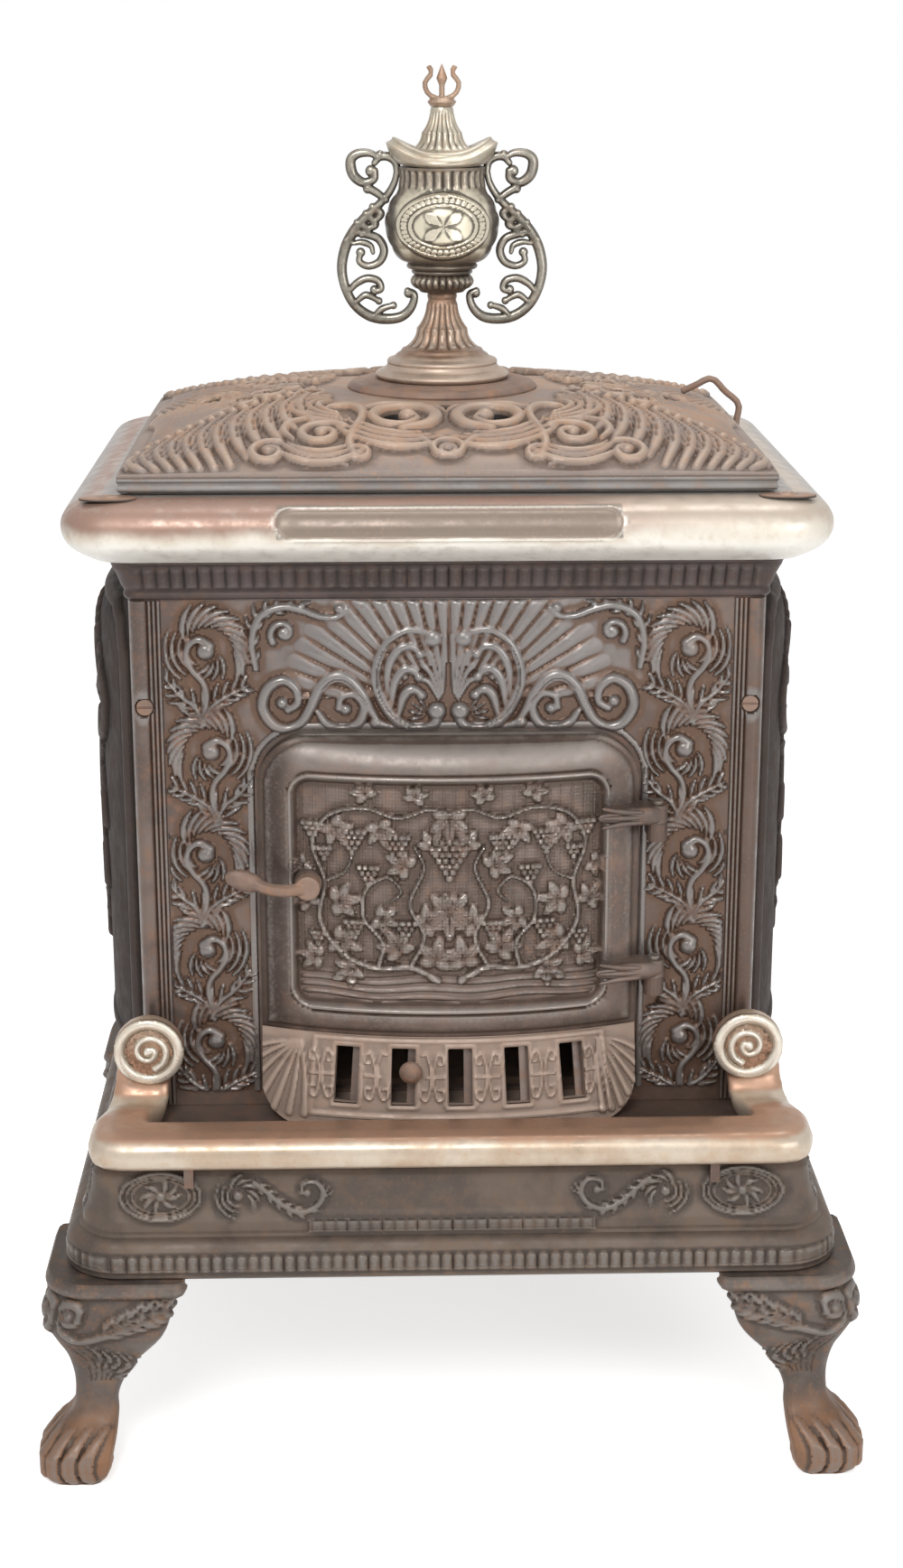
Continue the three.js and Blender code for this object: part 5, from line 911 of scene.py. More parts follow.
def carve_shell_half(relief):
    """Half of the shell: ribs between two C scrolls, with nested plumes inside them."""
    for k, (x, z) in enumerate(((4, 724), (12, 718), (19, 710), (25, 699), (30, 687))):
        relief.stroke([(4 + k * 1.1, 668 - k * 1.6), ((4 + x) / 2, (668 + z) / 2), (x * 0.86, z - 6)],
                      (1.2, 2.4, 3.6), (2.8, 3.8, 4.4))
    outer = [(8, 650), (14, 639), (30, 636), (46, 646), (59, 668), (62, 688), (53, 711), (36, 723), (20, 722)]
    relief.stroke(outer, (5.4, 5.6, 5.8, 5.4, 4.8, 4), (6.5, 7, 7, 6.6, 6, 5))
    relief.groove([(34, 639), (50, 651), (60, 672), (60, 692), (51, 710), (36, 720)], 0.9, 1.6)
    relief.ball(13, 716, 8.6, 7.2)
    relief.ball(10, 652, 8.4, 8.4)
    for plume in (((53, 664), (51, 692), (42, 707), (31, 709), (24, 702)),
                  ((49, 655), (46, 678), (38, 689), (30, 688), (25, 682)),
                  ((43, 648), (39, 664), (33, 671), (27, 670), (23, 666))):
        relief.stroke(plume, (2.8, 4.2, 5.2, 5, 3), (4.8, 5.8, 6.4, 6.2, 4.4))
        relief.ball(*plume[-1], 4.8, 6.2)
    for k in range(4):
        relief.lobe(18 + k, 652 - 2 * k, 64 - 20 * k, 15, -20, 1.5, 3.6)


def carve_wave_scrolls(relief):
    """Two rolling scrolls between the shell and the door's corner."""
    outer = [(58, 640), (66, 652), (74, 668), (86, 681), (98, 683), (110, 673), (118, 656), (126, 643),
             (138, 637), (151, 642), (159, 657), (154, 673), (141, 680), (130, 672), (129, 660), (137, 654)]
    relief.stroke(outer, (3.4, 5.6, 6.4, 5.6, 5, 5.4, 5.4, 4.6, 4), (5, 6.8, 7, 6.4, 6, 6.6, 6.6, 6, 5))
    relief.groove([(70, 660), (86, 678), (98, 680), (108, 672)], 0.9, 1.4)
    inner = [(112, 652), (104, 641), (90, 636), (77, 642), (72, 656), (80, 667), (91, 665), (94, 655)]
    relief.stroke(inner, (3, 4.8, 5.4, 5.2, 4.6, 4, 3.4), (5, 6.2, 6.6, 6.6, 6, 5.6, 5))
    for u, v, r in ((142, 660, 5.6), (88, 654, 5.4)):
        relief.ball(u, v, r, 6.6)
    relief.ball(62, 642, 6.5, 6.8)
    relief.stroke([(60, 642), (44, 635), (28, 633)], (5, 4, 2.4), (5.6, 5, 3))


def carve_corner_leaf(relief):
    """Leaf scroll in the top corner between the rays and the sprays."""
    stem = [(164, 690), (167, 714), (160, 735), (142, 744), (124, 741), (108, 735), (94, 735), (86, 742)]
    fingers(relief, stem[:5], 9, (17, 14), 52, 30, 2.2, 4.2, -1)
    fingers(relief, stem[:4], 5, (12, 12), 48, 30, 2.2, 4.2, 1)
    fingers(relief, [(92, 742), (76, 741), (50, 744)], 4, (9, 7), 24, 20, 1.4, 2.6, 1)
    relief.stroke(stem, (3, 3.8, 4.2, 4, 3.4, 2.6), (4.6, 5.6, 6, 5.6, 5, 4))
    relief.scroll(140, 721, 12, 3, -40, 0.9, (3.6, 2.6), (5.4, 4.8), eye=6)
    relief.ball(92, 742, 5, 5.4)


def front_edge(x, z):
    """Inside the body's front panel and outside the door and the draft panel."""
    panel = box_distance(x, z, -243, 243, 301, 749.5)
    opening = box_distance(x, z, -167.5, 167.5, 200, DOOR_TOP + 2.5, 47)
    return np.minimum(panel, -opening)


def make_front():
    relief = Relief(np.arange(-243, 243.1, 1.35), np.arange(301, 749.9, 1.35))
    relief.ground += PROUD
    for hand in (-1, 1):
        carve_sprays(relief, hand)
    carve_sunburst(relief)
    border = unit(front_edge(relief.U, relief.V) / 4)
    relief.up = np.clip(relief.up, 0, 7.2) * np.sqrt(border * (2 - border))
    add_sheet("front_carving", relief, on_front, -SUNK, front_edge, IRON, flat=True)


def make_door_surround():
    """Round bead that follows the door's opening in the front plate."""
    r, half_w, top, bead = 47, 170.5, DOOR_TOP + 5.5, 3
    arc = [(half_w - r + r * math.cos(a), top - r + r * math.sin(a)) for a in np.linspace(0, math.pi / 2, 8)]
    path = [(half_w, z) for z in (303, 400, 500)] + arc
    path += [(-x, z) for x, z in path[::-1]]
    relief = Relief(np.arange(-176, 176.1, 1.5), np.arange(301, top + 5, 1.5))
    relief.stroke(path, 3.4, 3.4)

    def within(x, z, grow):
        return box_distance(x, z, -half_w - grow, half_w + grow, 200, top + grow, r + grow)

    def edge(x, z):
        return np.minimum(np.minimum(within(x, z, bead), -within(x, z, -bead)), z - 302)

    add_sheet("door_surround", relief, on_front, -SUNK, edge, IRON, flat=True)


def make_pilasters():
    """Reeds and the round corner column up each side of the front, cleared for the post's screw."""
    for side, hand in SIDES:
        relief = Relief(np.linspace(243.6, 271, 55), np.linspace(289, 749.5, 240))
        for centre, r, h in ((245.6, 1.7, 2.2), (249.4, 1.7, 2.2), (253.2, 1.7, 2.2), (263.2, 7.8, 4.4)):
            np.maximum(relief.up, h * round_top((relief.U - centre) / r), out=relief.up)
        seat = unit(np.hypot(relief.U - 259.8, relief.V - 656.5) - 7.4)
        relief.up *= np.where(relief.U > 251.5, seat, 1)

        def surface(u, v, h, hand=hand):
            rounded = 9 - np.sqrt(np.clip(81 - np.maximum(u - 262.3, 0) ** 2, 0, None))
            return hand * u, BODY_FRONT - h + rounded, v

        add_sheet(f"pilaster_{side}", relief, surface, -SUNK, None, IRON)


# ---------------- feed door
def door_ground(relief):
    """Thin outer step, wide round frame, bead, and the sunk panel; gives the distance inside the panel."""
    x, z = relief.U, relief.V
    rim = np.minimum(door_outline(x, z), z - DOOR_BOTTOM)
    panel = box_distance(x, z, -PANEL_HALF_W + 1, PANEL_HALF_W - 1, PANEL_BOTTOM + 1, PANEL_TOP - 1, 16)
    frame_rise = 1.4 + 3.6 * round_top(2 * unit((rim - 5) / 24) - 1)
    relief.ground = np.where(rim < 5, PROUD + np.clip((rim - 0.2) * 0.4, 0, 0.6), frame_rise)
    inner = PROUD + 0.8
    relief.ground = np.where(panel > -4.8, inner + 2.4 * round_top((panel + 2.6) / 2.2), relief.ground)
    relief.ground = np.where(panel > 0, inner - unit(panel / 4.5) * (PANEL_SUNK + 0.9), relief.ground)
    return panel


def ripple(relief, mask):
    """Finely tooled ground: crossed lines above, running water lines below."""
    x, z = relief.U, relief.V
    hatch = 0.28 * np.sin(x * 2.2) + 0.28 * np.sin(z * 2.0 + 0.6 * np.sin(x * 0.2))
    water = 0.9 * np.sin(z * 0.85 + 1.2 * np.sin(x * 0.07) + 0.8 * np.sin(x * 0.031 + z * 0.1))
    low = unit((430 - z) / 14)
    relief.ground += np.where(mask > 5, hatch * (1 - low) + water * low, 0)


def grapes(relief, u, v, rows, r=3.0, h=4.6):
    for row in range(rows):
        count = rows - row
        for k in range(count):
            relief.ball(u + (k - (count - 1) / 2) * r * 1.75, v - row * r * 1.6, r, h - 0.25 * row)


def vine_leaf(relief, u, v, heading, size):
    for turn, length in ((0, 1.0), (52, 0.85), (-52, 0.85), (108, 0.6), (-108, 0.6)):
        relief.lobe(u, v, heading + turn, size * length, 0, size * 0.3, 3.6)
    for turn in (0, 52, -52):
        du, dv = polar(size * 0.8, heading + turn)
        relief.groove([(u, v), (u + du, v + dv)], 0.6, 1)


VINE_LEAVES = (  # x, z, heading in degrees and length
    (96, 452, 200, 20), (122, 486, 60, 17), (96, 488, 170, 20), (126, 520, -30, 15), (100, 556, 230, 19),
    (72, 586, 60, 15), (60, 556, 250, 18), (30, 584, 110, 14), (44, 446, 60, 21), (84, 426, -30, 18),
    (60, 474, 200, 17), (20, 470, 140, 19), (38, 522, 30, 18), (16, 540, 120, 17), (116, 436, 10, 17),
    (12, 436, 100, 22),
)
VINE_GRAPES = (  # x, z and rows of a bunch
    (118, 558, 4), (84, 552, 5), (46, 548, 5), (70, 520, 4), (108, 536, 3), (38, 470, 4), (82, 470, 4),
    (114, 458, 3),
)


def carve_door(relief):
    """Two vines that climb from a low bank, with a bunch and a rosette of leaves between them."""
    stem = [(10, 418), (34, 430), (62, 428), (92, 440), (112, 470), (108, 506), (118, 540), (104, 566),
            (74, 574), (44, 566), (18, 574), (0, 570)]
    curl = [(62, 428), (58, 452), (74, 474), (72, 500), (54, 512), (42, 500), (50, 490)]
    for hand in (-1, 1):
        relief.at(hand=hand)
        relief.stroke(stem, (3.6, 3, 2.6, 2.2, 2, 1.8, 1.6), 4.4)
        relief.stroke(curl, (2.4, 2.2, 1.8, 1.4), (4, 4, 3.6))
        relief.stroke([(34, 430), (22, 458), (34, 488), (22, 520), (30, 540)], (2.4, 2, 1.4), 3.8)
        relief.stroke([(108, 506), (90, 516), (84, 534), (94, 542)], (1.6, 1.3, 1), 3.4)
        for leaf in VINE_LEAVES:
            vine_leaf(relief, *leaf)
        for bunch in VINE_GRAPES:
            grapes(relief, *bunch)
    relief.at()
    vine_leaf(relief, 0, 566, 270, 22)
    grapes(relief, 0, 544, 7, 3.4, 5.2)
    for heading in (50, 130, 270):
        vine_leaf(relief, 0, 478, heading, 22)


def door_outline(x, z):
    return box_distance(x, z, -DOOR_HALF_W, DOOR_HALF_W, DOOR_BOTTOM - 60, DOOR_TOP, DOOR_CORNER_R)


def door_edge(x, z):
    return np.minimum(door_outline(x, z) - 0.1, z - DOOR_BOTTOM - 0.1)


def make_door():
    relief = Relief(np.arange(-165, 165.1, 1.25), np.arange(367, 634.4, 1.25))
    panel = door_ground(relief)
    behind = np.minimum(relief.ground, PROUD) - 3.0
    ripple(relief, panel)
    carve_door(relief)
    relief.up *= unit(panel / 4)
    surface = lambda x, z, h: (x, door_front_y(x, z) - h, z)
    add_sheet("door_casting", relief, surface, lambda r: behind, door_edge, DOOR_IRON, "feed_door")


def make_straps():
    """Leaf-shaped tongues over the door's two hinge straps, with three veins on each."""
    for name, z in (("upper", 556), ("lower", 414)):
        tongue = [(187, -181, z + 8), (172, -188.5, z + 8.5), (156, -192, z + 9), (140, -196.5, z + 9.5),
                  (127, -200, z + 10)]
        body = [swept_mesh(f"strap_{name}", tongue, (6.5, 8, 8.4, 7, 2.5), 20, 0.55)]
        for k, lift in enumerate((5.5, 0, -5.5)):
            vein = [(168, -193, z + 8.5 + lift * 0.8), (148, -198, z + 9.5 + lift),
                    (130, -202.5, z + 10.5 + lift * 1.6)]
            body.append(swept_mesh(f"strap_{name}_{k}", vein, (1.6, 2.8, 1.4), 12, 0.8))
        for mesh in body:
            add_piece(mesh.name, mesh, DOOR_IRON, "feed_door")


# ---------------- draft panel
def draft_splay(z):
    return DRAFT_SPLAY * (DRAFT_TOP - z) / (DRAFT_TOP - DRAFT_BOTTOM)


def draft_surface(x, z, h):
    return x, bow_y(x, draft_splay(z) + h), z


def along_panel(x, z):
    """Distance round the bowed panel from its middle."""
    return np.arcsin(np.clip(x / (BOW_RADIUS + draft_splay(z)), -1, 1)) * BOW_RADIUS


def slot_distance(a, z, centre, half_w, half_h):
    return box_distance(a, z, centre - half_w, centre + half_w, SLOT_Z - half_h, SLOT_Z + half_h, 1)


def draft_edge(x, z):
    outline = box_distance(x, z, -DOOR_HALF_W, DOOR_HALF_W, DRAFT_BOTTOM, DRAFT_TOP + 60, DRAFT_FOOT_R)
    inside = np.minimum(outline, DRAFT_TOP - z) - 0.1
    for centre in SLOT_XS:
        inside = np.minimum(inside, -slot_distance(along_panel(x, z), z, centre, SLOT_W / 2, SLOT_H / 2))
    return inside


DRAFT_CURL = ((1.2, 0), (1.8, 9), (5, 19), (9.6, 17), (9.4, 11), (6.2, 11))  # a quarter of an ornament


def carve_draft(relief):
    """Raised field with framed slots, curled ornaments between them and a fan at each end."""
    a, z = along_panel(relief.U, relief.V), relief.V
    raised = box_distance(a, z, -122, 140, 296, 366, 3)
    relief.ground += np.where(raised > 0, 1.6 * unit(raised / 1.5), 0)
    relief.ground -= np.where(raised > 4, 1.2 * unit((raised - 4) / 1.5), 0)
    for centre in SLOT_XS:
        relief.ground += np.where(np.abs(slot_distance(a, z, centre, 12.5, 26)) < 1.4, 0.9, 0)
    for x in (-113.5, -64.5, -15.5, 33.5, 82.5, 130):
        relief.at(x, SLOT_Z)
        relief.stroke([(-10, 0), (10, 0)], 1.3, 1.7)
        for hand, rise in ((1, 1), (-1, 1), (1, -1), (-1, -1)):
            relief.at(x, SLOT_Z, hand, rise)
            relief.stroke(DRAFT_CURL, (1.3, 1.5, 1.7, 1.5, 1.2), 1.7)
    for hand in (-1, 1):
        relief.at(hand * 126, 366, hand)
        for k in range(7):
            far_x, far_z = polar(72 - 1.5 * abs(k - 2), 11 * k - 88)
            if hand > 0:
                far_x = far_x * 0.62 + 8
            ray = [(4 + k * 1.2, -8), (far_x * 0.6, far_z * 0.55), (far_x, far_z)]
            relief.stroke(ray, (1.2, 2.6, 3.4), (1.4, 2.6, 3))
    knob_way = box_distance(a, z, SLOT_XS[1] - 22, SLOT_XS[1] + 22, SLOT_Z - 5, SLOT_Z + 19, 11)
    relief.up *= unit(1 - knob_way)
    relief.ground = np.where(knob_way > 0, np.minimum(relief.ground, 1.2), relief.ground)


def make_draft():
    relief = Relief(np.arange(-165, 165.1, 1.25), np.arange(287.3, 367, 1.25))
    relief.ground += PROUD
    carve_draft(relief)
    add_sheet("draft_casting", relief, draft_surface, -SUNK, draft_edge, DRAFT_TAN)


def make_grips():
    add_softened("latch_lever", "latch_handle", 0.9, 12, RUSTY, "latch")
    add_softened("draft_button", "draft_knob", 0.6, 8, RUSTY, "register")


# ---------------- swing top
def arc_scale(values, heights):
    """Distance run along a section to each of its points."""
    return np.concatenate([[0], np.cumsum(np.hypot(np.diff(values), np.diff(heights)))])


DOME_FRONT, DOME_REAR = BODY_MID_Y - DOME_HALF_D, BODY_MID_Y + DOME_HALF_D
SECTION_Y = np.linspace(DOME_FRONT, DOME_REAR, 3001)
RUN_Y = arc_scale(SECTION_Y, dome_height(0, SECTION_Y))
SECTION_X = np.linspace(-DOME_HALF_W, DOME_HALF_W, 3001)
RUN_X = arc_scale(SECTION_X, dome_height(SECTION_X, BODY_MID_Y))
RUN_X = RUN_X - RUN_X[-1] / 2


def dome_plan(u, v):
    """Plan place of a point given by its run across the dome and back from its front lip."""
    return np.interp(u, RUN_X, SECTION_X), np.interp(v, RUN_Y, SECTION_Y)


def dome_surface(u, v, h):
    """Point h above the dome, or straight below it where h is negative."""
    x, y = dome_plan(u, v)
    e = 0.4
    slope_x = np.clip((dome_height(x + e, y) - dome_height(x - e, y)) / (2 * e), -4, 4)
    slope_y = np.clip((dome_height(x, y + e) - dome_height(x, y - e)) / (2 * e), -4, 4)
    n = np.sqrt(1 + slope_x**2 + slope_y**2)
    z = LIP_TOP + dome_height(x, y) + np.where(h < 0, h, h / n)
    lean = np.where(h > 0, h / n, 0)
    x = np.clip(x - slope_x * lean, -DOME_HALF_W, DOME_HALF_W)
    return x, np.clip(y - slope_y * lean, DOME_FRONT, DOME_REAR), z


DOME_SEAT_R = 76  # of the hole under the collar
DOME_RING, DOME_EYE = (37, 92), (33, 94)  # a front volute's middle and the ball in its eye
DOME_HOLES = (  # u, v, half sizes and turn of the openings in the dome, at its right side
    (84, 140, 11, 7, -25), (47, 141, 10, 3.6, 8),
    (116, 192, 9, 5, 30), (152, 214, 10, 6.5, -30), (176, 190, 9, 5, 20), (208, 222, 9, 5.5, 0),
    (122, 232, 9, 5, 15),
)


def oval_distance(u, v, cu, cv, ru, rv, turn):
    """Rough distance inside an oval of half sizes ru and rv, turned in degrees."""
    c, s = polar(1, turn)
    du, dv = (u - cu) * c + (v - cv) * s, -(u - cu) * s + (v - cv) * c
    return min(ru, rv) * (1 - np.hypot(du / ru, dv / rv))


def dome_edge(u, v):
    """Above zero on the dome's metal: outside its collar's seat and its openings."""
    x, y = dome_plan(u, v)
    f = np.hypot(x, y - BODY_MID_Y) - DOME_SEAT_R
    side = np.abs(u)
    along = np.minimum(v, RUN_Y[-1] - v)
    for cu, cv, ru, rv, turn in DOME_HOLES:
        f = np.minimum(f, -oval_distance(side, along, cu, cv, ru, rv, turn))
    crescent = oval_distance(side, along, DOME_RING[0] + 4, DOME_RING[1], 15.5, 16.5, 0)
    beyond_eye = np.hypot(side - DOME_EYE[0], along - DOME_EYE[1]) - 8
    f = np.minimum(f, -np.minimum(crescent, beyond_eye))
    return np.minimum(f, -oval_distance(side, along, 0, 128, 9, 9, 0))  # and the round hole in the middle


FROND_BEND = ((-3, 0), (3, 0.2), (9, 0.48), (6, 0.76), (-4, 1))  # sideways in mm, share of its length
FERN_RIB = [(112, 214), (140, 190), (176, 156), (212, 116), (244, 78), (268, 48)]


def carve_fern(relief):
    """Beaded midrib from the corner to the crown, wavy fronds before it and fine ones behind it."""
    path = curve_through(FERN_RIB, 1.0)

    def on_rib(t):
        return path[int(t * (len(path) - 1))]

    fronds, fine_fronds, beads = 12, 13, 17
    for k in range(fronds):
        t = (k + 0.3) / fronds
        u, v = on_rib(t)
        length = (v - 8) * min(1, 0.62 + 0.8 * t)
        bend = [(u + du, v - share * length) for du, share in FROND_BEND]
        relief.stroke(bend, (3, 6.2, 7, 6.4, 3.8), (4, 5.6, 6.6, 5.8, 3.8))
        relief.groove([(a - 2, b) for a, b in bend[:4]], 1.0, 2.2)
        relief.stroke([(a + 7, b - 4) for a, b in bend[1:4]], (1.4, 2.2, 1.4), (4.4, 5.4, 4))
    for k in range(fine_fronds):
        far, near = (150 + 9 * k, 239), (262 - 0.6 * k, 62 + 8 * k)
        middle = ((far[0] + near[0]) / 2 - 6 + 1.2 * k, (far[1] + near[1]) / 2 + 6)
        relief.stroke([near, middle, far], (1.6, 3.4, 3.6), (2, 3.4, 3.6))
    for k in range(beads):
        relief.ball(*on_rib((k + 0.5) / beads), 5.2, 7)


def arcs_about(relief, u, v, radii, start, end, width, height):
    """Leaf fingers that run side by side about one point, between two angles in degrees."""
    for k, r in enumerate(radii):
        points = sweep(r, r, start + 5 * k, end - 7 * k) + (u, v)
        widths = (width * 0.45, width, width, width * 0.5)
        relief.stroke(points, widths, (height * 0.6, height, height, height * 0.6))


def carve_dome_front(relief):
    """Ring volutes with pierced eyes, and the leaf scrolls below and beside them."""
    u, v = DOME_RING
    radii = (31, 29, 28, 27, 27, 27, 26, 25, 22, 16, 10)
    ring = [polar(r, 270 - 45 * k) for k, r in enumerate(radii)]
    ring = [(u + du, v + 0.95 * dv) for du, dv in ring]
    relief.stroke(ring, (6.5, 7, 7, 6.5, 5.5, 4), (6.5, 8, 8, 7.5, 7, 6))
    relief.ball(*DOME_EYE, 8.4, 9)
    arcs_about(relief, u, v, (38.5, 46, 53.5, 61), -5, -112, 4.6, 6.4)
    arcs_about(relief, u, v, (37,), 175, 120, 3.6, 6)
    arcs_about(relief, 86, 134, (24, 32, 40, 48), 58, -72, 4.4, 6)
    arcs_about(relief, 106, 56, (31, 38, 45), -22, -150, 4, 6)
    for scroll in ((1, 28, 13, 4, 90, -1.1, (4, 3), (6, 5), 4), (74, 22, 10, 3, 40, 1.0, (4, 3), (6, 5), 4.4),
                   (106, 56, 22, 6, 150, -1.25, (6, 4.4), (7.4, 6.4), 6),
                   (150, 27, 17, 5, 120, -1.2, (5.4, 4), (7, 6), 6)):
        relief.scroll(*scroll)
    trunk = [(78, 17), (82, 38), (78, 62), (72, 88), (72, 110), (82, 126), (98, 128), (104, 118)]
    relief.stroke(trunk, (4, 5, 5, 5, 5, 4.6, 3.4), (5.4, 6.6, 7, 7, 7, 6.6, 5))
    relief.stroke([(13, 30), (22, 44), (40, 52)], (4, 4.6, 3), (5.4, 5.6, 4))
    relief.stroke([(138, 38), (124, 24), (104, 14), (84, 10)], (4, 4, 3, 2), (5, 5, 4, 3))
    relief.stroke([(20, 132), (34, 128), (56, 128), (70, 118)], (3, 4.6, 4, 3), (4, 6, 6, 5))
    relief.stroke([(120, 96), (134, 84), (138, 66), (130, 50)], (3, 5, 5, 3), (5, 6.4, 6, 4))


def carve_dome_side(relief):
    """Looser scrolls round the openings towards the dome's sides and rear."""
    for u, v, r, turn in ((122, 190, 17, 1), (160, 214, 19, -1), (180, 184, 14, -1), (140, 236, 14, 1)):
        relief.scroll(u, v, r, 4, 90 * turn, turn * 1.5, (4.2, 3), (6, 5), eye=4.5)
    for angle in (180, 212, 244, 276, 308, 340):
        relief.lobe(204, 239, angle, 24, 30, 4, 5.4)
    relief.ball(204, 239, 7.5, 6.5)


def make_dome():
    """The pierced dome; its rear half, out of sight, has wider cells."""
    total = RUN_Y[-1]
    fine, coarse = 1.7, 3.2
    vs = np.concatenate([np.arange(0, total / 2, fine), np.arange(total / 2, total, coarse), [total]])
    us = np.arange(RUN_X[0], RUN_X[-1] + 0.01, fine)
    us[-1] = RUN_X[-1]
    relief = Relief(us, vs)
    for hand, rise in ((-1, 1), (-1, -1), (1, 1), (1, -1)):
        relief.at(0, 0 if rise > 0 else total, hand, rise)
        for carve in (carve_dome_front, carve_dome_side, carve_fern):
            carve(relief)
    border = box_distance(relief.U, relief.V, us[0], us[-1], 0, total)
    relief.up *= unit((border - 4) / 6)
    relief.up += np.where(border < 5, 1.2 * round_top((border - 2.5) / 2.5), 0)
    add_sheet("dome_casting", relief, dome_surface, -5.0, dome_edge, DOME_TAN, "swing_top", ["swing_top"],
              simplify=3.0, full=2.6)


def make_dome_lip():
    rows = Frame(DOME_HALF_W, DOME_FRONT, DOME_REAR, 1).stations(6, 6, 12, 3)
    outer = raised_profile(DOME_BOTTOM, [(-1.5, 0, 0), (0, 1.5, 0), (0, 3, -0.8), (-0.2, 8, 0.6), (0, 11, 0),
                                         (-0.8, DOME_LIP + 0.6, 0)])
    inner = np.array([(-7, LIP_TOP + 0.6), (-7, DOME_BOTTOM)], float)
    add_piece("dome_lip", framed_mesh("dome_lip", rows, outer, inner), BAND_IRON, "swing_top")


def make_dome_collar():
    profile = raised_profile(DOME_CROWN, [(30, -5, 0), (72, -5, 0), (84.2, -3, 1.8), (84.2, 2, 1.0),
                                          (78, 4.6, -0.8), (70, 6.6, 0.5), (60, 7, 0)])
    add_turned("dome_collar", profile, 128, RUSTY, "swing_top")
    add_softened("finger_loop", "swing_top_loop", 1.0, 8, RUSTY, "swing_top")


# ---------------- cornice and rim
CORNICE_FLUTE, PLAIN_BACK_RISE = 11.7, 0.6


def make_cornice():
    """Fluted cove round the body's top; its back and corners are plain."""
    rows = Frame(BODY_HALF_W, BODY_FRONT, BODY_REAR, RIM_CORNER_R).stations(1.45, 1.9, 8, 8)
    z0, height, flare = CORNICE_BOTTOM, CORNICE_HEIGHT, CORNICE_FLARE
    outer = raised_profile(z0, [(0.5, 0, 0), (2.2, 0.4, 1.2), (3.0, 6.2, 0), (3.0, 7.2, -1.6),
                                (flare - 1.2, height - 4.2, 0), (flare, height - 3.8, 0.4),
                                (flare, height, 0)], 1.3)
    inner = np.array([(-14, z0 + height), (-14, z0)], float)

    def carve(stations, profile):
        plain = np.isin(stations[:, 4], (BACK, CORNER))
        wave = np.where(plain, PLAIN_BACK_RISE, flutes(stations[:, 5] / CORNICE_FLUTE))
        up = (profile[:, 1] - z0 - 8) / (height - 13)
        return 2.0 * wave[:, None] * unit(np.minimum(up, 1 - up) * 6)

    mesh = framed_mesh("cornice_flutes", rows, outer, inner, carve)
    add_piece("cornice_flutes", mesh, CORNICE_IRON, "stove", ["cornice"])


RIM_PEAK = 0.14  # further reach of the rim at its corners, a share of its overhang


RIM_FACE = (  # reach as a share of the overhang, height as a share of the rim's
    (0.5, 0), (0.72, .12), (0.88, .24), (0.97, .38), (1, .53), (0.965, .69), (0.83, .85), (0.58, .95),
    (0.28, 1),
)


def make_rim():
    """Nickel rim: rolled face, flat top with a thin ledge, and a bare sunk panel in front."""
    rows = Frame(BODY_HALF_W, BODY_FRONT, BODY_REAR, RIM_CORNER_R, RIM_PEAK).stations(2.6, 6, 12, 14)
    z0, height, out = RIM_BOTTOM, RIM_HEIGHT, RIM_OUT
    face = curve_through([(s * out, z0 + t * height) for s, t in RIM_FACE], 1.5)
    face[:, 0] = np.minimum(face[:, 0], out)
    top = [(0.27 * out, 0, 0), (4, 0, 0), (3.6, 1.2, 0.2), (-0.5, 1.2, 0), (-2, 0, 0)]
    outer = np.vstack([face, raised_profile(z0 + height, top, 1.6)])
    inner = np.array([(-2, 823.1), (-30, 823.1), (-30, 815.1), (-4, 791.4), (-4, z0)], float)
    panel_z = 824

    def panel(stations, profile):
        x = np.where(stations[:, 4] == FRONT, stations[:, 5], 999.0)[:, None]
        r, z = profile[:, 0], profile[:, 1]
        on_face = (r > 0.3 * out) & (z > 800)
        height = np.hypot(r - 0.92 * out, z - panel_z) * np.sign(z - panel_z)
        inside = box_distance(x, height, -143, 143, -13.5, 13.5, 13.4)
        step = -1.6 * unit(inside / 1.6)
        lip = 0.7 * unit(1 - np.abs(inside + 1.2) / 1.6)
        return np.where(on_face, step + lip, 0)

    mesh = framed_mesh("rim_casting", rows, outer, inner, panel, reach=5)
    add_piece("rim_casting", mesh, RIM_NICKEL, "stove", ["top_rim"])


def make_rest_lug():
    """Block on the rim's right side that the swing top rests on."""
    stations = [(0.5, 0, 0), (7, 0, 0), (7, 4.7, 0.3), (6.2, 5.6, 0), (0.5, 5.6, 0)]
    profile = raised_profile(838.5, stations, 1.0)
    add_turned("rest_block", profile, 28, STEEL, "stove", centre=(275, -120), bore=0.5)


def make_rim_pads():
    """Low oval pad with a curl at each front corner of the rim's top."""
    edge = lambda u, v: oval_distance(u, v, 0, 0, 24, 11, 0)
    for side, hand in SIDES:
        relief = Relief(np.arange(-26, 26.1, 0.8), np.arange(-13, 13.1, 0.8))
        relief.ground += 0.2 + 0.7 * unit(edge(relief.U, relief.V) / 2)
        relief.scroll(0, 0, 8, 2, 200, 1.2, (1.6, 1.2), (1.4, 1.0), eye=2)
        surface = lambda u, v, h, hand=hand: (hand * (282 + u), -181 + v, 841.3 + np.minimum(h, 2.6))
        add_sheet(f"rim_pad_{side}", relief, surface, -1.8, edge, TREAD)


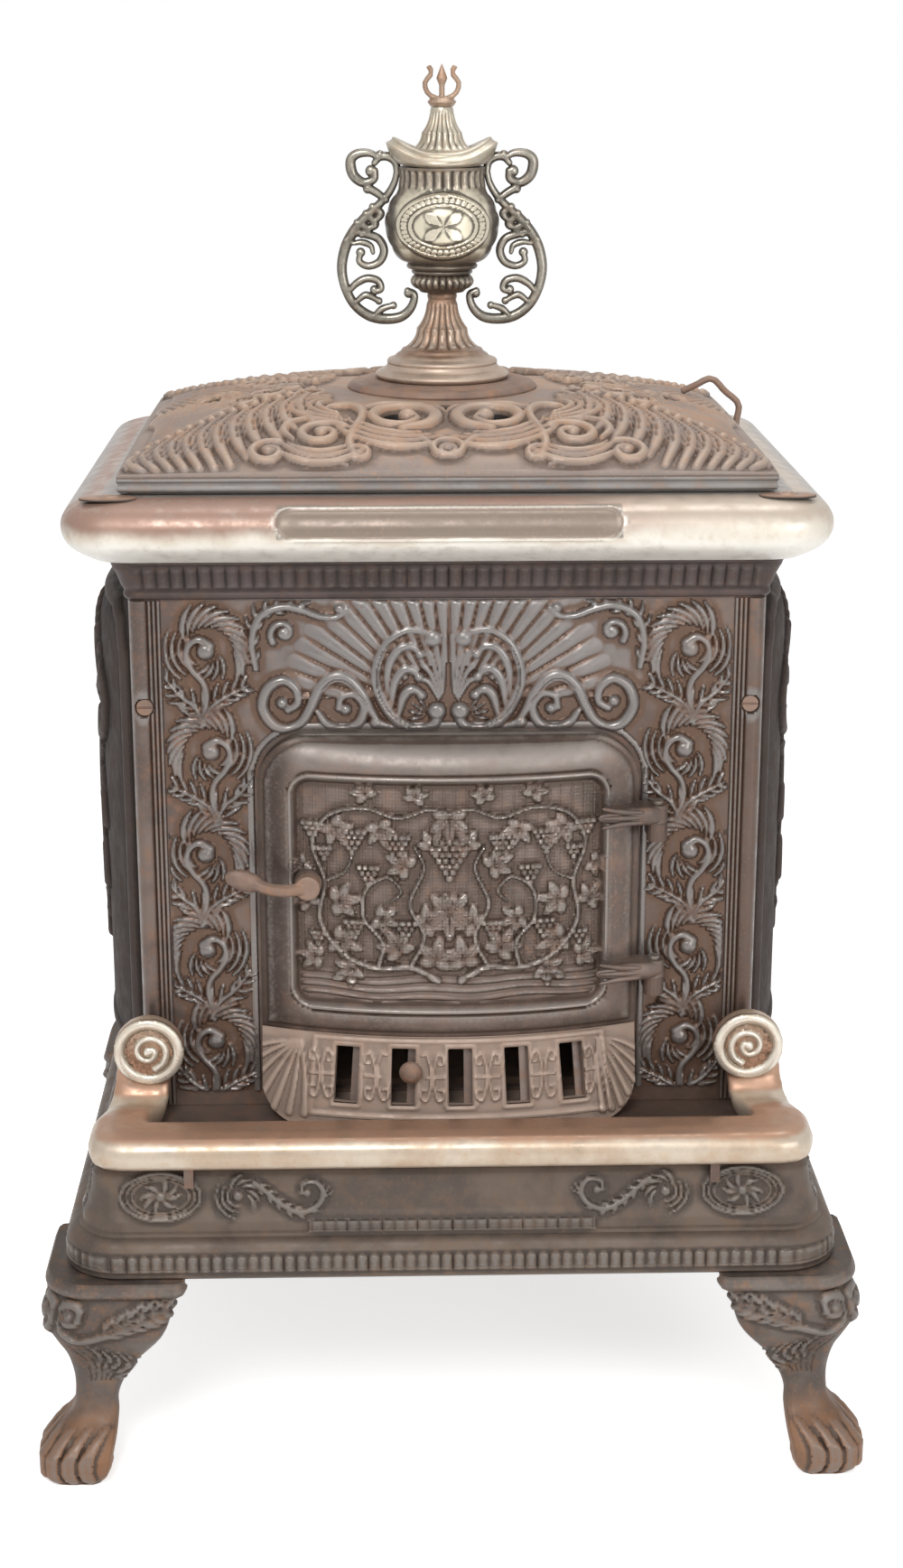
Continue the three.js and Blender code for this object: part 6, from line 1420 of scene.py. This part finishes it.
# ---------------- base casting
BASE_PROFILE = (  # reach as a share of the flare, height as a share of the base's, and bulge
    (0.11, .93, 0.6), (0.29, .62, 0), (0.44, .515, 0), (0.47, .43, 0), (0.56, .415, 0), (0.58, .385, -1.6),
    (0.93, .30, 0), (0.96, .285, 0), (0.96, .25, 0), (0.93, .24, 0), (0.93, .10, 0), (1, .085, 0),
    (1, .03, 0), (0.9, 0, 0),
)
BASE_CORNER_STEPS, BASE_FLUTE, BASE_FLUTE_FOOT, BASE_FLUTE_TOP = 18, 10.3, 6.5, 0.262 * BASE_HEIGHT
TOOTH_BAND, TOOTH_PITCH, TOOTH_HALF_W = (.42 * BASE_HEIGHT, .53 * BASE_HEIGHT), 10.0, 122
SKIRT_MID_Z = 258  # of the ovals and scrolls


def make_base():
    frame_line = Frame(BASE_HALF_W, -BASE_HALF_D, BASE_HALF_D, BASE_CORNER_R)
    rows = frame_line.stations(1.5, 2.6, 10, BASE_CORNER_STEPS)
    z0, height = BASE_FOOT, BASE_HEIGHT
    skirt = [(share * BASE_FLARE, z0 + up * height, bulge) for share, up, bulge in BASE_PROFILE]
    outer = moulding([(-1, z0 + height, 0), (0, z0 + height - 1, 0)] + skirt, 1.5)
    inner = np.array([(-20, z0), (-20, z0 + 6), (19, z0 + 6), (19, z0 + 24), (-4.5, z0 + 46), (-9, z0 + 81),
                      (-18, z0 + 81), (-18, z0 + height)], float)
    mesh = framed_mesh("base_carving", rows, outer, inner, carve_base, reach=4)
    add_piece("base_carving", mesh, BASE_IRON, "stove", ["base_casting"])


def carve_base(stations, profile):
    """Flutes round the foot, and on the front and both sides ovals and scrolls; teeth in front."""
    z, kind, place = profile[:, 1], stations[:, 4], stations[:, 5]
    around = np.where(kind == CORNER, np.arange(len(stations)) % BASE_CORNER_STEPS * 5.6, place)
    wave = flutes(around / BASE_FLUTE)[:, None]
    band = (z - BASE_FOOT - BASE_FLUTE_FOOT) / (BASE_FLUTE_TOP - BASE_FLUTE_FOOT)
    carved = 2.6 * wave * (unit((1 - band) * 5 - 1.4 * (1 - wave)) * unit(band * 6))
    relief = np.zeros(carved.shape)
    for side in (FRONT, RIGHT, LEFT):
        on = kind == side
        field = Relief(np.sort(place[on]), -z[: np.argmax(z < BASE_FOOT + 44)])
        draw_skirt(field)
        values = field.height()
        relief[np.ix_(on, np.arange(len(field.vs)))] = values[::-1] if side == LEFT else values
    low, high = TOOTH_BAND
    in_band = (z > BASE_FOOT + low) & (z < BASE_FOOT + high)
    teeth = (np.abs(place) < TOOTH_HALF_W) & (kind == FRONT)
    tooth = 1.8 * np.sqrt(unit(1 - (2 * ((place / TOOTH_PITCH) % 1) - 1) ** 4)) * teeth
    return carved + (relief + tooth[:, None] * in_band)


def draw_skirt(field):
    """Ovals with a wavy rose at the ends, leaf scrolls between them; drawn with z upside down."""
    around = np.linspace(0, 2 * math.pi, 30)
    vine = [(14, 12), (26, 2), (38, -8), (52, -14), (66, -10), (73, 1), (67, 11), (56, 10), (54, 2)]
    for hand in (-1, 1):
        field.at(hand * 249, -SKIRT_MID_Z, -hand, -1)
        for size, r, h in ((1.0, 1.7, 2.4), (0.86, 1.3, 1.9), (0.72, 1.1, 1.5)):
            field.stroke(np.column_stack([34 * size * np.cos(around), 19.5 * size * np.sin(around)]), r, h)
        for k in range(8):
            u, v = polar(1, 45 * k + 20)
            v *= 0.62
            field.lobe(4 * u, 4 * v, math.degrees(math.atan2(v, u)), 15 - 3 * abs(v), 60, 2.5, 2.4)
        field.ball(0, 0, 4.2, 3)
        field.at(hand * 183, -SKIRT_MID_Z, -hand, -1)
        for k in range(3):
            outer = sweep(9 + 4.8 * k, 8.5 + 4.8 * k, 142 + 6 * k, 272 - 6 * k, 9)
            field.stroke(outer, (1.2, 2.1, 1.2), (2, 3, 2))
        for k in range(5):
            field.stroke(sweep(9, 18, 128 - 32 * k, 84 - 32 * k), (1.4, 2.3, 1.3), (2, 3, 2))
        field.ball(0, 0, 4.4, 3)
        field.stroke(vine, (2.4, 2.6, 2.8, 2.6, 2), (3, 3.4, 3.4, 3, 2.6))
        fingers(field, vine[:5], 6, (10, 8), 48, 40, 1.8, 2.6, -1)
        fingers(field, vine[:4], 5, (10, 9), 52, 40, 1.8, 2.6, 1)
        field.ball(59, 2, 3.4, 3)
        for k in range(3):
            field.lobe(70, -2, 10 + 26 * k, 12, 30, 1.7, 2.4)


# ---------------- legs
LEG_STATIONS = np.array([  # share of height; reach, wing, thickness and web in mm
    (0, 45.9, 46.4, 24, 40.9), (0.053, 51.8, 59.5, 30, 52.8), (0.126, 54, 64.3, 32, 56.1),
    (0.21, 43.7, 57.1, 28.2, 50.2), (0.295, 27, 41.7, 22, 37), (0.379, 23.2, 38.1, 19.8, 34.3),
    (0.474, 23.8, 46.4, 22, 40.3), (0.579, 29.2, 64.3, 24, 50.2), (0.663, 37.8, 85.7, 24, 58.1),
    (0.742, 44.8, 103.5, 24, 62), (0.83, 44.8, 109.5, 24, 64), (0.916, 40, 109.5, 24, 64),
    (0.937, 43.2, 119, 26, 66), (1, 42.1, 119, 26, 66),
])
LEG_COLUMNS, LEG_CELL = 132, 1.3
LEG_LIMIT_X, LEG_LIMIT_Y = 359.9, 325.9  # half sizes that the feet keep within


def leg_outline(wing, thick, web):
    """Plan of a leg at one height from its outer corner: two wings and the web between them.
    Gives its points and how far round the outline each is from the corner's middle."""
    r = wing * 0.34
    corner = [(r - r * math.cos(a), r - r * math.sin(a)) for a in np.linspace(math.pi / 2, 0, 9)]
    front = [(wing, thick * 0.5), (wing - 2, thick * 0.12), (wing - thick * 0.3, 0)]
    side = [(0, wing - thick * 0.3), (thick * 0.12, wing - 2), (thick * 0.5, wing), (thick * 0.9, wing - 2)]
    back = [(thick, wing - 5), (web * 0.86, web * 0.9), (web * 0.9, web * 0.86), (wing - 5, thick),
            (wing - 2, thick * 0.9)]
    loop = resampled(np.array(front + corner + side + back + [front[0]]), 0.5)
    run = np.concatenate([[0], np.cumsum(np.linalg.norm(np.diff(loop, axis=0), axis=1))])
    middle = run[np.argmin(np.hypot(*(loop - loop.min(axis=0)).T) + (loop.sum(axis=1) > wing) * 99)]
    at = np.linspace(0, run[-1], LEG_COLUMNS, endpoint=False)
    return np.column_stack([np.interp(at, run, column) for column in loop.T]), at - middle


def carve_leg():
    """Knee leaf, scroll and hair lines, over distance from the corner and height."""
    relief = Relief(np.arange(0, 130, LEG_CELL), np.arange(0, LEG_HEIGHT + 1, LEG_CELL))
    relief.scroll(14, 160, 11, 4, 150, -1.1, (4, 3), (4.6, 4.4), eye=5.5)
    stem = [(4, 168), (6, 148), (20, 138), (44, 142), (70, 152), (96, 160)]
    relief.stroke(stem, (2.4, 4, 3.6, 2.6, 1.6), (3, 4.4, 4, 3))
    relief.frond([(40, 144), (58, 152), (78, 160), (98, 166)], 20, 6)
    for k in range(6):
        hair = [(26 + k * 7, 132 - k * 3), (30 + k * 6, 120 - k * 5), (22 + k * 3, 104 - k * 3)]
        relief.stroke(hair, (1.2, 2.4, 1), (2, 3, 1.6))
    for k in range(5):
        relief.groove([(8 + k * 8, 128 - k), (14 + k * 6, 112 - k * 2), (12 + k * 4, 88)], 1.0, 1.1)
    for toe in (6, 21, 36):
        relief.stroke([(toe, 44), (toe, 26), (toe, 8)], (4, 7, 6.5), (1.5, 4, 3.4))
    for gap in (13.5, 28.5):
        relief.groove([(gap, 34), (gap, 18), (gap, 2)], 1.4, 2.2)
    strip = unit(1 - np.abs(relief.V - 181) / 6.5)
    np.maximum(relief.up, 2.4 * np.sqrt(strip), out=relief.up)
    return relief


def leg_mesh(name, relief):
    """Front left leg: outlines drawn from LEG_STATIONS up its height, carved where they face outwards."""
    heights = np.linspace(0, 1, 112)
    knots = LEG_STATIONS[:, 0]
    values = []
    for column in LEG_STATIONS.T[1:]:
        smooth = curve_through(np.column_stack([knots * 100, column]), 0.5)
        values.append(np.interp(heights * 100, smooth[:, 0], smooth[:, 1]))
    carved = relief.height()
    proud = carved - blurred(carved, 4)
    grid, worn = [], []
    for share, reach, wing, thick, web in zip(heights, *values):
        points, along = leg_outline(wing, thick, web)
        z = share * LEG_HEIGHT
        reach = min(reach, 53.6)
        onward = np.roll(points, -1, axis=0) - np.roll(points, 1, axis=0)
        normal = np.column_stack([onward[:, 1], -onward[:, 0]]) / np.linalg.norm(onward, axis=1)[:, None]
        if ((points - points.mean(axis=0)) * normal).sum() < 0:
            normal = -normal
        row = int(np.interp(z, relief.vs, np.arange(len(relief.vs))))
        i = np.clip(np.abs(along) / LEG_CELL, 0, len(relief.us) - 1).astype(int)
        outer = np.abs(along) < wing
        room = min(1, max(0, LEG_LIMIT_X - BASE_HALF_W - reach) / 3 + 0.25)
        points = points + normal * (np.where(outer, carved[i, row], 0) * room)[:, None]
        x = np.maximum(-BASE_HALF_W - reach + points[:, 0], -LEG_LIMIT_X)
        y = np.maximum(-BASE_HALF_D + 8 - reach + points[:, 1], -LEG_LIMIT_Y)
        grid.append(np.stack([x, y, np.full(len(x), z)], -1))
        worn.append(np.where(outer, proud[i, row] / 1.4, 0))
    return loop_mesh(name, np.array(grid), np.clip(np.array(worn), -1, 1), 50, open_first=True)


def make_legs():
    leg = leg_mesh("leg_carving", carve_leg())
    for end, sy in (("front", 1), ("rear", -1)):
        for side, hand in SIDES:
            mesh = flipped_mesh(leg, f"leg_carving_{end}_{side}", -hand, sy)
            add_piece(mesh.name, mesh, LEG_IRON, "stove", [f"leg_{end}_{side}"])


# ---------------- foot rail
VOLUTE_X, VOLUTE_Y, VOLUTE_Z, VOLUTE_R = 264, -192, 352, 30.6


def make_rail():
    """Foot rail, with discs that bear a spiral on the ends of its side arms."""
    add_softened("rail_casting", "foot_rail", 2.0, 14, RAIL_NICKEL, "stove")
    edge = lambda u, v: VOLUTE_R - np.hypot(u, v)
    for side, hand in SIDES:
        relief = Relief(np.arange(-31, 31.1, 0.9), np.arange(-31, 31.1, 0.9))
        relief.up = np.maximum(relief.up, 3.2 * round_top((np.hypot(relief.U, relief.V) - 26) / 4.6))
        relief.scroll(0, 0, 17, 4, 250, -1.3, (3, 2.6), (2.8, 3), eye=5)
        surface = lambda u, v, h, hand=hand: (hand * VOLUTE_X + hand * u, VOLUTE_Y - h, VOLUTE_Z + v)
        add_sheet(f"volute_{side}", relief, surface, -SUNK, edge, NICKEL)


# ---------------- finial
def make_finial_foot():
    foot = 908.7
    profile = raised_profile(foot, [
        (50, 0, 0), (58, 0, 0), (59.2, 1, 1.6), (58.6, 6, 0), (55, 8, -1), (50, 12, 0), (49.4, 13, 0.8),
        (48.8, 17, 0), (43, 19, 0.6), (38, 23, 0), (36, 26, -4), (22, 44, -2), (13.4, 66, 0), (12.6, 70, 0.8),
        (12.6, 76.3, 0)])

    def swell(a, z, r):
        stem = unit((z - foot - 27) / 3) * unit((foot + 68 - z) / 3)
        return stem * 0.085 * r * (np.abs(np.sin(a * 9)) - 0.4)

    add_turned("finial_stem", profile, 216, STEM_METAL, "swing_top", ["finial_foot"], swell=swell)


URN_FOOT, URN_LIMIT_R = 985.3, 53.0
MEDALLION_Z, MEDALLION_HALF_W, MEDALLION_HALF_H = 1046, 48, 29


def medallion(u, v):
    """Height of the medallion and the distance inside it: rim, ring of beads, bead and four leaves."""
    inside = 30 * (1 - np.hypot(u / MEDALLION_HALF_W, v / MEDALLION_HALF_H))
    around = np.arctan2(v / MEDALLION_HALF_H, u / MEDALLION_HALF_W)
    rings = 1.8 * round_top((inside - 2.0) / 2.0)
    rings = rings + 1.9 * round_top((inside - 6.6) / 2.4) * np.abs(np.sin(around * 20)) ** 0.6
    rings = rings + 1.4 * round_top((inside - 11) / 1.2) + 1.2 * unit((inside - 12) / 6)
    leaves = np.zeros(u.shape)
    for heading in (35, 145, 215, 325):
        du, dv = polar(1, heading)
        share = unit((u * du + v * dv - 1.5) / 18)
        half_w = 0.4 + 4.0 * np.sin(math.pi * share**1.5)
        leaf = 2.0 * round_top((v * du - u * dv) / half_w) * np.sin(math.pi * share) ** 0.4
        leaves = np.maximum(leaves, leaf)
    return 3.0 * unit(inside / 3.0) + rings + leaves, inside


def urn_swell(a, z, r):
    """Lobes on the ring, flutes at the neck, and the medallion in front and behind."""
    lobes = unit(1 - np.abs(z - 995) / 6.5) ** 0.5 * 2.6 * (np.abs(np.sin(a * 13)) - 0.5)
    neck = unit((z - 1076) / 3) * unit((1093 - z) / 2) * 2.0 * (np.abs(np.sin(a * 14)) - 0.6)
    carved = np.where(r > 6, lobes + neck, 0)
    for facing in (-math.pi / 2, math.pi / 2):
        turn = (a - facing + math.pi) % (2 * math.pi) - math.pi
        plate, inside = medallion(turn * 52, z - MEDALLION_Z)
        carved = np.where(inside > 0, plate, carved)
    return carved


def make_urn():
    profile = raised_profile(URN_FOOT, [
        (16, 0, 0), (19.5, 0, 0), (22, 2.5, 0), (24, 3.5, 3.4), (24, 15.5, 0), (26, 16, 1.2), (26.5, 20, 0),
        (30, 20.6, 1.6), (30.5, 25.4, 0), (31, 26, 3), (45, 40, 1.4), (50.4, 56, 1.6), (48.6, 71, 1.6),
        (41, 86, -0.6), (37.6, 97, -0.4), (37.6, 106, 0.4), (38.6, 109.7, 0)], 1.3)
    mesh = turned_mesh("urn_carving", profile, 300, urn_swell)
    for vertex in mesh.vertices:
        x, y = vertex.co.x / MM, vertex.co.y / MM - BODY_MID_Y
        fit = min(1, URN_LIMIT_R / math.hypot(x, y))
        vertex.co.x, vertex.co.y = x * fit * MM, (BODY_MID_Y + y * fit) * MM
    add_piece("urn_carving", mesh, URN_METAL, "swing_top", ["urn_body"])


def make_urn_lid():
    """Lid with a fluted cone; its brim is drawn up and out at both sides."""
    foot = 1095.3
    profile = raised_profile(foot, [
        (34, 0, 0), (38, 0, 0), (41, 1.4, 0.5), (41.8, 4, 0.6), (39.5, 6.4, 0), (37, 8.4, 0.8),
        (34.5, 12.4, 0), (33, 13, -4.6), (17, 29, -1.4), (10.2, 46, 0.4), (9.4, 50.7, 0)])

    def swell(a, z, r):
        cone = unit((z - foot - 14) / 3) * unit((foot + 48 - z) / 4)
        return cone * 0.09 * r * (np.abs(np.sin(a * 10)) - 0.4)

    mesh = turned_mesh("urn_cover", profile, 240, swell)
    for vertex in mesh.vertices:
        x, y, height = vertex.co.x / MM, vertex.co.y / MM - BODY_MID_Y, vertex.co.z / MM - foot
        r = math.hypot(x, y)
        if r > 25 and height < 14:
            share = (abs(x) / r) ** 3 * min(1, (r - 25) / 12) * (0.15 + 0.85 * min(1, max(height, 0) / 5))
            vertex.co.z += 15 * share * MM
            vertex.co.x *= 1 + 0.2 * share
    add_piece("urn_cover", mesh, LID_METAL, "swing_top", ["urn_lid"])


HANDLE_STROKES = (  # points in x and z at the right side, then half widths
    (((40, 1088), (41, 1098), (47, 1106), (55, 1106), (60, 1098)), (2.2, 2.8, 3.2, 3, 2.2)),
    (((56, 1104), (64, 1111), (75, 1110), (81, 1101), (79, 1088), (70, 1081), (61, 1084), (60, 1091)),
     (2, 2.8, 3.4, 3.8, 3.6, 3.2, 2.8)),
    (((40, 1092), (42, 1082), (48, 1071), (58, 1060), (70, 1049), (80, 1037), (87, 1023), (90, 1006),
      (87, 989), (79, 974), (66, 964), (51, 961), (37, 963), (28, 971), (25, 982), (31, 986)),
     (2.2, 2.6, 3, 3.6, 3.8, 3.8, 3.6, 3.4, 3.4, 3.6, 3.8, 3.6, 3, 2.4)),
    (((50, 1066), (58, 1072), (65, 1076)), (2.6, 3.2)),
    (((62, 1060), (55, 1054), (60, 1047)), (2.6, 3.2, 2)),
    (((68, 1054), (60, 1045), (68, 1040)), (2.6, 3.4, 2)),
    (((76, 1046), (66, 1040), (72, 1035)), (2.6, 3.4, 2)),
    (((86, 1031), (78, 1037), (68, 1036), (57, 1032), (52, 1022), (56, 1012), (66, 1008), (74, 1012),
      (73, 1020)),
     (2.2, 3, 3, 3, 2.6, 2.2)),
    (((80, 1028), (72, 1029), (64, 1026), (62, 1020)), (1.6, 2.4, 1.6)),
    (((85, 984), (78, 992), (68, 997), (58, 995), (55, 988), (61, 985)), (2, 2.8, 2.8, 2.2)),
    (((79, 975), (70, 982), (64, 981), (57, 977)), (1.8, 2.6, 2)),
    (((62, 963), (54, 970), (45, 973)), (1.8, 2.6, 2)),
)
HANDLE_FULLNESS = 1.25  # of the strokes, against the half widths above
HANDLE_CURL_Z, HANDLE_SETTLE = 1098, 0.35  # over that height the strokes are this share lower than they say
HANDLE_BALLS = (  # x, z and radius
    (55, 1105, 4), (63, 1091, 5.2), (66, 1076, 4.6), (73, 1020, 4.2), (61, 987, 4), (57, 977, 3.4),
    (44, 973, 3.4), (30, 984, 4.4),
)
HANDLE_CELL, HANDLE_HALF_T = 0.8, 3.8


def make_handles():
    """Openwork scroll handles, the same on both faces."""
    relief = Relief(np.arange(16, 96.1, HANDLE_CELL), np.arange(953, 1116.1, HANDLE_CELL))
    for points, widths in HANDLE_STROKES:
        full = [HANDLE_FULLNESS * w for w in widths]
        settled = [(x, z - HANDLE_SETTLE * max(z - HANDLE_CURL_Z, 0)) for x, z in points]
        relief.stroke(settled, full, HANDLE_HALF_T)
    for x, z, r in HANDLE_BALLS:
        relief.ball(x, z, r, HANDLE_HALF_T)

    def edge(u, v):
        """Distance inside the strokes, read between the relief's points."""
        f = relief.reach
        i = np.clip((u - relief.us[0]) / HANDLE_CELL, 0, f.shape[0] - 1.001)
        j = np.clip((v - relief.vs[0]) / HANDLE_CELL, 0, f.shape[1] - 1.001)
        i0, j0 = i.astype(int), j.astype(int)
        fi, fj = i - i0, j - j0
        return ((f[i0, j0] * (1 - fi) + f[i0 + 1, j0] * fi) * (1 - fj)
                + (f[i0, j0 + 1] * (1 - fi) + f[i0 + 1, j0 + 1] * fi) * fj)

    relief.up = np.maximum(relief.up, 0.9)
    surface = lambda u, v, h: (u, BODY_MID_Y - h, v)
    back = lambda r: -r.height()
    right = sheet_mesh("handle_scroll_right", relief, surface, back, edge, simplify=0, sharp=60)
    for mesh, side in ((right, "right"), (flipped_mesh(right, "handle_scroll_left", -1), "left")):
        add_piece(mesh.name, mesh, HANDLE_METAL, "swing_top", [f"urn_handle_{side}"])
    add_softened("crown_scrolls", "urn_crown", 0.6, 6, STEM_METAL, "swing_top")


# ---------------- sides
SIDE_RIDGES = (  # main ridges of a side panel, in shares of its half depth and of its height
    ((0.09, 0.684), (0.27, 0.654), (0.47, 0.684), (0.545, 0.744), (0.46, 0.79), (0.36, 0.765)),
    ((0.04, 0.655), (0.17, 0.545), (0.13, 0.416), (0.04, 0.3), (0.03, 0.2)),
    ((0.15, 0.5), (0.3, 0.53), (0.38, 0.48)),
    ((0.12, 0.4), (0.27, 0.41), (0.34, 0.35)),
)
SIDE_BORDER = (
    (-0.02, 0.955), (0.25, 0.955), (0.5, 0.955), (0.7, 0.955), (0.83, 0.93), (0.88, 0.87),
    (0.88, 0.13), (0.83, 0.08), (0.7, 0.06), (0.5, 0.06), (0.25, 0.06), (-0.02, 0.06),
)
BODY_RISE = BODY_TOP - BODY_BOTTOM
SHELL_MID, SHELL_RAYS = 0.72 * BODY_RISE, (15, 48.6)  # the shell's foot above the body's; degrees


def carve_side(relief):
    """One half of a side panel: border, shell, scroll and hanging stem with its leaves."""
    def on_panel(points):
        return [(a * SIDE_HALF_D, b * BODY_RISE) for a, b in points]

    def ray(degrees, *radii):
        return [(u, SHELL_MID + v) for u, v in (polar(r, degrees) for r in radii)]

    border = on_panel(SIDE_BORDER)
    for ends in zip(border, border[1:]):
        relief.stroke(ends, 6, 5.4)
    for ridge in SIDE_RIDGES:
        relief.stroke(on_panel(ridge), (7, 7.4, 7), 6)
    for angle in SHELL_RAYS:
        relief.stroke(ray(angle, 24, 58, 92), (6, 7.4), 6)
    for k in range(9):
        relief.stroke(ray(6 + 10.5 * k, 30, 90), (2.6, 6.2), (3.4, 4.8))
    relief.lobe(60, 316, 60, 34, -60, 5, 5)
    for k in range(5):
        z = 262 - 34 * k
        relief.lobe(24 - 3 * k, z, 62, 52 - 4 * k, -50, 5, 5)
        relief.lobe(20 - 3 * k, z, 10, 46 - 4 * k, -46, 5, 4.6)


def make_sides():
    """Swelling side panels with a shell at the top and a raised border."""
    for side, hand in SIDES[::-1]:
        relief = Relief(np.arange(-129.7, 237.8, 2.2), np.arange(BODY_BOTTOM + 0.3, BODY_TOP, 2.2))
        relief.ground += PROUD
        for way in (-1, 1):
            relief.at(BODY_MID_Y, BODY_BOTTOM, way)
            carve_side(relief)
        relief.ball(0, SHELL_MID, 15, 8)
        surface = lambda u, v, h, hand=hand: (hand * (BODY_HALF_W - 8 + side_swell(u, v) + h), u, v)
        add_sheet(f"side_carving_{side}", relief, surface, -SUNK, None, SHADED_SIDE_IRON, reach=7, full=2.4)


def assign_finishes():
    """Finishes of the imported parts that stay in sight, by node or else by material slot."""
    by_slot = {slot: material for material, slot in (IRON, RUSTY, TAN, NICKEL, STEEL)}
    by_node = {"feed_door": DOOR_IRON, "draft_panel": DRAFT_TAN, "base_casting": BASE_IRON,
               "top_plate": SOOT_AND_SHADE, "cooking_lid_left": SOOT_AND_SHADE, "cooking_lid_right": SOOT_AND_SHADE}
    for name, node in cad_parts.items():
        slot = node.data.materials[0].name if node.data.materials else ""
        chosen = next((material for key, material in by_slot.items() if key in slot), IRON[0])
        if name in by_node:
            chosen = by_node[name][0]
        for k in range(len(node.data.materials)):
            node.material_slots[k].link = "OBJECT"
            node.material_slots[k].material = chosen


# ---------------- stage
FLOOR_GLOW = 0.64  # added to the lit floor where it is seen
FLOOR_R, FLOOR_SIDES = 7, 24  # metres, and a count
WHITE = (1.0, 1.0, 1.0)
SOFT_LIGHT, SEEN_LIGHT = 0.36, 1.0  # the world's strength as light and as background


def make_floor():
    """Pale floor that the lens sees as white, with the stove's shadow on it."""
    f = Finish("floor")
    grain = f.noise(3, 2)
    tint = f.mix(grain, (.90, .90, .90), (.93, .93, .93))
    matt = f.surface(tint, 0.9, 0.0, f.bump(grain, 0.1, 0.2))
    glow = f.node("ShaderNodeEmission", 0, {"Color": (FLOOR_GLOW,) * 3, "Strength": f.seen_directly()})
    mesh = bpy.data.meshes.new("floor")
    ring = [(*polar(FLOOR_R, 360 * k / FLOOR_SIDES), 0) for k in range(FLOOR_SIDES)]
    mesh.from_pydata(ring, [], [list(range(FLOOR_SIDES))])
    mesh.materials.append(f.done(f.node("ShaderNodeAddShader", 0, {0: matt, 1: glow})))
    add_object("floor", mesh)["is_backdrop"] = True


def make_world():
    world = bpy.data.worlds.new("studio")
    bpy.context.scene.world = world
    world.use_nodes = True
    w = Nodes(world.node_tree)
    soft, white = (w.node("ShaderNodeBackground", 0, {"Color": WHITE, "Strength": strength})
                   for strength in (SOFT_LIGHT, SEEN_LIGHT))
    mixed = w.node("ShaderNodeMixShader", 0, {0: w.seen_directly(), 1: soft, 2: white})
    w.node("ShaderNodeOutputWorld", inputs={"Surface": mixed})


def add_lamp(name, place, aim, size, watts):
    data = bpy.data.lights.new(name, "AREA")
    data.shape = "DISK"
    data.size = size
    data.energy = watts
    lamp = add_object(name, data)
    lamp.location = place
    dx, dy, dz = (a - p for a, p in zip(aim, place))
    lamp.rotation_euler = (math.atan2(math.hypot(dx, dy), -dz), 0, math.atan2(dx, -dy) + math.pi)


def make_camera():
    data = bpy.data.cameras.new("camera")
    data.lens = 58.06
    data.sensor_width = 36
    data.clip_end = 50
    camera = add_object("camera", data)
    camera.location = (-0.054, -2.256, 1.215)
    camera.rotation_euler = (math.radians(73.3), 0, math.radians(-1.55))
    bpy.context.scene.camera = camera


make_camera()
make_world()
for name, place, aim, size, watts in (
    ("key", (-0.6, -2.7, 2.9), (0, 0, 0.6), 1.4, 68),
    ("fill", (1.5, -2.6, 1.3), (0, 0, 0.6), 1.6, 24),
    ("top", (0.3, 0.6, 3.4), (0, 0, 0.8), 1.6, 26),
):
    add_lamp(name, place, aim, size, watts)
for make in (
    make_floor, assign_finishes, make_front, make_door_surround, make_pilasters, make_door, make_straps,
    make_draft, make_grips, make_dome, make_dome_lip, make_dome_collar, make_cornice, make_rim,
    make_rest_lug, make_rim_pads, make_base, make_legs, make_rail, make_finial_foot, make_urn, make_urn_lid,
    make_handles, make_sides,
):
    make()

bpy.context.scene.view_settings.view_transform = "Standard"
[[list(map(float, corner)) for corner in bounds] for bounds in (cad_bounds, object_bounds())]
